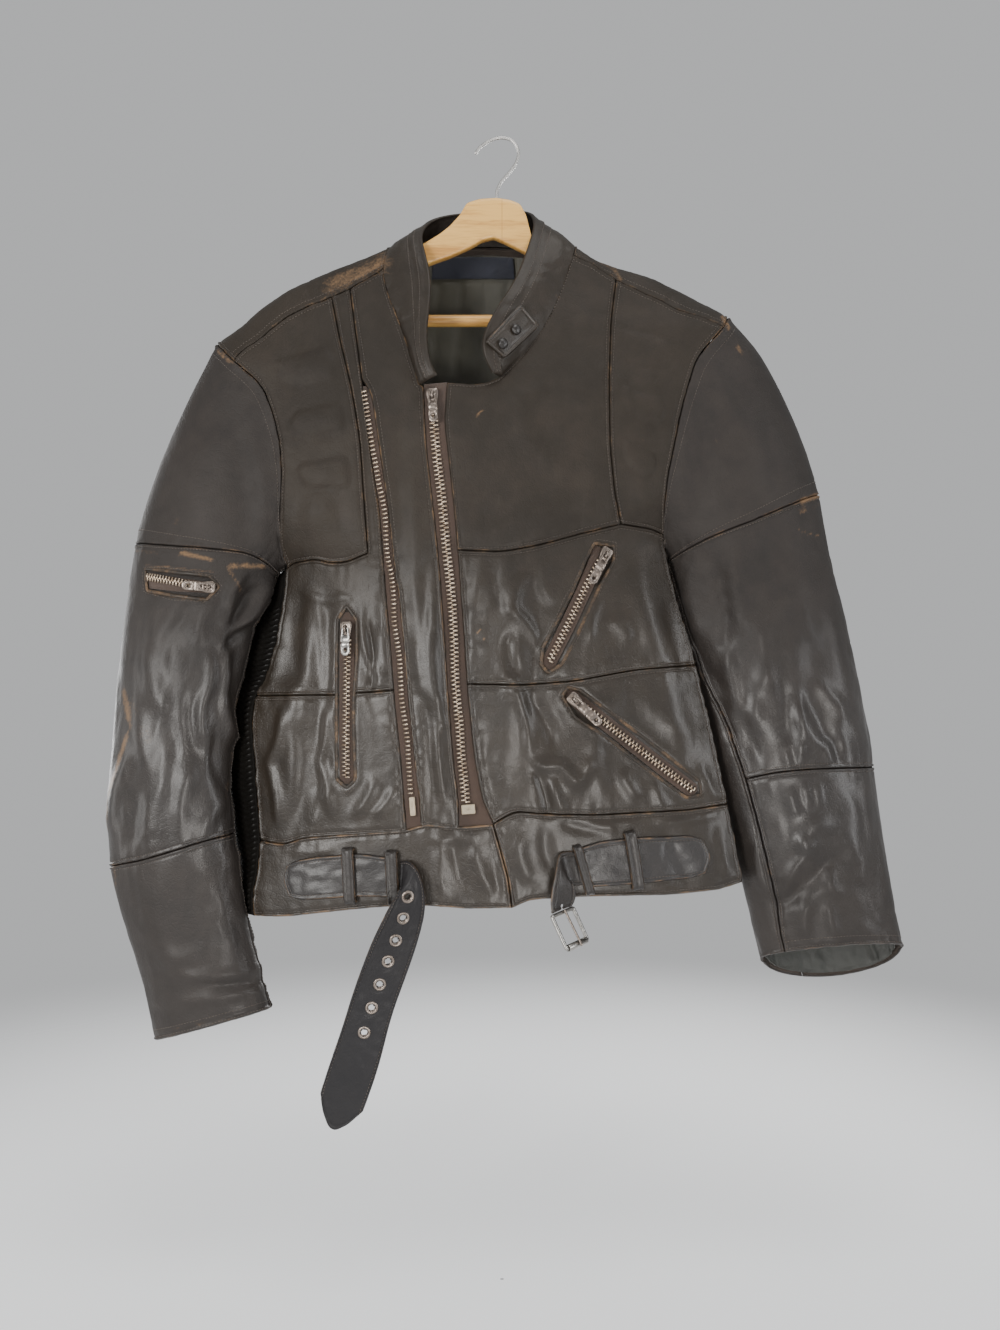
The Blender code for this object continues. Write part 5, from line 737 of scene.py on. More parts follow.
def noise(x, y, seed):
    """Smooth random heights from -1 to 1: random values at whole numbers, blended by a quintic."""
    lattice = np.random.default_rng(seed).uniform(-1, 1, (NOISE_CELLS, NOISE_CELLS))
    i, j = np.floor(x).astype(int), np.floor(y).astype(int)
    fx, fy = x - i, y - j
    fx, fy = fx**3 * (fx * (6 * fx - 15) + 10), fy**3 * (fy * (6 * fy - 15) + 10)
    i, j, k, l = [whole % NOISE_CELLS for whole in (i, j, i + 1, j + 1)]
    near = lattice[i, j] * (1 - fx) + lattice[k, j] * fx
    far = lattice[i, l] * (1 - fx) + lattice[k, l] * fx
    return near * (1 - fy) + far * fy


def rumple(x, y, seed):
    """Rounded hills between narrow valleys, as worn leather has: the size of a noise bent by two more."""
    x, y = x + 0.7 * noise(x * 0.6, y * 0.6, seed + 1), y + 0.7 * noise(x * 0.6 + 9, y * 0.6, seed + 2)
    wide, close = noise(x, y, seed), noise(x * 2.1, y * 2.1, seed + 3)
    return np.sqrt(wide**2 + 0.01) + 0.5 * np.sqrt(close**2 + 0.01) - 0.5


def box(over, down):
    """Top, bottom, left and right lines of a rectangle, from its flat marks across and down."""
    sides = (over, down[0]), (over, down[-1]), (over[0], down), (over[-1], down)
    return [np.stack(np.broadcast_arrays(x, y), -1) for x, y in sides]


class Sheet:
    """A piece of leather or cloth: grids drawn in flat coordinates and carried into space by place."""

    def __init__(self, place, pitch):
        self.place, self.pitch = place, pitch
        self.flat, self.faces, self.sides, self.ends, self.grids = [], [], [], [], []

    def lay(self, top, bottom, left, right, edges="tblr", over=None, down=None):
        """Adds the grid between four lines. edges names its real edges: top, bottom, left, right."""
        top, bottom = meet(top, left[0], right[0]), meet(bottom, left[-1], right[-1])
        if over is None:
            over = steps((self.long(top) + self.long(bottom)) / 2, self.pitch)
        if down is None:
            down = steps((self.long(left) + self.long(right)) / 2, self.pitch)
        borders = (top, over), (bottom, over), (left, down), (right, down)
        flat = coons(*[along_line(line, t) for line, t in borders])
        rows, columns = flat.shape[:2]
        points = self.place(flat.reshape(-1, 2)).reshape(rows, columns, 3)
        start = sum(len(f) for f in self.flat)
        grid = start + np.arange(rows * columns).reshape(rows, columns)
        sides = self.reach(points, 1, "l" in edges, "r" in edges)
        ends = self.reach(points, 0, "t" in edges, "b" in edges)
        self.flat.append(flat.reshape(-1, 2))
        self.sides.append(sides.reshape(-1))
        self.ends.append(ends.reshape(-1))
        self.grids.append(grid)
        quads = np.stack([grid[:-1, :-1], grid[:-1, 1:], grid[1:, 1:], grid[1:, :-1]], -1)
        self.faces.append(quads.reshape(-1, 4))
        return over, down

    def long(self, line):
        return lengths(self.place(line))[-1]

    @staticmethod
    def reach(points, axis, first, last):
        """Distance along the grid from each point to its real edges on one axis."""
        gaps = np.linalg.norm(np.diff(points, axis=axis), axis=2)
        start = np.zeros_like(np.take(gaps, [0], axis))
        run_on = np.concatenate([start, np.cumsum(gaps, axis)], axis)
        back = np.take(run_on, [-1], axis) - run_on
        far = np.full(run_on.shape, 1e3)
        return np.minimum(run_on if first else far, back if last else far)

    def settle(self, away):
        """Joins points that the grids share, places them and turns the faces to look towards away."""
        flat = np.concatenate(self.flat)
        keys = np.floor(flat * 50 + 0.137).astype(np.int64)
        _, first, index = np.unique(keys, axis=0, return_index=True, return_inverse=True)
        index = index.reshape(-1)
        sides, ends = np.full(len(first), 1e3), np.full(len(first), 1e3)
        np.minimum.at(sides, index, np.concatenate(self.sides))
        np.minimum.at(ends, index, np.concatenate(self.ends))
        self.flat, self.sides, self.ends = flat[first], sides, ends
        self.gap = np.minimum(sides, ends)
        self.faces = index[np.concatenate(self.faces)]
        self.grids = [index[g] for g in self.grids]
        self.points = self.place(self.flat)
        self.base = self.points.copy()
        away = np.broadcast_to(away(self.points) if callable(away) else away, self.points.shape)
        self.normals = quad_normals(self.points, self.faces)
        if np.einsum("ij,ij->", self.normals, away) < 0:
            self.faces = self.faces[:, ::-1]
            self.normals = -self.normals

    def lift(self, height):
        """Moves the points out along the first normals and finds the normals that are then seen."""
        self.points = self.base + self.normals * np.asarray(height).reshape(-1, 1)
        self.shown = quad_normals(self.points, self.faces)

    def rows(self, sides="tblr", grid=0, inset=STITCH_ROW):
        """Points and normals of the grid lines that run beside the named sides, for their stitches."""
        g = self.grids[grid]
        lines = {"t": g[inset], "b": g[-1 - inset], "l": g[:, inset], "r": g[:, -1 - inset]}
        return [(self.points[lines[side]], self.shown[lines[side]]) for side in sides]

    def cut_size(self):
        """Width, length and area of the cut as laid flat, in metres, measured over the smooth form."""
        wide = max(np.linalg.norm(np.diff(self.base[g], axis=1), axis=2).sum(1).max() for g in self.grids)
        long = max(np.linalg.norm(np.diff(self.base[g], axis=0), axis=2).sum(0).max() for g in self.grids)
        return wide * MM, long * MM, area_of(self.base, self.faces) * MM * MM


def face_ways(points, faces):
    """The cross product of the diagonals of each face: along its normal and twice its area long."""
    corners = points[faces]
    return np.cross(corners[:, 2] - corners[:, 0], corners[:, 3] - corners[:, 1])


def area_of(points, faces):
    return np.linalg.norm(face_ways(points, faces), axis=1).sum() / 2


def oriented(points, faces, away):
    """Faces turned so that they look towards away, a function of the faces' centres."""
    way = np.einsum("ij,ij->", face_ways(points, faces), away(points[faces].mean(1)))
    return faces if way > 0 else faces[:, ::-1]


def quad_normals(points, faces):
    """Normals at points: the sum of the ways of the faces round each."""
    ways, total = face_ways(points, faces), np.zeros_like(points)
    for k in range(4):
        np.add.at(total, faces[:, k], ways)
    return unit(total)


def inside_depth(points, ring):
    """How far each point lies inside a closed outline, in the sheet; below 0 outside it."""
    ring = np.asarray(ring, float)
    a, b = ring, np.roll(ring, -1, axis=0)
    ab = b - a
    t = np.clip(((points[:, None] - a) * ab).sum(2) / np.maximum((ab**2).sum(1), 1e-9), 0, 1)
    gap = np.linalg.norm(points[:, None] - a - ab * t[..., None], axis=2).min(1)
    crosses = (a[None, :, 1] > points[:, None, 1]) != (b[None, :, 1] > points[:, None, 1])
    rise = np.where(np.abs(ab[:, 1]) < 1e-9, 1e-9, ab[:, 1])
    left = points[:, None, 0] < a[:, 0] + (points[:, None, 1] - a[:, 1]) * ab[:, 0] / rise
    inside = (crosses & left).sum(1) % 2 == 1
    return np.where(inside, gap, -gap)


def soft_ring(ring, soft=3.0, step=2.0):
    """A closed outline with rounded corners."""
    ring = np.asarray(ring, float)
    dense = resampled(np.vstack([ring, ring[:1]]), step)[:-1]
    reach = int(3 * soft / step)
    return convolved(np.vstack([dense[-reach:], dense, dense[:reach]]), bell(reach, soft / step))


class Sleeve:
    """A sleeve as a tube: turn 0 is its inner edge, 0.25 its front, 0.5 its outer edge and 0.75 its back.

    Across each station the surface is an ellipse between the outer and inner edges. At the armhole it is
    drawn on to the body's ring, and that pull fades within a few stations. Flat points are turns times
    SLEEVE_ROUND and stations times STATION_STEP.
    """

    def __init__(self, stations, bow, cuff_bows, ring):
        table = np.array([[*o, *i, y, d] for o, i, y, d in stations], float)
        self.last = len(stations) - 1
        self.at = np.linspace(0, self.last, self.last * 12 + 1)
        self.table = [blurred(np.interp(self.at, np.arange(self.last + 1), row), 6) for row in table.T]
        self.bow_at = np.linspace(0, 0.5, 101)
        self.bow = blurred(np.interp(self.bow_at, *np.array(bow, float).T), 3)
        self.cuff_bows = cuff_bows
        turns = np.linspace(0, 1, 1440, endpoint=False)
        base = self.bare(turns, np.zeros(len(turns)))
        coarse = np.linspace(0, len(ring) - 1, 36).astype(int)
        near = turns[np.argmin(np.linalg.norm(base[None] - ring[coarse][:, None], axis=2), axis=1)]
        near = np.unwrap(near * 2 * np.pi) / (2 * np.pi)
        near = np.maximum.accumulate(near - round(near[0]))
        near = near[0] + (near - near[0]) / (near[-1] - near[0])
        at = blurred(np.interp(np.arange(len(ring)), coarse, near), 8)
        missed = ring - self.bare(at, np.zeros(len(at)))
        missed = blurred_line(missed, 2)
        self.ring_at = np.concatenate([at - 1, at, at + 1])
        self.missed = np.tile(missed, (3, 1))

    def view(self, turn, s):
        """(u, v, depth) at a turn and a station."""
        ou, ov, iu, iv, axis, half = [np.interp(s, self.at, row) for row in self.table]
        c, n = np.cos(turn * 2 * np.pi), np.sin(turn * 2 * np.pi)
        u = (ou + iu) / 2 + (iu - ou) / 2 * c
        v = (ov + iv) / 2 + (iv - ov) / 2 * c
        fade = np.clip(1 - s / RING_FADE, 0, 1) ** 1.5
        folded = np.minimum(turn % 1, 1 - turn % 1)
        u = u + fade * np.interp(folded, self.bow_at, self.bow)
        cuff = smooth_step(s, self.last - 2.5, self.last)
        v = v + cuff * np.where(n > 0, self.cuff_bows[0] * n, -self.cuff_bows[1] * n)
        return u, v, axis - half * n

    def bare(self, turn, s):
        return world(*self.view(turn, s))

    def place(self, flat):
        flat = np.asarray(flat, float)
        turn, s = flat[:, 0] / SLEEVE_ROUND, flat[:, 1] / STATION_STEP
        off = np.stack([np.interp(turn, self.ring_at, self.missed[:, k]) for k in range(3)], -1)
        return self.bare(turn, s) + off * np.clip(1 - s / RING_BLEND, 0, 1)[:, None] ** 2

    def outward(self, points):
        s = np.linspace(0, self.last, 60)
        spine = (self.bare(np.zeros(60), s) + self.bare(np.full(60, 0.5), s)) / 2
        near = np.argmin(np.linalg.norm(points[:, None] - spine[None], axis=2), axis=1)
        return points - spine[near]

    def locate(self, points):
        """Flat points for sheet points on the sleeve's front: nearest of a fine grid, then Newton steps."""
        turns, stations = np.meshgrid(np.linspace(0.01, 0.49, 60), np.linspace(0, self.last, 160))
        u, v, _ = self.view(turns, stations)
        found = []
        for point in np.asarray(points, float):
            i = np.argmin((u - point[0]) ** 2 + (v - point[1]) ** 2)
            at = np.array([turns.flat[i], stations.flat[i]])
            for _ in range(10):
                here = np.array(self.view(at[0], at[1])[:2], float)
                du = (np.array(self.view(at[0] + 1e-4, at[1])[:2], float) - here) / 1e-4
                dv = (np.array(self.view(at[0], at[1] + 1e-4)[:2], float) - here) / 1e-4
                slopes = np.stack([du, dv], -1)
                if abs(np.linalg.det(slopes)) < 1e-3:
                    break
                at = at + np.clip(np.linalg.solve(slopes, point - here), -0.03, 0.03)
                at[0] = np.clip(at[0], 0.004, 0.496)
            found.append(at * [SLEEVE_ROUND, STATION_STEP])
        return np.array(found)


def between(front, ridge, back, a, b):
    """A saddle over the shoulder: at share a of the seams, a bent line from front to back over the ridge."""
    f, r, k = along_line(front, a), along_line(ridge, a), along_line(back, a)
    peak = 2 * r - (f + k) / 2
    b = np.asarray(b, float)[:, None]
    return f * (1 - b) ** 2 + 2 * peak * b * (1 - b) + k * b**2


# The soft seam lines of the body, on the sheet.
L = {name: soft_line(points, soft) for name, points, soft in (
    ("shoulder_r", SHOULDER_SEAM_R, 6), ("shoulder_l", SHOULDER_SEAM_L, 6), ("armhole_r", ARMHOLE_R, 6),
    ("armhole_l", ARMHOLE_L, 6), ("side_r", SIDE_R, 7), ("side_l", SIDE_L, 7), ("band_r", BAND_SIDE_R, 5),
    ("band_l", BAND_SIDE_L, 5), ("hem_r", HEM_R, 6), ("hem_l", HEM_L, 6), ("neck_r", NECK_R, 6),
    ("neck_l", NECK_L, 7), ("flap_top", FLAP_TOP[1:], 3), ("seam_a", SEAM_A, 7), ("seam_b", SEAM_B, 7),
    ("open_left", OPEN_ZIP_LEFT, 8), ("open_right", OPEN_ZIP_RIGHT, 8), ("main_left", MAIN_ZIP_LEFT, 7),
    ("main_right", MAIN_ZIP_RIGHT, 7), ("flap_foot", FLAP_FOOT, 4), ("chest_l", CHEST_SEAM_L, 8),
    ("mid_l", MID_SEAM_L, 8), ("panel_l", PANEL_SEAM_L, 8), ("panel_foot_l", PANEL_FOOT_L, 3),
    ("top_r", BAND_TOP_R, 6), ("top_l", BAND_TOP_L, 6), ("hole_back_r", ARMHOLE_BACK_R, 7),
    ("hole_back_l", ARMHOLE_BACK_L, 7), ("should_back_r", SHOULDER_BACK_R, 8),
    ("should_back_l", SHOULDER_BACK_L, 8), ("neck_back", NECK_BACK, 5), ("side_back_r", SIDE_BACK_R, 8),
    ("side_back_l", SIDE_BACK_L, 8), ("band_back_r", BAND_BACK_R, 6), ("band_back_l", BAND_BACK_L, 6),
    ("top_back", BAND_TOP_BACK, 8), ("hem_back", HEM_BACK, 8),
    ("foot_r", [(287.3, 569), (292, 563), (317, 559), (330, 563), (347, 562), (368, 553)], 4),
    ("chest_r", CHEST_SEAM_R + [(354, 693), (372, 692), (395, 690)], 6),
)}
YOKE_LINES = {
    side: (on_front(front), world(*soft_line(ridge, 7).T, 0.0), on_back(L[f"should_back_{side[0]}"]))
    for side, front, ridge in (("right", L["shoulder_r"], RIDGE_R), ("left", L["shoulder_l"][::-1], RIDGE_L))
}
SIDE_LINES = {
    side: (on_front(joined(L[f"side_{side[0]}"], L[f"band_{side[0]}"])),
           on_back(joined(L[f"side_back_{side[0]}"], L[f"band_back_{side[0]}"])), tucked)
    for side, tucked in (("right", -9.0), ("left", -3.0))
}


# How much further the right side comes out towards the sleeve, down the sheet.
SIDE_FULL = ((568, 578, 600, 613, 633, 655, 678, 700, 735, 768, 801, 824, 846, 862, 900),
             (0, 7.5, 4.5, 7, 10.5, 11.5, 9.5, 5, 2, 6, 6, 5.5, 4, 1.5, 0))


def side_place(side):
    """The body's side between its front and back edges: straight across, drawn in at the middle."""
    front, back, tucked = SIDE_LINES[side]
    high = lengths(front)[-1]

    def place(flat):
        a, b = flat[:, 0] / SIDE_WIDE, flat[:, 1] / high
        f, k = along_line(front, b), along_line(back, b)
        fuller = np.interp(sheet_of(f)[:, 1], *SIDE_FULL) if side == "right" else 0.0
        hollow = (tucked * smooth_step(b, 0.0, 0.15) - fuller) * 4 * a * (1 - a)
        return f + (k - f) * a[:, None] + hollow[:, None] * TO_LEFT

    return place, high


def make_sleeve(side):
    """The sleeve on its ring: up the front armhole, over the yoke's end, down the back, across the side."""
    turn = np.linspace(0, 1, 30)
    over = between(*YOKE_LINES[side], np.zeros(30), turn)
    place, _ = side_place(side)
    under = place(np.stack([SIDE_WIDE * (1 - turn[::2]), np.zeros(15)], -1))
    mark = side[0]
    ring = joined(on_front(L[f"armhole_{mark}"][::-1]), over, on_back(L[f"hole_back_{mark}"]), under)
    ring = resampled(ring, 2.0)
    if side == "right":
        return Sleeve(SLEEVE_R, RING_BOW_R, (2.0, 2.0), ring)
    return Sleeve(SLEEVE_L, RING_BOW_L, (CUFF_BOW_FRONT_L, CUFF_BOW_BACK_L), ring)


SLEEVES = {"right": make_sleeve("right"), "left": make_sleeve("left")}


class Nodes:
    """Writes shader nodes: add makes one, joins the sockets it is given and sets the plain values."""

    def __init__(self, tree):
        self.tree = tree

    def add(self, kind, inputs=None, **settings):
        node = self.tree.nodes.new(kind)
        for key, value in settings.items():
            setattr(node, key, value)
        for key, value in (inputs or {}).items():
            socket = node.inputs[key]
            if isinstance(value, bpy.types.NodeSocket):
                self.tree.links.new(value, socket)
            else:
                socket.default_value = value
        return node

    def math(self, operation, a, b=0.0, c=0.0, clamp=False):
        node = self.add("ShaderNodeMath", {0: a, 1: b, 2: c}, operation=operation, use_clamp=clamp)
        return node.outputs[0]

    def noise(self, vector, scale, detail=3.0, rough=0.55, distort=0.0):
        inputs = {"Vector": vector, "Scale": scale, "Detail": detail, "Roughness": rough}
        return self.add("ShaderNodeTexNoise", {**inputs, "Distortion": distort}).outputs["Fac"]

    def ramp(self, value, low, high, start=0.0, end=1.0):
        inputs = {"Value": value, "From Min": low, "From Max": high, "To Min": start, "To Max": end}
        return self.add("ShaderNodeMapRange", inputs, interpolation_type="SMOOTHSTEP").outputs[0]

    def mix(self, share, a, b):
        node = self.add("ShaderNodeMix", data_type="RGBA")
        for index, value in ((0, share), (6, a), (7, b)):
            if isinstance(value, bpy.types.NodeSocket):
                self.tree.links.new(value, node.inputs[index])
            else:
                node.inputs[index].default_value = value
        return node.outputs[2]

    def group(self, name, **inputs):
        return self.add("ShaderNodeGroup", inputs, node_tree=node_group(name)).outputs[0]

    def attribute(self, name):
        return self.add("ShaderNodeAttribute", attribute_name=name).outputs["Fac"]

    def shade(self, shader, height, distance, strength, links, values):
        """Bumps a shader by a height, joins sockets to its inputs and sets its plain values."""
        bump = self.add("ShaderNodeBump", {"Height": height, "Distance": distance, "Strength": strength})
        for key, socket in {"Normal": bump.outputs[0], **links}.items():
            self.tree.links.new(socket, shader.inputs[key])
        for key, value in values.items():
            shader.inputs[key].default_value = value


def node_group(name):
    """A shader node group from the table of them, made on first use: its writer adds the nodes."""
    if name in bpy.data.node_groups:
        return bpy.data.node_groups[name]
    inputs, output, write = NODE_GROUPS[name]
    tree = bpy.data.node_groups.new(name, "ShaderNodeTree")
    for key, kind in inputs:
        tree.interface.new_socket(key, in_out="INPUT", socket_type=kind)
    tree.interface.new_socket(output, in_out="OUTPUT", socket_type="NodeSocketFloat")
    nodes = Nodes(tree)
    source = nodes.add("NodeGroupInput")
    result = write(nodes, source.outputs)
    nodes.add("NodeGroupOutput", {output: result})
    return tree


def write_grain(nodes, given):
    """Pebbled grain: rounded cells about a millimetre wide, over fine pores and shallow creases."""
    bent = nodes.noise(given["Vector"], 500.0, 2.0)
    inputs = {"Vector": given["Vector"], "Scale": 780.0, "Smoothness": 0.6}
    cells = nodes.add("ShaderNodeTexVoronoi", inputs, feature="SMOOTH_F1").outputs["Distance"]
    inputs = {"Vector": given["Vector"], "Scale": 170.0, "Randomness": 1.0}
    creases = nodes.add("ShaderNodeTexVoronoi", inputs, feature="DISTANCE_TO_EDGE").outputs["Distance"]
    creases = nodes.ramp(creases, 0.0, 0.16)
    soft = nodes.noise(given["Vector"], 95.0, 4.0, 0.6, 0.4)
    cells = nodes.math("MULTIPLY", cells, -0.5)
    height = nodes.math("MULTIPLY_ADD", bent, 0.25, cells)
    height = nodes.math("MULTIPLY_ADD", creases, 0.28, height)
    return nodes.math("MULTIPLY_ADD", soft, 1.5, height)


def write_wear(nodes, given):
    """Where the dye is rubbed off: a share from the mesh broken up by fine and coarse noise."""
    fine = nodes.noise(given["Vector"], 420.0, 5.0, 0.7)
    coarse = nodes.noise(given["Vector"], 70.0, 4.0, 0.6, 0.5)
    total = nodes.math("MULTIPLY_ADD", fine, 0.55, nodes.math("MULTIPLY", coarse, 0.45))
    total = nodes.math("ADD", total, nodes.math("MULTIPLY", given["Worn"], 0.52))
    return nodes.math("MULTIPLY", nodes.ramp(total, 0.66, 1.02), 0.85)


def write_drift(nodes, given):
    """Slow changes of shade over the hide, with small darker spots."""
    wide = nodes.noise(given["Vector"], 9.0, 4.0, 0.6, 0.6)
    close = nodes.noise(given["Vector"], 60.0, 3.0, 0.6)
    return nodes.ramp(nodes.math("MULTIPLY_ADD", close, 0.4, nodes.math("MULTIPLY", wide, 0.6)), 0.3, 0.7)


def write_gloss(nodes, given):
    """Roughness: polished where handled, duller where dry, broken up by smears."""
    smear = nodes.noise(given["Vector"], 22.0, 3.0, 0.5, 0.6)
    value = nodes.math("MULTIPLY_ADD", given["Shine"], -0.26, 0.66)
    value = nodes.math("MULTIPLY_ADD", smear, 0.20, value)
    value = nodes.math("SUBTRACT", value, 0.10)
    return nodes.math("MULTIPLY_ADD", given["Mask"], 0.16, value)


def write_weave(nodes, given):
    """A twill: two crossed waves, one thread over and one under."""
    inputs = {"Vector": given["Vector"], "Scale": given["Scale"], "Distortion": 0.6}
    waves = [nodes.add("ShaderNodeTexWave", inputs, bands_direction=way) for way in ("DIAGONAL", "Z")]
    return nodes.math("MULTIPLY", *[wave.outputs["Fac"] for wave in waves])


# Node groups: inputs, output and what writes each.
NODE_GROUPS = {
    "Leather Grain": ([("Vector", VECTOR)], "Height", write_grain),
    "Rubbed Bare": ([("Vector", VECTOR), ("Worn", FLOAT)], "Mask", write_wear),
    "Hide Drift": ([("Vector", VECTOR)], "Shade", write_drift),
    "Handled Gloss": ([("Vector", VECTOR), ("Shine", FLOAT), ("Mask", FLOAT)], "Roughness", write_gloss),
    "Twill Weave": ([("Vector", VECTOR), ("Scale", FLOAT)], "Height", write_weave),
}


def new_material(name):
    made = bpy.data.materials.new(name)
    made.use_nodes = True
    nodes = Nodes(made.node_tree)
    shader = next(n for n in made.node_tree.nodes if n.type == "BSDF_PRINCIPLED")
    where = nodes.add("ShaderNodeTexCoord").outputs["Object"]
    return made, nodes, shader, where


def darker(colour, share):
    return tuple(c * share for c in colour[:3]) + (1.0,)


def leather(name, dark, light, bare, matte=0.0, mirror=0.26):
    """Dyed hide, worn through to tan where the mesh says so, and mixed towards a grey-blue where the mesh
    asks: partly a cooler tone of the hide, partly a painted grey sheen.
    """
    made, nodes, shader, where = new_material(name)
    worn, shine, cool = [nodes.attribute(key) for key in ("worn", "shine", "cool")]
    shade = nodes.group("Hide Drift", Vector=where)
    mask = nodes.group("Rubbed Bare", Vector=where, Worn=worn)
    gloss = nodes.group("Handled Gloss", Vector=where, Shine=shine, Mask=mask)
    grain = nodes.group("Leather Grain", Vector=where)
    hide = nodes.mix(cool, nodes.mix(shade, dark, light), COOL_AND_SHEEN_HIDE)
    links = {"Base Color": nodes.mix(mask, hide, bare),
             "Roughness": nodes.math("ADD", gloss, matte, clamp=True),
             "Coat Weight": nodes.math("MULTIPLY", nodes.math("MULTIPLY", shine, shine), 0.40)}
    nodes.shade(shader, grain, 0.00042, 0.85, links, {"Specular IOR Level": mirror, "Coat Roughness": 0.29})
    return made


def cloth(name, colour, scale, rough, sheen=0.2, depth=0.0003):
    """Woven cloth: a twill in the bump and a little drift in the colour."""
    made, nodes, shader, where = new_material(name)
    weave = nodes.group("Twill Weave", Vector=where, Scale=scale)
    shade = nodes.group("Hide Drift", Vector=where)
    links = {"Base Color": nodes.mix(shade, darker(colour, 0.6), colour)}
    nodes.shade(shader, weave, depth, 0.7, links, {"Roughness": rough, "Sheen Weight": sheen})
    return made


def metal(name, colour, tarnish, rough, spread=0.25):
    """Plated metal: bright where rubbed, dull and dark in patches."""
    made, nodes, shader, where = new_material(name)
    patch = nodes.ramp(nodes.noise(where, 150.0, 3.0, 0.6), 0.3, 0.75)
    links = {"Base Color": nodes.mix(patch, colour, tarnish),
             "Roughness": nodes.math("MULTIPLY_ADD", patch, spread, rough)}
    scratch = nodes.noise(where, 1400.0, 3.0, 0.6)
    nodes.shade(shader, scratch, 0.00001, 0.2, links, {"Metallic": 1.0})
    return made


def wood(name, pale, dark):
    """Lacquered beech: long grain along the shoulder slope, in stretched noise and thin pores."""
    made, nodes, shader, where = new_material(name)
    parts = nodes.add("ShaderNodeSeparateXYZ", {0: where}).outputs
    side = nodes.math("ABSOLUTE", parts[0])
    vector = nodes.add("ShaderNodeCombineXYZ", {0: side, 1: parts[1], 2: parts[2]}).outputs[0]
    turned = nodes.add("ShaderNodeMapping", {"Vector": vector, "Rotation": (0.0, -0.45, 0.0),
                                             "Scale": (5.0, 40.0, 60.0)}).outputs[0]
    wide = nodes.noise(turned, 1.6, 4.0, 0.6, 0.4)
    pores = nodes.noise(turned, 9.0, 3.0, 0.7)
    grain = nodes.math("MULTIPLY_ADD", pores, 0.35, nodes.math("MULTIPLY", wide, 0.65))
    line = nodes.ramp(side, 0.0, 0.0005)
    colour = nodes.mix(nodes.ramp(grain, 0.40, 0.66), pale, dark)
    nodes.shade(shader, grain, 0.0002, 0.4, {"Base Color": nodes.mix(line, dark, colour)},
                {"Roughness": 0.42, "Coat Weight": 0.25, "Coat Roughness": 0.2})
    return made


def floor_material(name, colour):
    """A plain floor that fades out with distance, so that it has no edge."""
    made, nodes, shader, where = new_material(name)
    far = nodes.add("ShaderNodeVectorMath", {0: where}, operation="LENGTH").outputs["Value"]
    made.node_tree.links.new(nodes.ramp(far, 0.55, 1.5, 1.0, 0.0), shader.inputs["Alpha"])
    shader.inputs["Base Color"].default_value = colour
    shader.inputs["Roughness"].default_value = 0.9
    return made


def material(name):
    """The named material of the jacket, made on first use from the colours in the sidebar."""
    if name in bpy.data.materials:
        return bpy.data.materials[name]
    tint = bpy.context.scene.jacket_colours
    body, sleeve, bare = tuple(tint.body), tuple(tint.sleeve), tuple(tint.bare)
    deep = darker(body, 0.62)
    makers = {
        "Body Leather": (leather, deep, body, bare),
        "Sleeve Leather": (leather, darker(sleeve, 0.64), sleeve, bare),
        # The gusset's hide is painted near black, with little reflection, as painted shade in its hollow
        # under the arm.
        "Gusset Leather": (leather, (0.003, 0.0025, 0.002, 1), (0.006, 0.005, 0.004, 1), bare, 0.1, 0.08),
        "Edge Leather": (leather, deep, body, bare, 0.05),
        "Belt Leather": (leather, (0.009, 0.0072, 0.0064, 1), (0.016, 0.0126, 0.0108, 1), bare, 0.04, 0.16),
        "Suede": (cloth, (0.045, 0.032, 0.024, 1), 900.0, 0.95, 0.1),
        "Lining Satin": (cloth, tuple(tint.lining), 1500.0, 0.48, 0.3, 0.0001),
        # A darker copy of the lining satin: painted shade inside the cuff.
        "Cuff Satin": (cloth, (0.027, 0.028, 0.023, 1), 1500.0, 0.42, 0.1, 0.0001),
        "Label Weave": (cloth, tuple(tint.label), 1800.0, 0.8, 0.3),
        "Zip Tape": (cloth, (0.064, 0.036, 0.023, 1), 1300.0, 0.85, 0.3),
        "Thread": (cloth, (0.075, 0.052, 0.036, 1), 2500.0, 0.7, 0.2),
        "Bronze Teeth": (metal, (0.56, 0.46, 0.36, 1), (0.26, 0.19, 0.135, 1), 0.28),
        "Antique Metal": (metal, (0.25, 0.212, 0.185, 1), (0.16, 0.13, 0.11, 1), 0.32, 0.12),
        "Bright Metal": (metal, (0.40, 0.39, 0.37, 1), (0.30, 0.285, 0.265, 1), 0.28, 0.08),
        "Snap Cap": (leather, (0.012, 0.010, 0.009, 1), (0.020, 0.017, 0.015, 1), bare, -0.36, 0.5),
        "Pale Resin": (cloth, (0.46, 0.38, 0.27, 1), 1500.0, 0.4, 0.0, 0.00005),
        "Hook Wire": (metal, (0.55, 0.54, 0.52, 1), (0.42, 0.41, 0.40, 1), 0.42, 0.08),
        "Hanger Wood": (wood, tuple(tint.wood), (0.44, 0.20, 0.042, 1.0)),
        "Pale Floor": (floor_material, tuple(tint.floor)),
    }
    make, *values = makers[name]
    return make(name, *values)


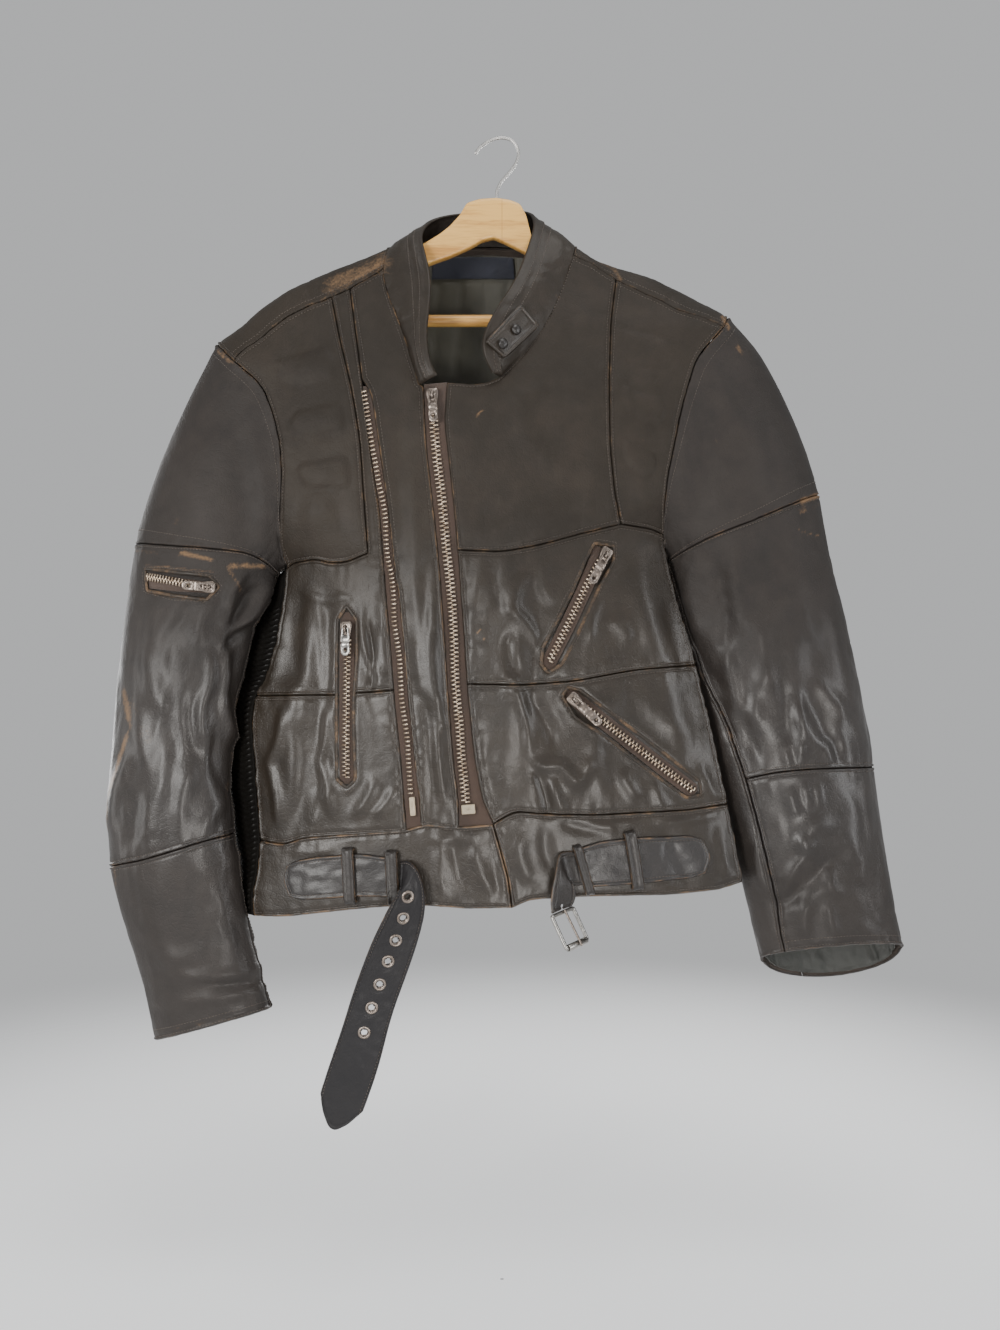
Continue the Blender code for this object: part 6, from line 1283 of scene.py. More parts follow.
def mesh_object(name, points, faces, looks, attributes=None):
    """An object from millimetre points and quads, smooth shaded, with its materials and point attributes."""
    points, faces = np.asarray(points, float), np.asarray(faces)
    mesh = bpy.data.meshes.new(name)
    mesh.vertices.add(len(points))
    mesh.vertices.foreach_set("co", (points * MM).astype(np.float32).ravel())
    mesh.loops.add(faces.size)
    mesh.loops.foreach_set("vertex_index", faces.ravel().astype(np.int32))
    mesh.polygons.add(len(faces))
    mesh.polygons.foreach_set("loop_start", np.arange(0, faces.size, faces.shape[1], dtype=np.int32))
    mesh.update(calc_edges=True)
    for key, values in (attributes or {}).items():
        layer = mesh.attributes.new(key, "FLOAT", "POINT")
        layer.data.foreach_set("value", np.broadcast_to(values, (len(points),)).astype(np.float32))
    mesh.validate()
    mesh.shade_smooth()
    for look in looks:
        mesh.materials.append(material(look))
    obj = bpy.data.objects.new(name, mesh)
    bpy.context.scene.collection.objects.link(obj)
    return obj


def stroke_wear(u, v):
    """How bare the leather is at sheet points: the strongest of the listed scuffs."""
    worn = np.zeros(len(u))
    for start, end, wide, strength in SCUFFS:
        (x0, y0), (x1, y1) = start, end
        dx, dy = x1 - x0, y1 - y0
        t = np.clip(((u - x0) * dx + (v - y0) * dy) / (dx * dx + dy * dy), 0, 1)
        gap = np.hypot(u - x0 - dx * t, v - y0 - dy * t)
        worn = np.maximum(worn, strength * hump(gap, 0, wide))
    return worn


def edge_form(sheet):
    """The form every cut edge has: it turns down at the edge and is drawn in along the row of stitches."""
    gap = sheet.gap
    drawn = 0.75 * hump(gap, 1.9, 1.2) - 0.7 * hump(gap, 3.9, 0.7)
    return SKIN_OUT - 1.6 * hump(gap, 0, 0.6) + drawn


def puckers(sheet, x, y, seed):
    """Ripples that run out from the seams and die away: stretched noise, across each seam."""
    beside = np.exp(-sheet.sides / 8) * noise(x / 22, y / 5, seed)
    below = np.exp(-sheet.ends / 8) * noise(x / 5, y / 22, seed + 1)
    return beside + below


def put_sheet(sheet, name, looks, attributes, thick=WALL, replaces=None):
    """Makes the object of a sheet with its thickness, hides the frame's parts that it stands for and
    attaches it to the jacket.
    """
    obj = mesh_object(name, sheet.points, sheet.faces, looks, attributes)
    shell = obj.modifiers.new("thickness", "SOLIDIFY")
    shell.thickness = thick * MM
    shell.offset = -1.0
    shell.material_offset = len(looks) - 1
    wide, long, area = sheet.cut_size()
    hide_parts(*(replaces or [name.rsplit("_", 1)[0]]))
    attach(obj, "jacket")


def put_leather(sheet, name, looks, dye="Body Leather", thick=WALL, replaces=None):
    """A sheet of leather, dyed on its grain side and suede on its flesh side."""
    put_sheet(sheet, f"{name}_leather", [dye, "Suede"], looks, thick, replaces)


def ring_faces(*starts):
    """Quads between rings of four points: each ring starts at the given point and the next follows it."""
    return [(r + k, r + (k + 1) % 4, r + 4 + (k + 1) % 4, r + 4 + k) for r in starts for k in range(4)]


def stitches(name, rows, pitch=3.2, long=2.1):
    """A row of sewn stitches: capsules laid along lines, each one sunk a little into the leather."""
    profile = np.array([(-0.5, 0.05), (-0.36, 0.8), (0.36, 0.8), (0.5, 0.05)])
    turn = np.arange(4) * np.pi / 2 + np.pi / 4
    across_it = [np.outer(profile[:, 1], way).ravel() * THREAD_HALF for way in (np.cos(turn), np.sin(turn))]
    template = np.stack([np.repeat(profile[:, 0] * long, 4), *across_it], -1)
    faces = ring_faces(0, 4, 8)
    origins, ahead, up = [], [], []
    for points, normals in rows:
        total = lengths(points)[-1]
        count = int(total / pitch)
        if count < 2:
            continue
        t = (np.arange(count) + 0.5) / count
        origins.append(along_line(points, t))
        ahead.append(unit(along_line(points, t + 0.4 / total) - along_line(points, t - 0.4 / total)))
        up.append(unit(along_line(normals, t, at=shares(points))))
    points, quads = scattered(template, faces, *[np.concatenate(part) for part in (origins, ahead, up)])
    obj = mesh_object(name, points, quads, ["Thread"])
    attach(obj, "jacket")


def scattered(template, faces, origins, ahead, up):
    """Copies of a template at origins, its x along ahead and its z along up."""
    side = unit(np.cross(up, ahead))
    up = np.cross(ahead, side)
    axes = np.stack([ahead, side, up], 1)
    points = origins[:, None] + np.einsum("tk,nkj->ntj", np.asarray(template, float), axes)
    faces = np.asarray(faces)[None] + np.arange(len(origins))[:, None, None] * len(template)
    return points.reshape(-1, 3), faces.reshape(-1, faces.shape[-1])


def sweep(path, wide, high, normals=None, sides=8, closed=False):
    """A tube of oval section along a path: wide across and high along the normals at each point."""
    path = np.asarray(path, float)
    if closed:
        ahead = unit(np.roll(path, -1, 0) - np.roll(path, 1, 0))
    else:
        ahead = unit(np.gradient(path, axis=0))
    if normals is None:
        normals = np.broadcast_to(TO_FRONT, path.shape)
    side = unit(np.cross(normals, ahead))
    up = np.cross(ahead, side)
    turn = np.arange(sides) / sides * 2 * np.pi
    wide = np.broadcast_to(wide, (len(path),))[:, None, None]
    high = np.broadcast_to(high, (len(path),))[:, None, None]
    rings = path[:, None] + side[:, None] * np.cos(turn)[None, :, None] * wide
    rings = rings + up[:, None] * np.sin(turn)[None, :, None] * high
    return rings.reshape(-1, 3), grid_faces(len(path), sides, closed)


def grid_faces(rows, columns, wrap_rows=False, wrap_columns=True):
    """Quads of a grid of points, joined round on one or both ways."""
    index = np.arange(rows * columns).reshape(rows, columns)
    if wrap_rows:
        index = np.vstack([index, index[:1]])
    if wrap_columns:
        index = np.hstack([index, index[:, :1]])
    return np.stack([index[:-1, :-1], index[:-1, 1:], index[1:, 1:], index[1:, :-1]], -1).reshape(-1, 4)


def capsule(path, radius, normals, sides):
    """A round rod with rounded ends."""
    path = np.asarray(path, float)
    first, last = unit(path[0] - path[1]), unit(path[-1] - path[-2])
    turn = np.array([0.02, 0.35, 0.7, 0.95])
    start = path[0] + first * (radius * np.sqrt(1 - turn**2))[:, None]
    end = path[-1] + last * (radius * np.sqrt(1 - turn[::-1] ** 2))[:, None]
    sizes = np.concatenate([turn, np.ones(len(path)), turn[::-1]]) * radius
    line = np.vstack([start, path, end])
    return sweep(line, sizes, sizes, np.broadcast_to(normals, line.shape), sides)


def merged(*parts):
    """Several point and face arrays as one."""
    points, faces, start = [], [], 0
    for p, f in parts:
        points.append(p)
        faces.append(np.asarray(f) + start)
        start += len(p)
    return np.concatenate(points), np.concatenate(faces)


def round_ring(radius, count, centre=(0.0, 0.0)):
    turn = np.arange(count) / count * 2 * np.pi
    return np.stack([np.cos(turn) * radius + centre[0], np.sin(turn) * radius + centre[1]], -1)


def turned(profile, middle, up, across, sides=32):
    """Rings of a turned form: for each radius and height of its profile, a ring about the axis up."""
    return np.concatenate([middle + up * h + round_ring(r, sides) @ np.stack(across) for r, h in profile])


def around(outline, count, soft):
    """A closed outline as points at even steps, its corners eased."""
    ring = np.vstack([outline, outline[:1]]).astype(float)
    ring = resampled(ring, lengths(ring)[-1] / (count * 4))[:-1]
    ring = ring[:count * 4] if len(ring) >= count * 4 else ring
    reach = max(1, int(soft / (lengths(ring)[-1] / len(ring)) * 3))
    ring = convolved(np.vstack([ring[-reach:], ring, ring[:reach]]), bell(reach, reach / 3))
    return ring[(np.arange(count) * len(ring) / count).astype(int)]


def plate(outline, low, high, frame_axes, bevel, hole=None):
    """A flat plate with eased edges between two heights: rings from its middle or its hole outwards."""
    origin, right, down, up = frame_axes
    outer = np.asarray(outline, float)
    centre = outer.mean(0) if hole is None else np.asarray(hole, float)
    inner = centre + (outer - centre) * 0.04 if hole is None else np.asarray(hole, float)
    outward = unit(np.roll(outer, -1, 0) - np.roll(outer, 1, 0))
    outward = np.stack([outward[:, 1], -outward[:, 0]], -1)
    if np.einsum("ij,ij->", outward, outer - outer.mean(0)) < 0:
        outward = -outward
    tight = outer - outward * bevel
    rings = [(inner, low), (tight, low), (outer, low + bevel), (outer, high - bevel), (tight, high),
             (inner, high)]
    points = [origin + r[:, :1] * right + r[:, 1:] * down + h * up for r, h in rings]
    quads = grid_faces(6, len(outer), wrap_rows=True)
    points = np.concatenate(points)
    return points, oriented(points, quads, lambda c: c - points.mean(0))


def put(name, parts, look, replaces=None, body="jacket"):
    """A plain object from point and face arrays."""
    points, faces = merged(*parts)
    obj = mesh_object(name, points, faces, [look])
    if replaces:
        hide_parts(*replaces)
    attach(obj, body)


def strap_shade(u, v):
    """1 where the belt or a loop lies over the band, so that the band stays low under it."""
    points = np.stack([u, v], -1)
    deep = np.maximum(inside_depth(points, STRAP_R), inside_depth(points, STRAP_L))
    for top, foot, wide in LOOPS.values():
        ring = [(top[0] - wide, top[1] - 4), (top[0] + wide, top[1] - 4), (foot[0] + wide, foot[1] + 4),
                (foot[0] - wide, foot[1] + 4)]
        deep = np.maximum(deep, inside_depth(points, ring))
    return smooth_step(deep, -5, 1)


def opened(height, points, ring):
    """Heights round a pocket's opening: calm beside it, a low lip at its edge and a flat dip inside."""
    deep = inside_depth(points, ring)
    height = height * (1 - smooth_step(deep, -8, -1)) + 0.8 * hump(deep, -3.0, 2.0)
    return height - WINDOW_DEEP * smooth_step(deep, 0.0, 2.2)


def pads(points, rings):
    """Quilted pads: puffed up to the middle of the shape, with a sewn channel round it."""
    total, (u, v) = np.zeros(len(points)), points.T
    for ring in rings:
        deep = inside_depth(points, soft_ring(ring, 3.0))
        puff = 0.55 * PAD_RISE * (1 - np.exp(-np.clip(deep, 0, None) / 5.0)) * smooth_step(deep, -1, 4)
        soft = 0.5 * rumple(u / 14 + v / 30, v / 20, 41) * smooth_step(deep, 0, 6)
        total += puff + soft - 0.9 * hump(deep, 0, 1.0)
    return total


def front_form(sheet, name):
    """Heights over the smooth front: folds, rumples, puckers at the seams, pads and pocket openings."""
    u, v = sheet.flat.T
    lower = smooth_step(v, 540, 640)
    calm = 1 - 0.9 * strap_shade(u, v) if "waistband" in name else 1.0
    band = smooth_step(v, 815, 835)
    height = folds(u, v, FRONT_FOLDS) * (1.2 + 0.1 * lower) * (1 - 0.3 * band)
    small = (0.34 + 0.30 * lower) * rumple(u / 21, v / 44, 11)
    tiny = (0.14 + 0.08 * lower) * rumple(u / 8, v / 13, 12)
    height = (height + small + tiny + 1.1 * puckers(sheet, u, v, 13)) * calm
    for ring in BODY_WINDOWS:
        height = opened(height, sheet.flat, ring)
    if name in PADS:
        height = height * 0.6 + pads(sheet.flat, PADS[name])
    return height + edge_form(sheet)


def front_sheets():
    """Every leather panel of the front, as grids between the seams."""
    sheets = {}

    def sheet(name):
        sheets[name] = Sheet(on_front, FRONT_PITCH)
        return sheets[name]

    corner = np.array([368.0, 553.0])
    at_zip = run(L["open_left"], 380, 553)[-1]
    guide = soft_line([(368, 553), (370, 620), (372, 692)], 6)
    foot = L["foot_r"]
    sheet("shoulder_panel_right").lay(
        run(L["shoulder_r"], 234, 332, 0), foot, joined(L["armhole_r"], run(L["side_r"], 563, 569)),
        L["seam_a"])
    chest = sheet("chest_panel_right")
    shelf = np.stack([np.linspace(corner, at_zip, 9)[:, k] for k in range(2)], -1)
    over, _ = chest.lay(run(L["shoulder_r"], 332, 350, 0), shelf, L["seam_a"],
                        joined(L["seam_b"], run(L["open_left"], 380, 553)), "tlr")
    chest_r = L["chest_r"]
    _, down = chest.lay(shelf, run(chest_r, 372, 395, 0), guide, run(L["open_left"], 553, 690), "br",
                        over=over)
    chest.lay(foot, run(chest_r, 256, 372, 0), run(L["side_r"], 569, 696), guide, "tbl", down=down)
    sheet("lower_panel_right").lay(
        chest_r, run(L["top_r"], 261, 407, 0), run(L["side_r"], 696, 840), run(L["open_left"], 690, 832))
    sheet("centre_front_right").lay(
        run(L["shoulder_r"], 350, 384, 0), run(L["top_r"], 421, 459, 0),
        joined(L["seam_b"], L["open_right"]), joined(L["neck_r"][::-1], L["main_left"]))
    sheet("waistband_right").lay(L["top_r"], L["hem_r"], L["band_r"], L["flap_foot"])
    chest_left = L["chest_l"]
    sheet("centre_front_left").lay(
        joined(L["flap_top"], L["neck_l"], run(L["shoulder_l"], 573, 616, 0)), chest_left,
        run(L["main_right"], 382, 550), L["panel_l"])
    armhole = L["armhole_l"]
    sheet("shoulder_panel_left").lay(
        run(L["shoulder_l"], 616, 724, 0), L["panel_foot_l"], L["panel_l"], run(armhole, 327, 535))
    sheet("chest_panel_left").lay(
        joined(chest_left, L["panel_foot_l"]), L["mid_l"], run(L["main_right"], 550, 684),
        joined(run(armhole, 535, 547), run(L["side_l"], 547, 665)))
    sheet("lower_panel_left").lay(
        L["mid_l"], L["top_l"], run(L["main_right"], 684, 824), run(L["side_l"], 665, 804))
    sheet("waistband_left").lay(L["top_l"], L["hem_l"], L["flap_foot"], L["band_l"])
    return sheets


def leather_looks(sheet, u, v, front, edge, lower=(470, 680), cool=0.0):
    """How worn and how polished each point of a sheet is, and how much grey-blue tint it takes: partly a
    cooler tone, partly a painted grey sheen.
    """
    worn = stroke_wear(u, v) * front
    rubbed = edge * hump(sheet.gap, 1.2, 1.0) * (0.85 + 0.5 * noise(u / 9, v / 9, 71))
    shine = 0.10 + 0.85 * smooth_step(v, *lower)
    return {"worn": np.clip(np.maximum(worn, rubbed), 0, 1), "shine": shine, "cool": cool}


class JACKET_OT_front(bpy.types.Operator):
    """Builds the leather panels of the front, with their folds, pads, pocket openings and stitching"""

    bl_idname = "jacket.front"
    bl_label = "Front Panels"

    def execute(self, context):
        rows = []
        for name, sheet in front_sheets().items():
            sheet.settle(TO_FRONT)
            sheet.lift(front_form(sheet, name))
            u, v = sheet.flat.T
            looks = leather_looks(sheet, u, v, 1.0, EDGE_WEAR.get(name, 0.5))
            put_leather(sheet, name, looks)
            for grid, sides in enumerate(("lr", "r", "b") if name == "chest_panel_right" else ("tblr",)):
                rows += sheet.rows(sides, grid)
        stitches("stitching_front", rows)
        return {"FINISHED"}


class JACKET_OT_back(bpy.types.Operator):
    """Builds the back panel and its waistband, with the folds of a hanging back"""

    bl_idname = "jacket.back"
    bl_label = "Back Panels"

    def execute(self, context):
        rows = []
        for name in ("back_panel", "back_waistband"):
            sheet = Sheet(on_back, BACK_PITCH)
            if name == "back_panel":
                top = joined(L["should_back_r"], L["neck_back"], L["should_back_l"][::-1])
                sheet.lay(top, L["top_back"], joined(L["hole_back_r"], L["side_back_r"]),
                          joined(L["hole_back_l"], L["side_back_l"]))
            else:
                sheet.lay(L["top_back"], L["hem_back"], L["band_back_r"], L["band_back_l"])
            sheet.settle(-TO_FRONT)
            u, v = sheet.flat.T
            lower = smooth_step(v, 480, 640)
            height = folds(u, v, BACK_FOLDS) * (1.7 if name == "back_panel" else 0.7)
            height = height + (0.5 + 1.1 * lower) * rumple(u / 16, v / 30, 21)
            height = height + 0.35 * rumple(u / 7, v / 10, 22)
            for x in (430.0, 545.0):
                seam = np.abs(u - x) if name == "back_panel" else np.full(len(u), 99.0)
                height = height - 0.9 * hump(seam, 0, 1.6)
            sheet.lift(height + 1.2 * puckers(sheet, u, v, 23) + edge_form(sheet))
            put_leather(sheet, name, leather_looks(sheet, u, v, 0.0, 0.35))
            rows += sheet.rows()
        stitches("stitching_back", rows)
        return {"FINISHED"}


class JACKET_OT_shoulders_and_sides(bpy.types.Operator):
    """Builds the yokes over the shoulders and the ribbed sides under the arms"""

    bl_idname = "jacket.shoulders_and_sides"
    bl_label = "Yokes and Ribbed Sides"

    def execute(self, context):
        rows = []
        for side in ("right", "left"):
            front, ridge, back = YOKE_LINES[side]
            wide = lengths(front)[-1]

            def place(flat, wide=wide, lines=(front, ridge, back)):
                return between(*lines, flat[:, 0] / wide, flat[:, 1] / YOKE_WIDE)

            sheet = Sheet(place, YOKE_PITCH)
            sheet.lay(*box(np.linspace(0, wide, 30), np.linspace(0, YOKE_WIDE, 20)))
            sheet.settle(UP)
            x, y = sheet.flat.T
            u, v = sheet_of(sheet.base).T
            height = 0.7 * rumple(x / 14, y / 14, 31) + 0.3 * rumple(x / 6, y / 6, 32)
            height = height + 0.8 * puckers(sheet, x, y, 33)
            height = height - 0.9 * hump(x, wide * 0.55, 1.4) * (side == "right")
            sheet.lift(height + edge_form(sheet))
            facing_front = (sheet.base[:, 1] < 12).astype(float)
            put_leather(sheet, f"shoulder_yoke_{side}", leather_looks(sheet, u, v, facing_front, 0.45))
            rows += sheet.rows()

            place, high = side_place(side)
            sheet = Sheet(place, GUSSET_PITCH)
            lines = box(np.linspace(0, SIDE_WIDE, 20), np.linspace(0, high, 100))
            sheet.lay(*lines, down=steps(high, RIB_PITCH / ROWS_A_RIB))
            sheet.settle(-TO_LEFT if side == "right" else TO_LEFT)
            x, y = sheet.flat.T
            phase = (y + 1.1 * np.abs(x - SIDE_WIDE / 2)) / RIB_PITCH
            rib = np.abs(np.sin(phase * np.pi)) ** 0.8
            inside = smooth_step(sheet.sides, 2, 7) * smooth_step(y, RIBS_START - 8, RIBS_START)
            sheet.lift((RIB_RISE * rib - 0.6) * inside + edge_form(sheet))
            u, v = sheet_of(sheet.base).T
            looks = leather_looks(sheet, u, v, 0.0, 0.2)
            looks["shine"] = 0.10 + 0.70 * rib**3 * inside
            # The ribbed sides take the near-black gusset leather: painted shade of their hollow.
            put_leather(sheet, f"side_gusset_{side}", looks, "Gusset Leather")
        stitches("stitching_shoulders", rows)
        return {"FINISHED"}


def sleeve_seams(side):
    """The flat lines of a sleeve: front seam, back seam (twice round) and the two cross seams."""
    sleeve = SLEEVES[side]
    scale = np.array([SLEEVE_ROUND, STATION_STEP])
    start = BACK_SEAM_TURN - 1 + 0.02
    if side == "right":
        front = np.array([(0.02, 0.0), (0.015, 4.0), (0.01, 8.0), (0.01, float(sleeve.last))]) * scale
        cap, fore = sleeve.locate(CAP_SEAM_R), sleeve.locate(FOREARM_SEAM_R)
    else:
        seen = sleeve.locate(FRONT_SEAM_L)
        first = np.array([(0.03, 0.0), (0.03, 4.0)]) * scale
        front = np.vstack([first, seen, [seen[-1][0], sleeve.last * STATION_STEP]])
        cap, fore = sleeve.locate(CAP_SEAM_L), sleeve.locate(FOREARM_SEAM_L)
    front = soft_line(front, 10)
    ending = (start + 1) * SLEEVE_ROUND

    def whole(line):
        line = line[np.argsort(line[:, 0])]
        at_front = np.interp(line[0, 1], front[:, 1], front[:, 0])
        inner = line[line[:, 0] > at_front + 8]
        return soft_line(np.vstack([[at_front, line[0, 1]], inner, [ending, line[-1, 1]]]), 8)

    return front, whole(cap), whole(fore), start * SLEEVE_ROUND, ending


def sleeve_form(sheet, side):
    """Heights over the smooth sleeve: its folds, carried round the back lower down, and small rumples."""
    sleeve = SLEEVES[side]
    x, y = sheet.flat.T
    turn, s = x / SLEEVE_ROUND, y / STATION_STEP
    u, v, _ = sleeve.view(turn, s)
    n = np.sin(turn * 2 * np.pi)
    back = smooth_step(-n, 0.0, 0.7)
    table = SLEEVE_FOLDS_R if side == "right" else SLEEVE_FOLDS_L
    height = folds(u, v + 36 * back, table) * (1.25 - 0.3 * back)
    elbow = smooth_step(s, 3.5, 5.5)
    around_x = x * 0.85
    height = height + (0.5 + 0.6 * elbow) * rumple(around_x / 17, y / 34, 51 if side == "right" else 55)
    height = height + (0.15 + 0.12 * elbow) * rumple(around_x / 7, y / 11, 52)
    height = height + 1.3 * puckers(sheet, x, y, 53)
    if side == "right":
        height = opened(height, sheet.flat, sleeve.locate(SLEEVE_ZIP_WINDOW))
    return height + edge_form(sheet), u, v, n


class JACKET_OT_sleeves(bpy.types.Operator):
    """Builds both sleeves: cap, elbow, forearm and the narrow piece underneath, with their folds"""

    bl_idname = "jacket.sleeves"
    bl_label = "Sleeves"

    def execute(self, context):
        rows = []
        for side in ("right", "left"):
            sleeve = SLEEVES[side]
            front, cap, fore, start, ending = sleeve_seams(side)
            foot = sleeve.last * STATION_STEP
            far = np.stack([np.full(200, ending), np.linspace(0, foot, 200)], -1)
            near = np.stack([np.full(200, start), np.linspace(0, foot, 200)], -1)

            def level(y, low, high):
                return np.stack([np.linspace(low, high, 60), np.full(60, y)], -1)

            first, cap_end, fore_end = front[0, 0], cap[-1, 1], fore[-1, 1]
            cap_at, fore_at = cap[0, 1], fore[0, 1]
            pieces = {
                f"sleeve_cap_{side}": (level(0, first, ending), cap, run(front, 0, cap_at),
                                       run(far, 0, cap_end)),
                f"sleeve_elbow_{side}": (cap, fore, run(front, cap_at, fore_at),
                                         run(far, cap_end, fore_end)),
                f"sleeve_forearm_{side}": (fore, level(foot, front[-1, 0], ending),
                                           run(front, fore_at, foot), run(far, fore_end, foot)),
                f"undersleeve_{side}": (level(0, start, first), level(foot, start, front[-1, 0]), near,
                                        front),
            }
            for name, borders in pieces.items():
                sheet = Sheet(sleeve.place, SLEEVE_PITCH)
                sheet.lay(*borders)
                sheet.settle(sleeve.outward)
                height, u, v, n = sleeve_form(sheet, side)
                sheet.lift(height)
                # The sleeves take a little of the grey-blue tint, as a painted grey sheen.
                looks = leather_looks(sheet, u, v, smooth_step(n, -0.1, 0.1), 0.45, (560, 740), 0.12)
                looks["shine"] = looks["shine"] * (1 - 0.4 * smooth_step(v, 840, 880))
                put_leather(sheet, name, looks, "Sleeve Leather")
                rows += sheet.rows("lr" if "under" in name else "tblr")
                if "forearm" in name:
                    rows += sheet.rows("b", inset=STITCH_ROW + 4)
        stitches("stitching_sleeves", rows)
        return {"FINISHED"}


def collar_lines():
    """The collar's foot round the neckline and its top edge, at matching points 2 mm apart."""
    turn = np.linspace(0, 1, 24)
    inner_r = between(*YOKE_LINES["right"], np.ones(24), turn)
    inner_l = between(*YOKE_LINES["left"], np.ones(24), turn)
    foot = joined(on_front(L["neck_r"]), inner_r, on_back(L["neck_back"]), inner_l[::-1],
                  on_front(L["neck_l"][::-1]))
    foot = blurred_line(resampled(foot, 2.0), 2)
    on_sheet = sheet_of(foot)
    marks = np.array([b for b, _, _ in COLLAR], float)
    tops = np.array([(*t, y) for _, t, y in COLLAR], float)
    count, at, low = len(foot), [], 0
    for i, mark in enumerate(marks):
        share = i / (len(marks) - 1) * (count - 1)
        first, last = max(low, int(share - 0.14 * count)), min(count, int(share + 0.14 * count) + 1)
        low = first + int(np.argmin(np.linalg.norm(on_sheet[first:last] - mark, axis=1)))
        at.append(low)
    at = np.maximum.accumulate(np.array(at, float) + np.arange(len(at)) * 1e-3)
    at[0], at[-1] = 0, count - 1
    top = blurred_line(along_line(tops, np.arange(count), at=at), 4)
    return foot, world(*top.T)


def collar_surface():
    """The collar as a closed skin: up its outer face, round the rolled edge and down its padded inner face.

    Across the collar each row is a height from foot to edge with an offset outwards, which holds the bow,
    the roll, two sewn grooves under the roll and, inside, the soft padding that swells at the ends.
    """
    foot, top = collar_lines()
    high = np.linalg.norm(top - foot, axis=1)
    up = unit(top - foot)
    out = unit(np.cross(np.gradient((foot + top) / 2, axis=0), up))
    if np.einsum("ij,ij->", out, foot - foot.mean(0)) < 0:
        out = -out
    out = unit(blurred_line(out, 3))
    count = len(foot)
    roll = 2.3
    rows_up = np.linspace(0, 1, 18)
    arc = np.linspace(0, np.pi, 9)[1:-1]
    column = np.arange(count)[:, None]
    rise = (high - roll)[:, None] * rows_up[None]
    below = high[:, None] - rise
    bow = COLLAR_BOWED * 4 * rows_up * (1 - rows_up)
    grooves = -0.7 * hump(below, 7.5, 0.8) - 0.7 * hump(below, 13.0, 0.8) + 0.6 * hump(below, 10.2, 1.5)
    rough = 0.9 * rumple(column / 9 + 0 * rise, rise / 12, 61)
    rough = rough + 0.35 * rumple(column / 4 + 0 * rise, rise / 6, 62)
    near_end = np.exp(-column / 16.0) + 0.6 * np.exp(-(count - 1 - column) / 10.0)
    puff = (1.6 + 6.0 * near_end) * np.sin(np.pi * np.clip(rows_up * 1.05, 0, 1))[None] ** 0.8
    outer = bow + 1.7 + grooves + rough * smooth_step(below, 0, 8)
    inner = bow - 1.7 - puff - 0.7 * rough
    round_up = (high - roll)[:, None] + roll * np.sin(arc)[None]
    round_out = roll * np.cos(arc)[None] - 0.3
    h = np.concatenate([rise, round_up, rise[:, ::-1]], 1)
    o = np.concatenate([outer, round_out + 0 * round_up, inner[:, ::-1]], 1)
    ends = np.minimum(column[:, 0], count - 1 - column[:, 0]) * 2.0
    ease = np.sqrt(np.clip(1 - (1 - np.clip(ends / 3.0, 0.004, 1)) ** 2, 0, 1))
    middle = 0.5 * (o.max(1) + o.min(1))
    o = middle[:, None] + (o - middle[:, None]) * ease[:, None]
    points = foot[:, None] + up[:, None] * h[..., None] + out[:, None] * o[..., None]
    inside = np.concatenate([0 * rise, 0 * round_up, 1 + 0 * rise], 1)
    return points, inside, column, high


def node_points(name):
    """World vertices of a CAD node, in millimetres."""
    mesh = frame["nodes"][name].data
    points = np.empty(len(mesh.vertices) * 3, np.float32)
    mesh.vertices.foreach_get("co", points)
    return points.reshape(-1, 3).astype(float) / MM


def flat_of(name):
    """The middle, two long axes and normal of a flat CAD node, the normal towards the viewer."""
    points = node_points(name)
    _, _, axes = np.linalg.svd(points - points.mean(0))
    normal = axes[2] if axes[2][1] < 0 else -axes[2]
    return points.mean(0), axes[0], axes[1], normal


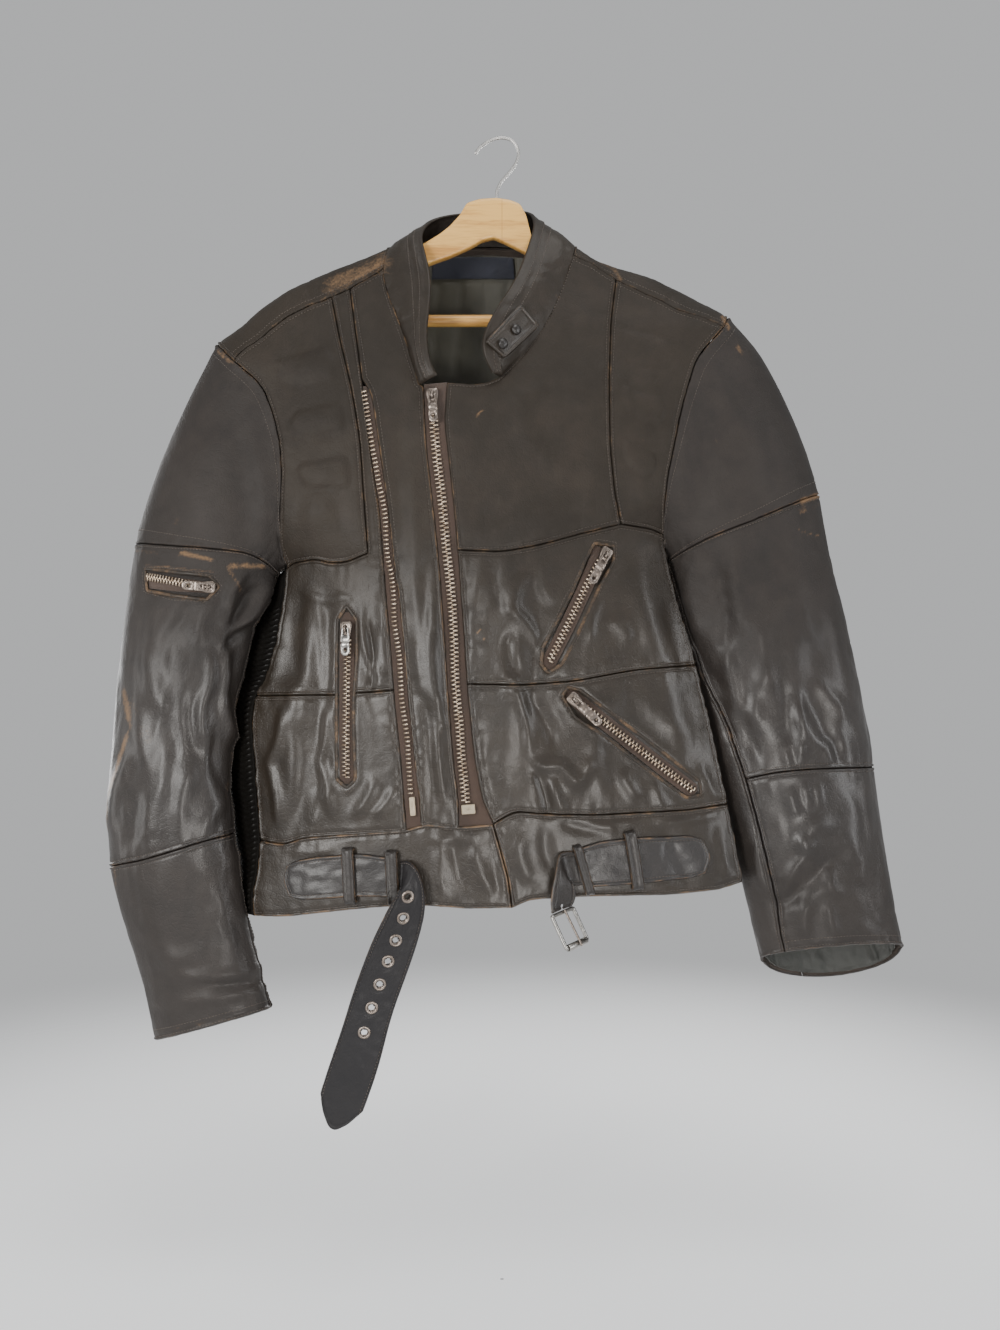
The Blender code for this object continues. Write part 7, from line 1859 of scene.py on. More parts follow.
class JACKET_OT_collar(bpy.types.Operator):
    """Builds the standing collar with its rolled edge, the tab across its end and the two snaps"""

    bl_idname = "jacket.collar"
    bl_label = "Collar and Tab"

    def execute(self, context):
        points, inside, column, high = collar_surface()
        count, rows = points.shape[:2]
        flat_points = points.reshape(-1, 3)
        faces = grid_faces(count, rows, wrap_columns=False)
        core = points.mean(1)[::6]
        faces = oriented(flat_points, faces, lambda c: facing_mean(c, core))
        u, v = sheet_of(flat_points).T
        lower = np.exp(-column / 14.0) * inside
        patchy = 0.6 + 0.5 * noise(column / 7, 0 * column, 64)
        worn = 0.35 * hump(np.arange(rows)[None], 21.0, 2.0) * patchy
        worn = np.broadcast_to(worn, inside.shape).ravel()
        # The inner face takes the grey-blue tint, most of all near its end, as a painted grey sheen.
        looks = {"worn": np.maximum(worn, stroke_wear(u, v) * (1 - inside.ravel())), "shine": 0.5,
                 "cool": np.clip(0.25 * inside + 0.9 * lower, 0, 1).ravel()}
        obj = mesh_object("collar_leather", flat_points, faces, ["Body Leather"], looks)
        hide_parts("collar")
        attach(obj, "jacket")
        wide = lengths(points[:, 12])[-1] * MM
        area = area_of(flat_points, faces) * MM * MM * COLLAR_AREA_SHARE
        line = points[:, 14], points[:, 14] - points[:, 30]
        low_line = points[:, 11], points[:, 11] - points[:, 30]
        rows_of = [(p[2:-2], unit(n)[2:-2]) for p, n in (line, low_line)]

        middle, _, _, normal = flat_of("collar_tab")
        corners = []
        for u0, v0 in TAB:
            sight = unit(world(u0, v0, 0.0) - EYE)
            corners.append(EYE + sight * np.dot(middle - EYE, normal) / np.dot(sight, normal))
        corners = np.array(corners)

        def place(flat):
            a, b = flat[:, :1] / FLAT_WIDE, flat[:, 1:] / FLAT_WIDE
            p, q, r, s = corners
            return (p * (1 - a) * (1 - b) + q * a * (1 - b) + r * a * b + s * (1 - a) * b
                    + normal * 0.8 * np.sin(np.pi * b) * np.sin(np.pi * a))

        sheet = Sheet(place, TAB_PITCH)
        sheet.lay(*[soft_line(line, 2.0, 1.0) for line in TAB_EDGES])
        sheet.settle(normal)
        x, y = sheet.flat.T
        sheet.lift(edge_form(sheet) + 0.4 * rumple(x / 9, y / 9, 66) + 0.2)
        u, v = sheet_of(sheet.base).T
        put_leather(sheet, "collar_tab", leather_looks(sheet, u, v, 1.0, 0.5, (200, 300)), thick=2.4)
        rows_of += sheet.rows()
        stitches("stitching_collar", rows_of, pitch=3.0, long=2.0)

        for name in ("tab_snap_upper", "tab_snap_lower"):
            middle, right, down, normal = flat_of(name)
            points = turned(SNAP_CAP, middle, normal, [right, down])
            faces = oriented(points, grid_faces(len(SNAP_CAP), 32), lambda c: c - middle + normal * 3)
            put(f"{name}_cap", [(points, faces)], "Snap Cap", [name])
        return {"FINISHED"}


TOOTH = np.array([(-1.05, -4.3, 0.0), (1.05, -4.3, 0.0), (0.85, -4.3, 1.5), (-0.85, -4.3, 1.5),
                  (-1.05, -0.5, 0.0), (1.05, -0.5, 0.0), (0.75, -0.5, 2.1), (-0.75, -0.5, 2.1),
                  (-0.8, 0.9, 0.2), (0.8, 0.9, 0.2), (0.6, 0.8, 1.6), (-0.6, 0.8, 1.6)])
TOOTH_FACES = [(0, 3, 2, 1), (8, 9, 10, 11)] + ring_faces(0, 4)


def teeth(place, line, lift, pitch=TOOTH_PITCH, both=True, size=1.0):
    """Zip teeth along a flat line: both sides of a closed zip take turns, half of one has only one side."""
    line = soft_line(line, 6, 1.0)
    points = place(line)
    normals = facing(place, line, TO_FRONT)
    total = lengths(points)[-1]
    parts = []
    for k in range(2 if both else 1):
        count = int(total / pitch)
        t = (np.arange(count) + 0.25 + 0.5 * k) / count
        up = unit(along_line(normals, t, at=shares(points)))
        ahead = unit(along_line(points, t + 1 / total) - along_line(points, t - 1 / total))
        side = unit(np.cross(up, ahead))
        if k:
            ahead, side = -ahead, -side
        origins = along_line(points, t) + up * lift
        parts.append(scattered(TOOTH * size, TOOTH_FACES, origins, ahead, up))
    return merged(*parts)


def ribbon(place, line, wide, lift, name):
    """A zip's woven tape along a flat line, lying a little under the leather's edges."""
    line = soft_line(line, 6, 2.0)
    ahead = unit(np.gradient(line, axis=0))
    side = np.stack([-ahead[:, 1], ahead[:, 0]], -1)
    sheet = Sheet(place, TAPE_PITCH)
    left, right = line + side * wide / 2, line - side * wide / 2
    sheet.lay(np.linspace(left[0], right[0], 8), np.linspace(left[-1], right[-1], 8), left, right)
    sheet.settle(TO_FRONT)
    x, y = sheet.flat.T
    cord = 0.7 * hump(sheet.sides - wide / 2 + 2.6, 0, 0.8)
    sheet.lift(lift + cord + 0.15 * noise(x / 6, y / 6, 67))
    put_sheet(sheet, f"{name}_tape", ["Zip Tape"], {}, thick=0.8)


def welt(place, ring, name):
    """The folded leather lip round a pocket opening: a flat roll on the outline. Returns its stitch row."""
    ring = soft_ring(ring, 1.5, 1.5)
    points, normals = place(ring), facing(place, ring, TO_FRONT)
    x, y = ring.T
    body = sweep(points + normals * 1.15, 1.7, 0.95, normals, 10, closed=True)
    worn = np.repeat(0.6 * (0.75 + 0.35 * noise(x / 9, y / 9, 68)), 10)
    faces = oriented(*body, lambda c: facing_mean(c, points))
    obj = mesh_object(name, body[0], faces, ["Edge Leather"], {"worn": np.clip(worn, 0, 1), "shine": 0.6})
    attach(obj, "jacket")
    centre = ring.mean(0)
    outer = centre + (ring - centre) + unit(ring - centre) * 4.2
    outer = np.vstack([outer, outer[:1]])
    out = facing(place, outer, TO_FRONT)
    return place(outer) + out * 1.5, out


def facing_mean(centres, line):
    """Away from the nearest point of a line."""
    near = np.argmin(np.linalg.norm(centres[:, None] - line[None], axis=2), axis=1)
    return centres - line[near]


def slider_axes(zip_name, body):
    """Hinge point, right, down and outward directions of a zip's slider, from its joint and its pull."""
    joint = next(j for j in frame["joints"] if j["child"] == body or j["name"] == f"{body}_hinge")
    point = np.array(joint["pos_m"], float) / MM
    right = unit(np.array(joint["axis"], float))
    hang = node_points(f"{zip_name}_pull").mean(0) - point
    down = unit(hang - right * np.dot(hang, right))
    up = np.cross(right, down)
    if up[1] > 0:
        right, up = -right, -up
    return point, right, down, up


def slider_parts(axes):
    """A slider: a shield with eased edges, a crowned middle and the loop that holds the pull."""
    point, right, down, up = axes
    wide, long, high = SLIDER_SIZE
    base = point - up * (high + 1.1)
    shield = around([(-wide / 2, -long / 2 + 2), (-wide / 3, -long / 2), (wide / 3, -long / 2),
                     (wide / 2, -long / 2 + 2), (wide / 2, -1.5), (wide * 0.36, long / 2),
                     (-wide * 0.36, long / 2), (-wide / 2, -1.5)], 48, 0.7)
    body = plate(shield, 0.0, high, (base, right, down, up), 0.7)
    middle = around([(-3.4, -5.6), (3.4, -5.6), (3.0, 5.4), (-3.0, 5.4)], 32, 1.0)
    crown = plate(middle, high - 0.3, high + 0.08, (base, right, down, up), 0.15)
    arch = np.array([(-3.3, 2.2), (-3.3, 4.4), (-2.6, 5.8), (-1.2, 6.5), (1.2, 6.5), (2.6, 5.8), (3.3, 4.4),
                     (3.3, 2.2)])
    path = soft_line(arch, 0.8, 0.5)
    path = base + path[:, :1] * down + path[:, 1:] * up
    loop = sweep(path, 1.3, 0.65, np.broadcast_to(np.cross(right, down), path.shape), 8)
    return [body, crown, loop]


def pull_parts(axes, reach):
    """A pull: two plates end to end, one with an eye at the hinge and one with a round hole near its end."""
    half = PULL_WIDE / 2
    thick = PULL_THICK / 2 - 0.1
    split = min(reach - 11, reach * 0.52)
    top = around([(-3.6, -0.8), (3.6, -0.8), (3.8, 4.0), (half, 8.0), (half, split), (-half, split),
                  (-half, 8.0), (-3.8, 4.0)], 48, 0.3)
    eye = around([(-1.9, 0.9), (1.9, 0.9), (1.9, 6.2), (-1.9, 6.2)], 48, 0.3)
    low = around([(-half, split), (half, split), (half, reach - 3), (half - 2.5, reach),
                  (-half + 2.5, reach), (-half, reach - 3)], 48, 0.5)
    at_eye, at_hole = (0, 3.5), (0, reach - 6)
    top, eye = matched(top, at_eye), matched(eye, at_eye)
    low, hole = matched(low, at_hole), matched(round_ring(1.8, 48, at_hole), at_hole)
    return [plate(top, -thick, thick, axes, 0.2, eye), plate(low, -thick, thick, axes, 0.2, hole)]


def matched(ring, centre):
    """A closed outline sampled at even turns about a centre, so that two outlines pair up point by point."""
    offset = ring - np.asarray(centre, float)
    turn = np.arctan2(offset[:, 1], offset[:, 0])
    order = np.argsort(turn)
    want = (np.arange(len(ring)) + 0.5) / len(ring) * 2 * np.pi - np.pi
    turn, ring = turn[order], ring[order]
    turn = np.concatenate([turn[-1:] - 2 * np.pi, turn, turn[:1] + 2 * np.pi])
    ring = np.vstack([ring[-1:], ring, ring[:1]])
    return np.stack([np.interp(want, turn, ring[:, k]) for k in range(2)], -1)


class JACKET_OT_zips(bpy.types.Operator):
    """Builds the zips: tapes, teeth, folded lips, sliders and pulls"""

    bl_idname = "jacket.zips"
    bl_label = "Zips"

    def execute(self, context):
        bands = {
            "main_zip": (L["main_left"], L["main_right"], -0.6),
            "open_zip_half": (run(L["open_left"], 386, 831), run(L["open_right"], 386, 826), -0.2),
        }
        rows = []
        for name, (left, right, lift) in bands.items():
            sheet = Sheet(on_front, BAND_TAPE_PITCH)
            sheet.lay(np.linspace(left[0], right[0], 8), np.linspace(left[-1], right[-1], 8), left, right)
            sheet.settle(TO_FRONT)
            u, v = sheet.flat.T
            sheet.lift(lift + 0.25 * noise(u / 6, v / 9, 69) + 0.4 * folds(u, v, FRONT_FOLDS))
            put_sheet(sheet, f"{name}_tape", ["Zip Tape"], {}, thick=0.9)
        put("main_zip_teeth", [teeth(on_front, MAIN_TEETH, 0.8)], "Bronze Teeth")
        put("open_zip_teeth", [teeth(on_front, OPEN_TEETH, 1.0, both=False)], "Bronze Teeth")
        ends = []
        for u, v, wide, tall in ((468.5, 809, 6.5, 4.5), (413, 806, 2.6, 9.0)):
            at = on_front([(u, v)])[0]
            normal = facing(on_front, [(u, v)], TO_FRONT)[0]
            down = unit(on_front([(u + 0.6, v + 8)])[0] - at)
            axes = (at, np.cross(down, normal), down, normal)
            box = around([(-wide, -tall), (wide, -tall), (wide, tall), (-wide, tall)], 32, 0.5)
            ends.append(plate(box, 0.4, 4.2, axes, 0.5))
        put("zip_ends", ends, "Pale Resin")

        sleeve = SLEEVES["right"]
        for name, (*lines, pitch) in POCKET_ZIPS.items():
            place = on_front
            if name == "sleeve_pocket_zip":
                place, lines = sleeve.place, [sleeve.locate(line) for line in lines]
            line, ring, spine = [np.array(line, float) for line in lines]
            ribbon(place, spine, TAPE_WIDE, -0.75, name)
            put(f"{name}_teeth", [teeth(place, line, 0.1, pitch, size=0.9)], "Bronze Teeth")
            rows.append(welt(place, ring, f"{name}_lip"))
        arrow = soft_line([(339, 787), (347, 796), (355, 787)], 1.0, 1.0)
        rows.append((on_front(arrow) + [0, -1.2, 0], facing(on_front, arrow, TO_FRONT)))
        stitches("stitching_pockets", rows)

        for name, (body, reach) in SLIDERS.items():
            axes = slider_axes(name, body)
            look = "Bright Metal" if name == "side_pocket_zip" else "Antique Metal"
            put(f"{name}_slider_body", slider_parts(axes), "Antique Metal", [f"{name}_slider"])
            put(f"{name}_pull_tab", pull_parts(axes, reach), look, [f"{name}_pull"], body)
        return {"FINISHED"}


def strap_place(rows, surface, tip=None):
    """A hanging strap between two edge lines: flat x runs across it to FLAT_WIDE, flat y down its rows."""
    rows = np.array(rows, float)
    count = len(rows) - 1
    fine = np.linspace(0, count, count * 14 + 1)
    left = world(rows[:, 0], rows[:, 1], rows[:, 2] + surface)
    right = world(rows[:, 3], rows[:, 4], rows[:, 5] + surface)
    if tip is not None:
        left[-1], right[-1] = tip
    smooth = [blurred_line(along_line(side, fine, at=np.arange(count + 1)), 6) for side in (left, right)]

    def place(flat):
        flat = np.asarray(flat, float)
        s = np.clip(flat[:, 1] / STRAP_STEP, 0, count)
        l, r = (along_line(side, s, at=fine) for side in smooth)
        over = flat[:, 1:] / STRAP_STEP - s[:, None]
        end_way = (smooth[0][-1] + smooth[1][-1] - smooth[0][-6] - smooth[1][-6]) / 2 / (fine[-1] - fine[-6])
        return l + (r - l) * flat[:, :1] / FLAT_WIDE + over * end_way

    return place, count * STRAP_STEP


def strap_looks(sheet, worn=0.7, wide=1.2, shine=0.8, cool=0.35):
    """A strap that is polished all over and bare along its edges, with a grey-blue tint that is partly a
    cooler tone and partly a painted grey sheen.
    """
    return {"worn": worn * np.exp(-sheet.gap / wide), "shine": shine, "cool": cool}


class JACKET_OT_belt(bpy.types.Operator):
    """Builds the belt: the strap on each side, the loose tail with its eyelets, and the loops"""

    bl_idname = "jacket.belt"
    bl_label = "Belt and Loops"

    def execute(self, context):
        rows = []
        outlines = {
            "belt_strap_right": ([(288, 866), (296, 860), (320, 856), (360, 853), (398, 858)],
                                 [(291, 896), (303, 900), (330, 898), (360, 896), (396, 897)],
                                 [(288, 866), (284, 880), (291, 896)], [(398, 858), (396, 897)]),
            "belt_strap_left": ([(574, 849), (600, 841), (637, 837), (690, 835), (702, 840)],
                                [(584, 887), (641, 883), (690, 878), (704, 873)],
                                [(574, 849), (584, 887)], [(702, 840), (710, 857), (704, 873)]),
        }
        top = LEATHER / 2 + OVER_GAP + BELT_THICK
        end_rows = self.turned_end()
        for name, lines in outlines.items():
            sheet = Sheet(on_front, STRAP_PITCH)
            sheet.lay(*[soft_line(line, 4) for line in lines])
            sheet.settle(TO_FRONT)
            u, v = sheet.flat.T
            calm = top - SKIN_OUT + 0.9 * rumple(u / 15, v / 9, 73) + 0.2 * rumple(u / 6, v / 5, 74)
            sheet.lift(edge_form(sheet) + calm)
            # The straps take the grey-blue tint: partly a cooler tone, partly a painted grey sheen.
            looks = leather_looks(sheet, u, v, 1.0, 0.75, cool=0.45)
            put_leather(sheet, name, looks, thick=2.6)
            rows += sheet.rows()
        rows += end_rows + self.tail()
        for name, (head, foot, wide) in LOOPS.items():
            self.loop(name, head, foot, wide)
        stitches("stitching_belt", rows)
        return {"FINISHED"}

    def turned_end(self):
        """The end of the left strap that leaves its loop and turns down to the buckle's bar."""
        surface = on_front([BUCKLE_STRAP[0][0], BUCKLE_STRAP[0][2]])[:, 1].mean()
        a, b, _, d = (world(*p) for p in BUCKLE)
        bar = unit(b - a)
        down = unit((d - a) - bar * np.dot(d - a, bar))
        stop = down * (BUCKLE_WIRE / 2 * np.sqrt(2) + SWEPT_GAP)
        table = [(*p, q, *r, t) for p, q, r, t in BUCKLE_STRAP]
        place, long = strap_place(table, surface, (a + bar * 2 - stop, b - bar * 2 - stop))
        t = np.linspace(0, 1, 60)
        sheet = Sheet(place, END_PITCH)
        sheet.lay(*box(t * FLAT_WIDE, t * long))
        sheet.settle(lambda p: p - p.mean(0) + [0, -60.0, 0])
        x, y = sheet.flat.T
        sheet.lift(edge_form(sheet) + 0.3 * rumple(x / 9, y / 9, 75) + BUCKLE_STRAP_THICK / 2 - SKIN_OUT)
        slot = (np.abs(x - FLAT_WIDE / 2) < 4.5) & (y > long - 18)
        sheet.faces = sheet.faces[~slot[sheet.faces].all(1)]
        put_leather(sheet, "belt_strap_end", strap_looks(sheet), thick=2.3, replaces=["belt_strap_left"])
        return sheet.rows("lr")

    def tail(self):
        """The belt's loose end: a strap that twists out of its loop and hangs, pierced by seven eyelets."""
        surface = on_front([TAIL_ROOT])[0, 1]
        table = [(*a, ya, *b, yb) for a, b, ya, yb in TAIL]
        place, long = strap_place(table, surface)
        t = np.linspace(0, 1, 120)
        tip = soft_line([(0, long - 4), (6, long + 8), (16, long + 19), (22, long + 20), (31, long + 12),
                         (40, long - 2)], 3, 1.0)
        sheet = Sheet(place, TAIL_PITCH)
        top, _, left, _ = box(t * FLAT_WIDE, t * (long - 4))
        sheet.lay(top, tip, left, box(t * FLAT_WIDE, t * (long - 2))[3])
        sheet.settle(lambda p: p - p.mean(0) + [0, -400.0, 0])
        x, y = sheet.flat.T
        middle = sheet_of(place(np.stack([np.full(600, FLAT_WIDE / 2), np.linspace(0, long, 600)], -1)))
        downs = [np.argmin(np.linalg.norm(middle - spot, axis=1)) / 599 * long for spot in EYELETS]
        at = np.array([(FLAT_WIDE / 2, y0) for y0 in downs])
        where = place(at)
        gap = np.linalg.norm(sheet.base[:, None] - where[None], axis=2).min(1)
        form = edge_form(sheet) + 0.5 * rumple(x / 9, y / 12, 76) + 0.25 * rumple(x / 4, y / 5, 77)
        form = form + BELT_THICK / 2 - SKIN_OUT - 0.35 * hump(gap, 7.0, 1.2)
        sheet.lift(form)
        sheet.faces = sheet.faces[~(gap < 5.0)[sheet.faces].all(1)]
        put_leather(sheet, "belt_tail", strap_looks(sheet, 0.6, 1.3, 0.5, 0.45), "Belt Leather", 2.6)
        parts = []
        for spot, middle in zip(at, where):
            nearby = place(spot + np.array([(4, 0), (-4, 0), (0, 4), (0, -4)], float))
            right, down = unit(nearby[0] - nearby[1]), unit(nearby[2] - nearby[3])
            up = unit(np.cross(right, down))
            up = up if up[1] < 0 else -up
            down = np.cross(up, right)
            parts.append((turned(EYELET, middle, up, [right, down], 28),
                          grid_faces(len(EYELET), 28, wrap_rows=True)))
        put("belt_eyelets", parts, "Antique Metal")
        return sheet.rows("lr")

    def loop(self, name, head, foot, wide):
        """A belt loop: a strap sewn down at both ends that stands clear over the belt."""
        spots = np.linspace(head, foot, 5)
        where = on_front(spots)
        normal = unit(facing(on_front, spots, TO_FRONT).mean(0))
        down = unit(where[-1] - where[0])
        side = unit(np.cross(down, normal))
        normal = np.cross(side, down)
        low = LEATHER / 2 + OVER_GAP + BELT_THICK + 1.8 + LEATHER / 2
        long = np.dot(where[-1] - where[0], down)
        bump = np.dot(where - where[0], normal).max()
        top = low + LOOP_THICK + bump
        line = soft_line([(0.4, 1.6), (0.2, top - 2.4), (2.0, top), (long - 2.0, top),
                          (long - 0.2, top - 2.4), (long - 0.4, 1.6)], 1.4, 0.6)
        total = lengths(line)[-1]

        def place(flat):
            at = along_line(line, flat[:, 1] / total)
            return where[0] + down * at[:, :1] + normal * at[:, 1:] + side * flat[:, :1]

        t = np.linspace(0, 1, 40)
        sheet = Sheet(place, END_PITCH)
        sheet.lay(*box((t - 0.5) * wide, t * total))
        sheet.settle(normal)
        x, y = sheet.flat.T
        sheet.lift(edge_form(sheet) - SKIN_OUT + 0.3 * rumple(x / 5, y / 7, 78))
        put_leather(sheet, name, strap_looks(sheet), thick=1.8)


class JACKET_OT_buckle(bpy.types.Operator):
    """Builds the roller buckle: its frame, the roller on the far side and the prong"""

    bl_idname = "jacket.buckle"
    bl_label = "Buckle"

    def execute(self, context):
        a, b, _, d = (world(*p) for p in BUCKLE)
        bar = unit(b - a)
        down = (d - a) - bar * np.dot(d - a, bar)
        long = np.linalg.norm(down)
        down = down / long
        normal = np.cross(bar, down)
        normal = -normal if normal[1] > 0 else normal
        wide = np.linalg.norm(b - a)
        half = BUCKLE_WIRE / 2

        ring = around([(0, 0), (wide, 0), (wide, long), (0, long)], 96, 1.2)
        path = a + ring[:, :1] * bar + ring[:, 1:] * down
        body = sweep(path, half * 1.25, half * 1.25, np.broadcast_to(normal, path.shape), 14, closed=True)
        put("buckle_frame_wire", [body], "Bright Metal", ["buckle_frame"], "buckle")

        first, last = half + 0.6, wide - half - 0.6
        profile = [(2.60, first), (3.1, first), (3.3, first + 0.3), (3.3, last - 0.3), (3.1, last),
                   (2.60, last), (2.62, last - 0.5), (2.62, first + 0.5)]
        points = turned(profile, a + down * long, bar, [down, normal])
        tube = points, grid_faces(len(profile), 32, wrap_rows=True)
        put("buckle_roller_tube", [tube], "Bright Metal", ["buckle_roller"], "roller")

        side = PRONG_THICK / 2
        start = half * np.sqrt(2) + SWEPT_GAP + side
        end = ROLLER_ROUND / 2 + side + 0.5
        line = soft_line([(-half + 1.0, start), (3, start), (long - 2, end), (long + 2.2, end)], 2.0, 1.0)
        path = a + bar * wide / 2 + line[:, :1] * down + line[:, 1:] * normal
        prong = capsule(path, side * 0.95, bar, 12)
        put("buckle_prong_rod", [prong], "Antique Metal", ["buckle_prong"], "prong")
        return {"FINISHED"}


class JACKET_OT_lining(bpy.types.Operator):
    """Builds the quilted lining behind the neck, the bare label and the lining seen in the left cuff"""

    bl_idname = "jacket.lining"
    bl_label = "Lining and Label"

    def execute(self, context):
        def behind(off):
            return lambda flat: on_back(flat) + facing(on_back, flat, TO_FRONT) * off

        sheet = Sheet(behind(LINING_BACK + LINING), LINING_PITCH)
        sheet.lay(*[soft_line(line, soft) for line, soft in BACK_LINING])
        sheet.settle(TO_FRONT)
        u, v = sheet.flat.T
        seam = np.abs((u - 461 + 0.06 * (v - 300) + 11.5) % 23 - 11.5)
        height = 2.6 * (1 - np.exp(-seam / 2.4)) + 0.9 * rumple(u / 13, v / 20, 81)
        height = height + 0.3 * rumple(u / 6, v / 7, 82)
        height = height * (1 - smooth_step(inside_depth(sheet.flat, LABEL_OUTLINE), -5, 0))
        sheet.lift(height - 1.0)
        put_sheet(sheet, "back_lining_satin", ["Lining Satin"], {}, thick=0.8)

        sheet = Sheet(behind(LINING_BACK + LINING + LABEL_OFF), LABEL_PITCH)
        a, b, c, d = LABEL_OUTLINE
        sheet.lay(*[soft_line(line, 1, 1) for line in ([a, b], [d, c], [a, d], [b, c])])
        sheet.settle(TO_FRONT)
        u, v = sheet.flat.T
        sheet.lift(0.5 + 0.7 * rumple(u / 16, v / 12, 83) - 0.3 * np.exp(-sheet.gap))
        put_sheet(sheet, "neck_label_cloth", ["Label Weave"], {}, thick=0.6)

        sleeve = SLEEVES["left"]
        foot = sleeve.last * STATION_STEP

        def inside(flat):
            outer = sleeve.place(flat)
            s = flat[:, 1] / STATION_STEP
            axis = (sleeve.bare(np.zeros(len(s)), s) + sleeve.bare(np.full(len(s), 0.5), s)) / 2
            return outer + unit(axis - outer) * CUFF_LINING_IN

        turn = np.linspace(0, SLEEVE_ROUND, 160)
        sheet = Sheet(inside, CUFF_PITCH)
        drop = np.linspace(foot - 44, foot - 2, 22)
        sheet.lay(*box(turn, drop), "tb", over=np.linspace(0, 1, 121))
        sheet.settle(lambda p: sleeve.outward(p) * -1)
        x, y = sheet.flat.T
        wrap = np.sin(np.clip(x / SLEEVE_ROUND, 0, 1) * np.pi).clip(0) ** 0.5
        sheet.lift(wrap * (4.0 * rumple(x / 10, y / 50, 84) + 2.2 * rumple(x / 15, y / 13, 85) + 3.2) - 0.3)
        # The lining in the cuff is the darker satin: painted shade inside the sleeve's end.
        put_sheet(sheet, "cuff_lining_left_satin", ["Cuff Satin"], {}, thick=0.8)
        return {"FINISHED"}


class JACKET_OT_hanger(bpy.types.Operator):
    """Builds the wooden hanger, its trouser bar and its wire hook"""

    bl_idname = "jacket.hanger"
    bl_label = "Hanger"

    def execute(self, context):
        outline = np.array(WOOD, float)
        upper = np.vstack([outline[33:], outline[:15]])
        lower = outline[15:33][::-1]
        count = 260
        upper = soft_line(upper, 1.6, 1.0)
        lower = soft_line(lower, 1.2, 1.0)
        t = np.linspace(0, 1, count)
        upper, lower = along_line(upper, t), along_line(lower, t)
        ease = np.sqrt(1 - (1 - np.clip(np.minimum(t, 1 - t) * 150, 0.01, 1)) ** 2)[:, None]
        middle = (upper + lower) / 2
        turn = np.arange(32) / 32 * 2 * np.pi
        c, n = np.cos(turn), np.sin(turn)
        rise, out = np.sign(c) * np.abs(c) ** 0.3, np.sign(n) * np.abs(n) ** 0.3
        spots = middle[:, None] + (upper - middle)[:, None] * rise[None, :, None] * ease[:, None]
        depth = np.broadcast_to(out[None] * HANGER_THICK / 2, spots.shape[:2]) * ease
        flat = world(spots[..., 0], spots[..., 1], 0.0)
        flat[..., 1] = depth
        points = flat.reshape(-1, 3)
        faces = oriented(points, grid_faces(count, 32), lambda c: facing_mean(c, flat.mean(1)))
        put("hanger_wood_shaped", [(points, faces)], "Hanger Wood", ["hanger_wood"])

        ends = np.array([world(u, BAR_HEIGHT, 0.0) for u in BAR_ENDS])
        path = np.linspace(ends[0] + [1, 0, 0], ends[1] - [1, 0, 0], 40)
        bar = sweep(path, TROUSER_BAR / 2, TROUSER_BAR / 2, None, 32)
        put("trouser_bar_turned", [bar], "Hanger Wood", ["trouser_bar"])

        hook = world(*soft_line(HOOK, 2.2, 1.0).T, 0.0)
        wire = capsule(hook, HOOK_WIRE / 2, TO_FRONT, 16)
        put("hanger_hook_wire", [wire], "Hook Wire", ["hanger_hook"])
        return {"FINISHED"}


class JACKET_OT_stage(bpy.types.Operator):
    """Builds the plain pale stage: floor, soft lights, even surroundings and the camera"""

    bl_idname = "jacket.stage"
    bl_label = "Stage"

    def execute(self, context):
        scene = context.scene
        turn = np.linspace(0, 2 * np.pi, 64, endpoint=False)
        radii = np.array([0.002, 0.4, 0.9, 1.6]) / MM
        rings = np.stack([np.outer(radii, np.cos(turn)), np.outer(radii, np.sin(turn)),
                          np.zeros((4, 64))], -1).reshape(-1, 3)
        faces = grid_faces(4, 64)
        floor = mesh_object("floor", rings, oriented(rings, faces, lambda c: np.broadcast_to(UP, c.shape)),
                            ["Pale Floor"])
        floor.location = (0.0, 0.0, scene.jacket_sizes.floor_drop * -1)
        middle = Vector(LIGHT_AIM)
        for name, place, size, power, tint in LIGHTS:
            data = bpy.data.lights.new(name, "AREA")
            data.shape = "RECTANGLE"
            data.size, data.size_y = size
            data.energy = power * scene.jacket_sizes.light
            data.color = tint
            light = bpy.data.objects.new(name, data)
            light.location = place
            light.rotation_euler = (middle - light.location).to_track_quat("-Z", "Y").to_euler()
            scene.collection.objects.link(light)
        world_data = bpy.data.worlds.new("pale")
        world_data.use_nodes = True
        back = world_data.node_tree.nodes["Background"]
        back.inputs[0].default_value = tuple(scene.jacket_colours.floor)
        back.inputs[1].default_value = scene.jacket_sizes.surround
        scene.world = world_data
        data = bpy.data.cameras.new("photo_angle")
        data.sensor_width = SENSOR
        data.lens = SENSOR * VIEW_DISTANCE / SHEET_HIGH
        camera = bpy.data.objects.new("photo_angle", data)
        camera.location = EYE * MM
        camera.rotation_euler = (np.pi / 2, 0.0, 0.0)
        scene.collection.objects.link(camera)
        scene.camera = camera
        return {"FINISHED"}


class JacketSizes(bpy.types.PropertyGroup):
    """Sizes and strengths used by the stage"""

    floor_drop: bpy.props.FloatProperty(
        name="Floor Drop", description="How far the floor lies below the hook", default=1.14, unit="LENGTH")
    light: bpy.props.FloatProperty(
        name="Light", description="Strength of every light, as a share", default=1.0, subtype="FACTOR")
    surround: bpy.props.FloatProperty(
        name="Surround", description="Strength of the even light from all round", default=0.62,
        subtype="FACTOR")


def colour(name, description, *tint):
    """A colour property with its default."""
    return bpy.props.FloatVectorProperty(
        name=name, description=description, size=4, subtype="COLOR", default=(*tint, 1.0))


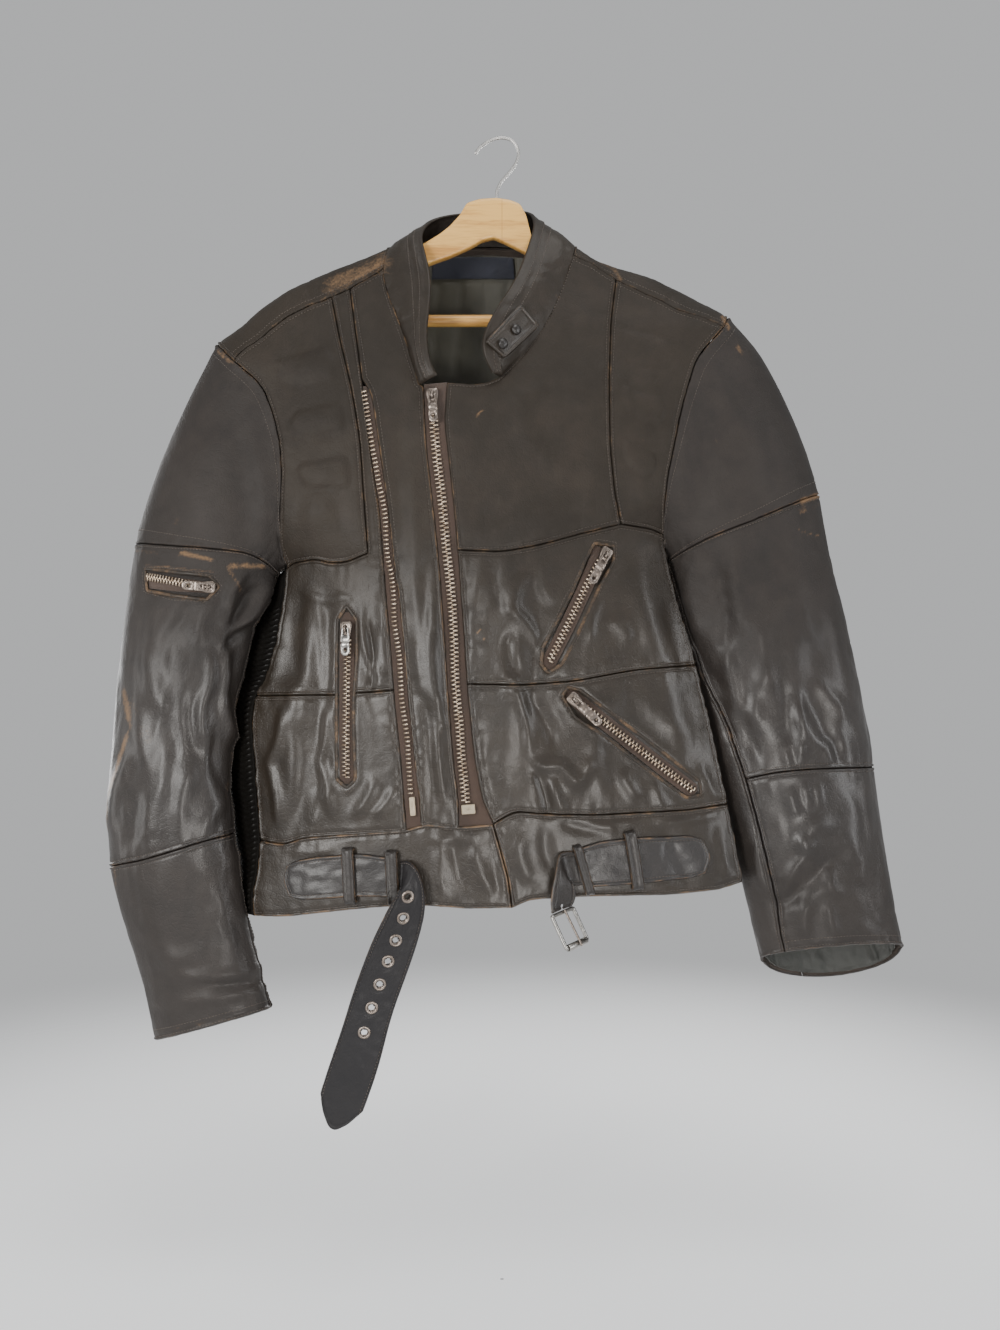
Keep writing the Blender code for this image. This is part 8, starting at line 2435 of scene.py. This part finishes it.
class JacketColours(bpy.types.PropertyGroup):
    """Main colours of the jacket"""

    body: colour("Body", "Dyed leather of the body", 0.027, 0.0205, 0.0148)
    sleeve: colour("Sleeves", "Dyed leather of the sleeves", 0.029, 0.0230, 0.0190)
    bare: colour("Bare", "Leather where the dye is rubbed off", 0.175, 0.105, 0.055)
    lining: colour("Lining", "Satin lining", 0.055, 0.051, 0.035)
    label: colour("Label", "Woven label", 0.010, 0.013, 0.028)
    wood: colour("Wood", "Pale wood of the hanger", 0.72, 0.42, 0.115)
    floor: colour("Stage", "Floor and surroundings", 0.83, 0.84, 0.85)


OPERATORS = (
    JACKET_OT_front, JACKET_OT_back, JACKET_OT_shoulders_and_sides, JACKET_OT_sleeves, JACKET_OT_collar,
    JACKET_OT_zips, JACKET_OT_belt, JACKET_OT_buckle, JACKET_OT_lining, JACKET_OT_hanger, JACKET_OT_stage,
)


class JACKET_PT_build(bpy.types.Panel):
    """Lists the steps that build the jacket"""

    bl_label = "Jacket"
    bl_idname = "JACKET_PT_build"
    bl_space_type = "VIEW_3D"
    bl_region_type = "UI"
    bl_category = "Jacket"

    def draw(self, context):
        layout = self.layout
        for group in (context.scene.jacket_sizes, context.scene.jacket_colours):
            for key in group.__annotations__:
                layout.prop(group, key)
        for operator in OPERATORS:
            layout.operator(operator.bl_idname)


CLASSES = (JacketSizes, JacketColours, *OPERATORS, JACKET_PT_build)


def register():
    for cls in CLASSES:
        bpy.utils.register_class(cls)
    bpy.types.Scene.jacket_sizes = bpy.props.PointerProperty(type=JacketSizes)
    bpy.types.Scene.jacket_colours = bpy.props.PointerProperty(type=JacketColours)


def unregister():
    del bpy.types.Scene.jacket_colours
    del bpy.types.Scene.jacket_sizes
    for cls in reversed(CLASSES):
        bpy.utils.unregister_class(cls)


def main():
    register()
    bpy.ops.jacket.front()
    bpy.ops.jacket.back()
    bpy.ops.jacket.shoulders_and_sides()
    bpy.ops.jacket.sleeves()
    bpy.ops.jacket.collar()
    bpy.ops.jacket.zips()
    bpy.ops.jacket.belt()
    bpy.ops.jacket.buckle()
    bpy.ops.jacket.lining()
    bpy.ops.jacket.hanger()
    bpy.ops.jacket.stage()


if __name__ == "__main__":
    main()
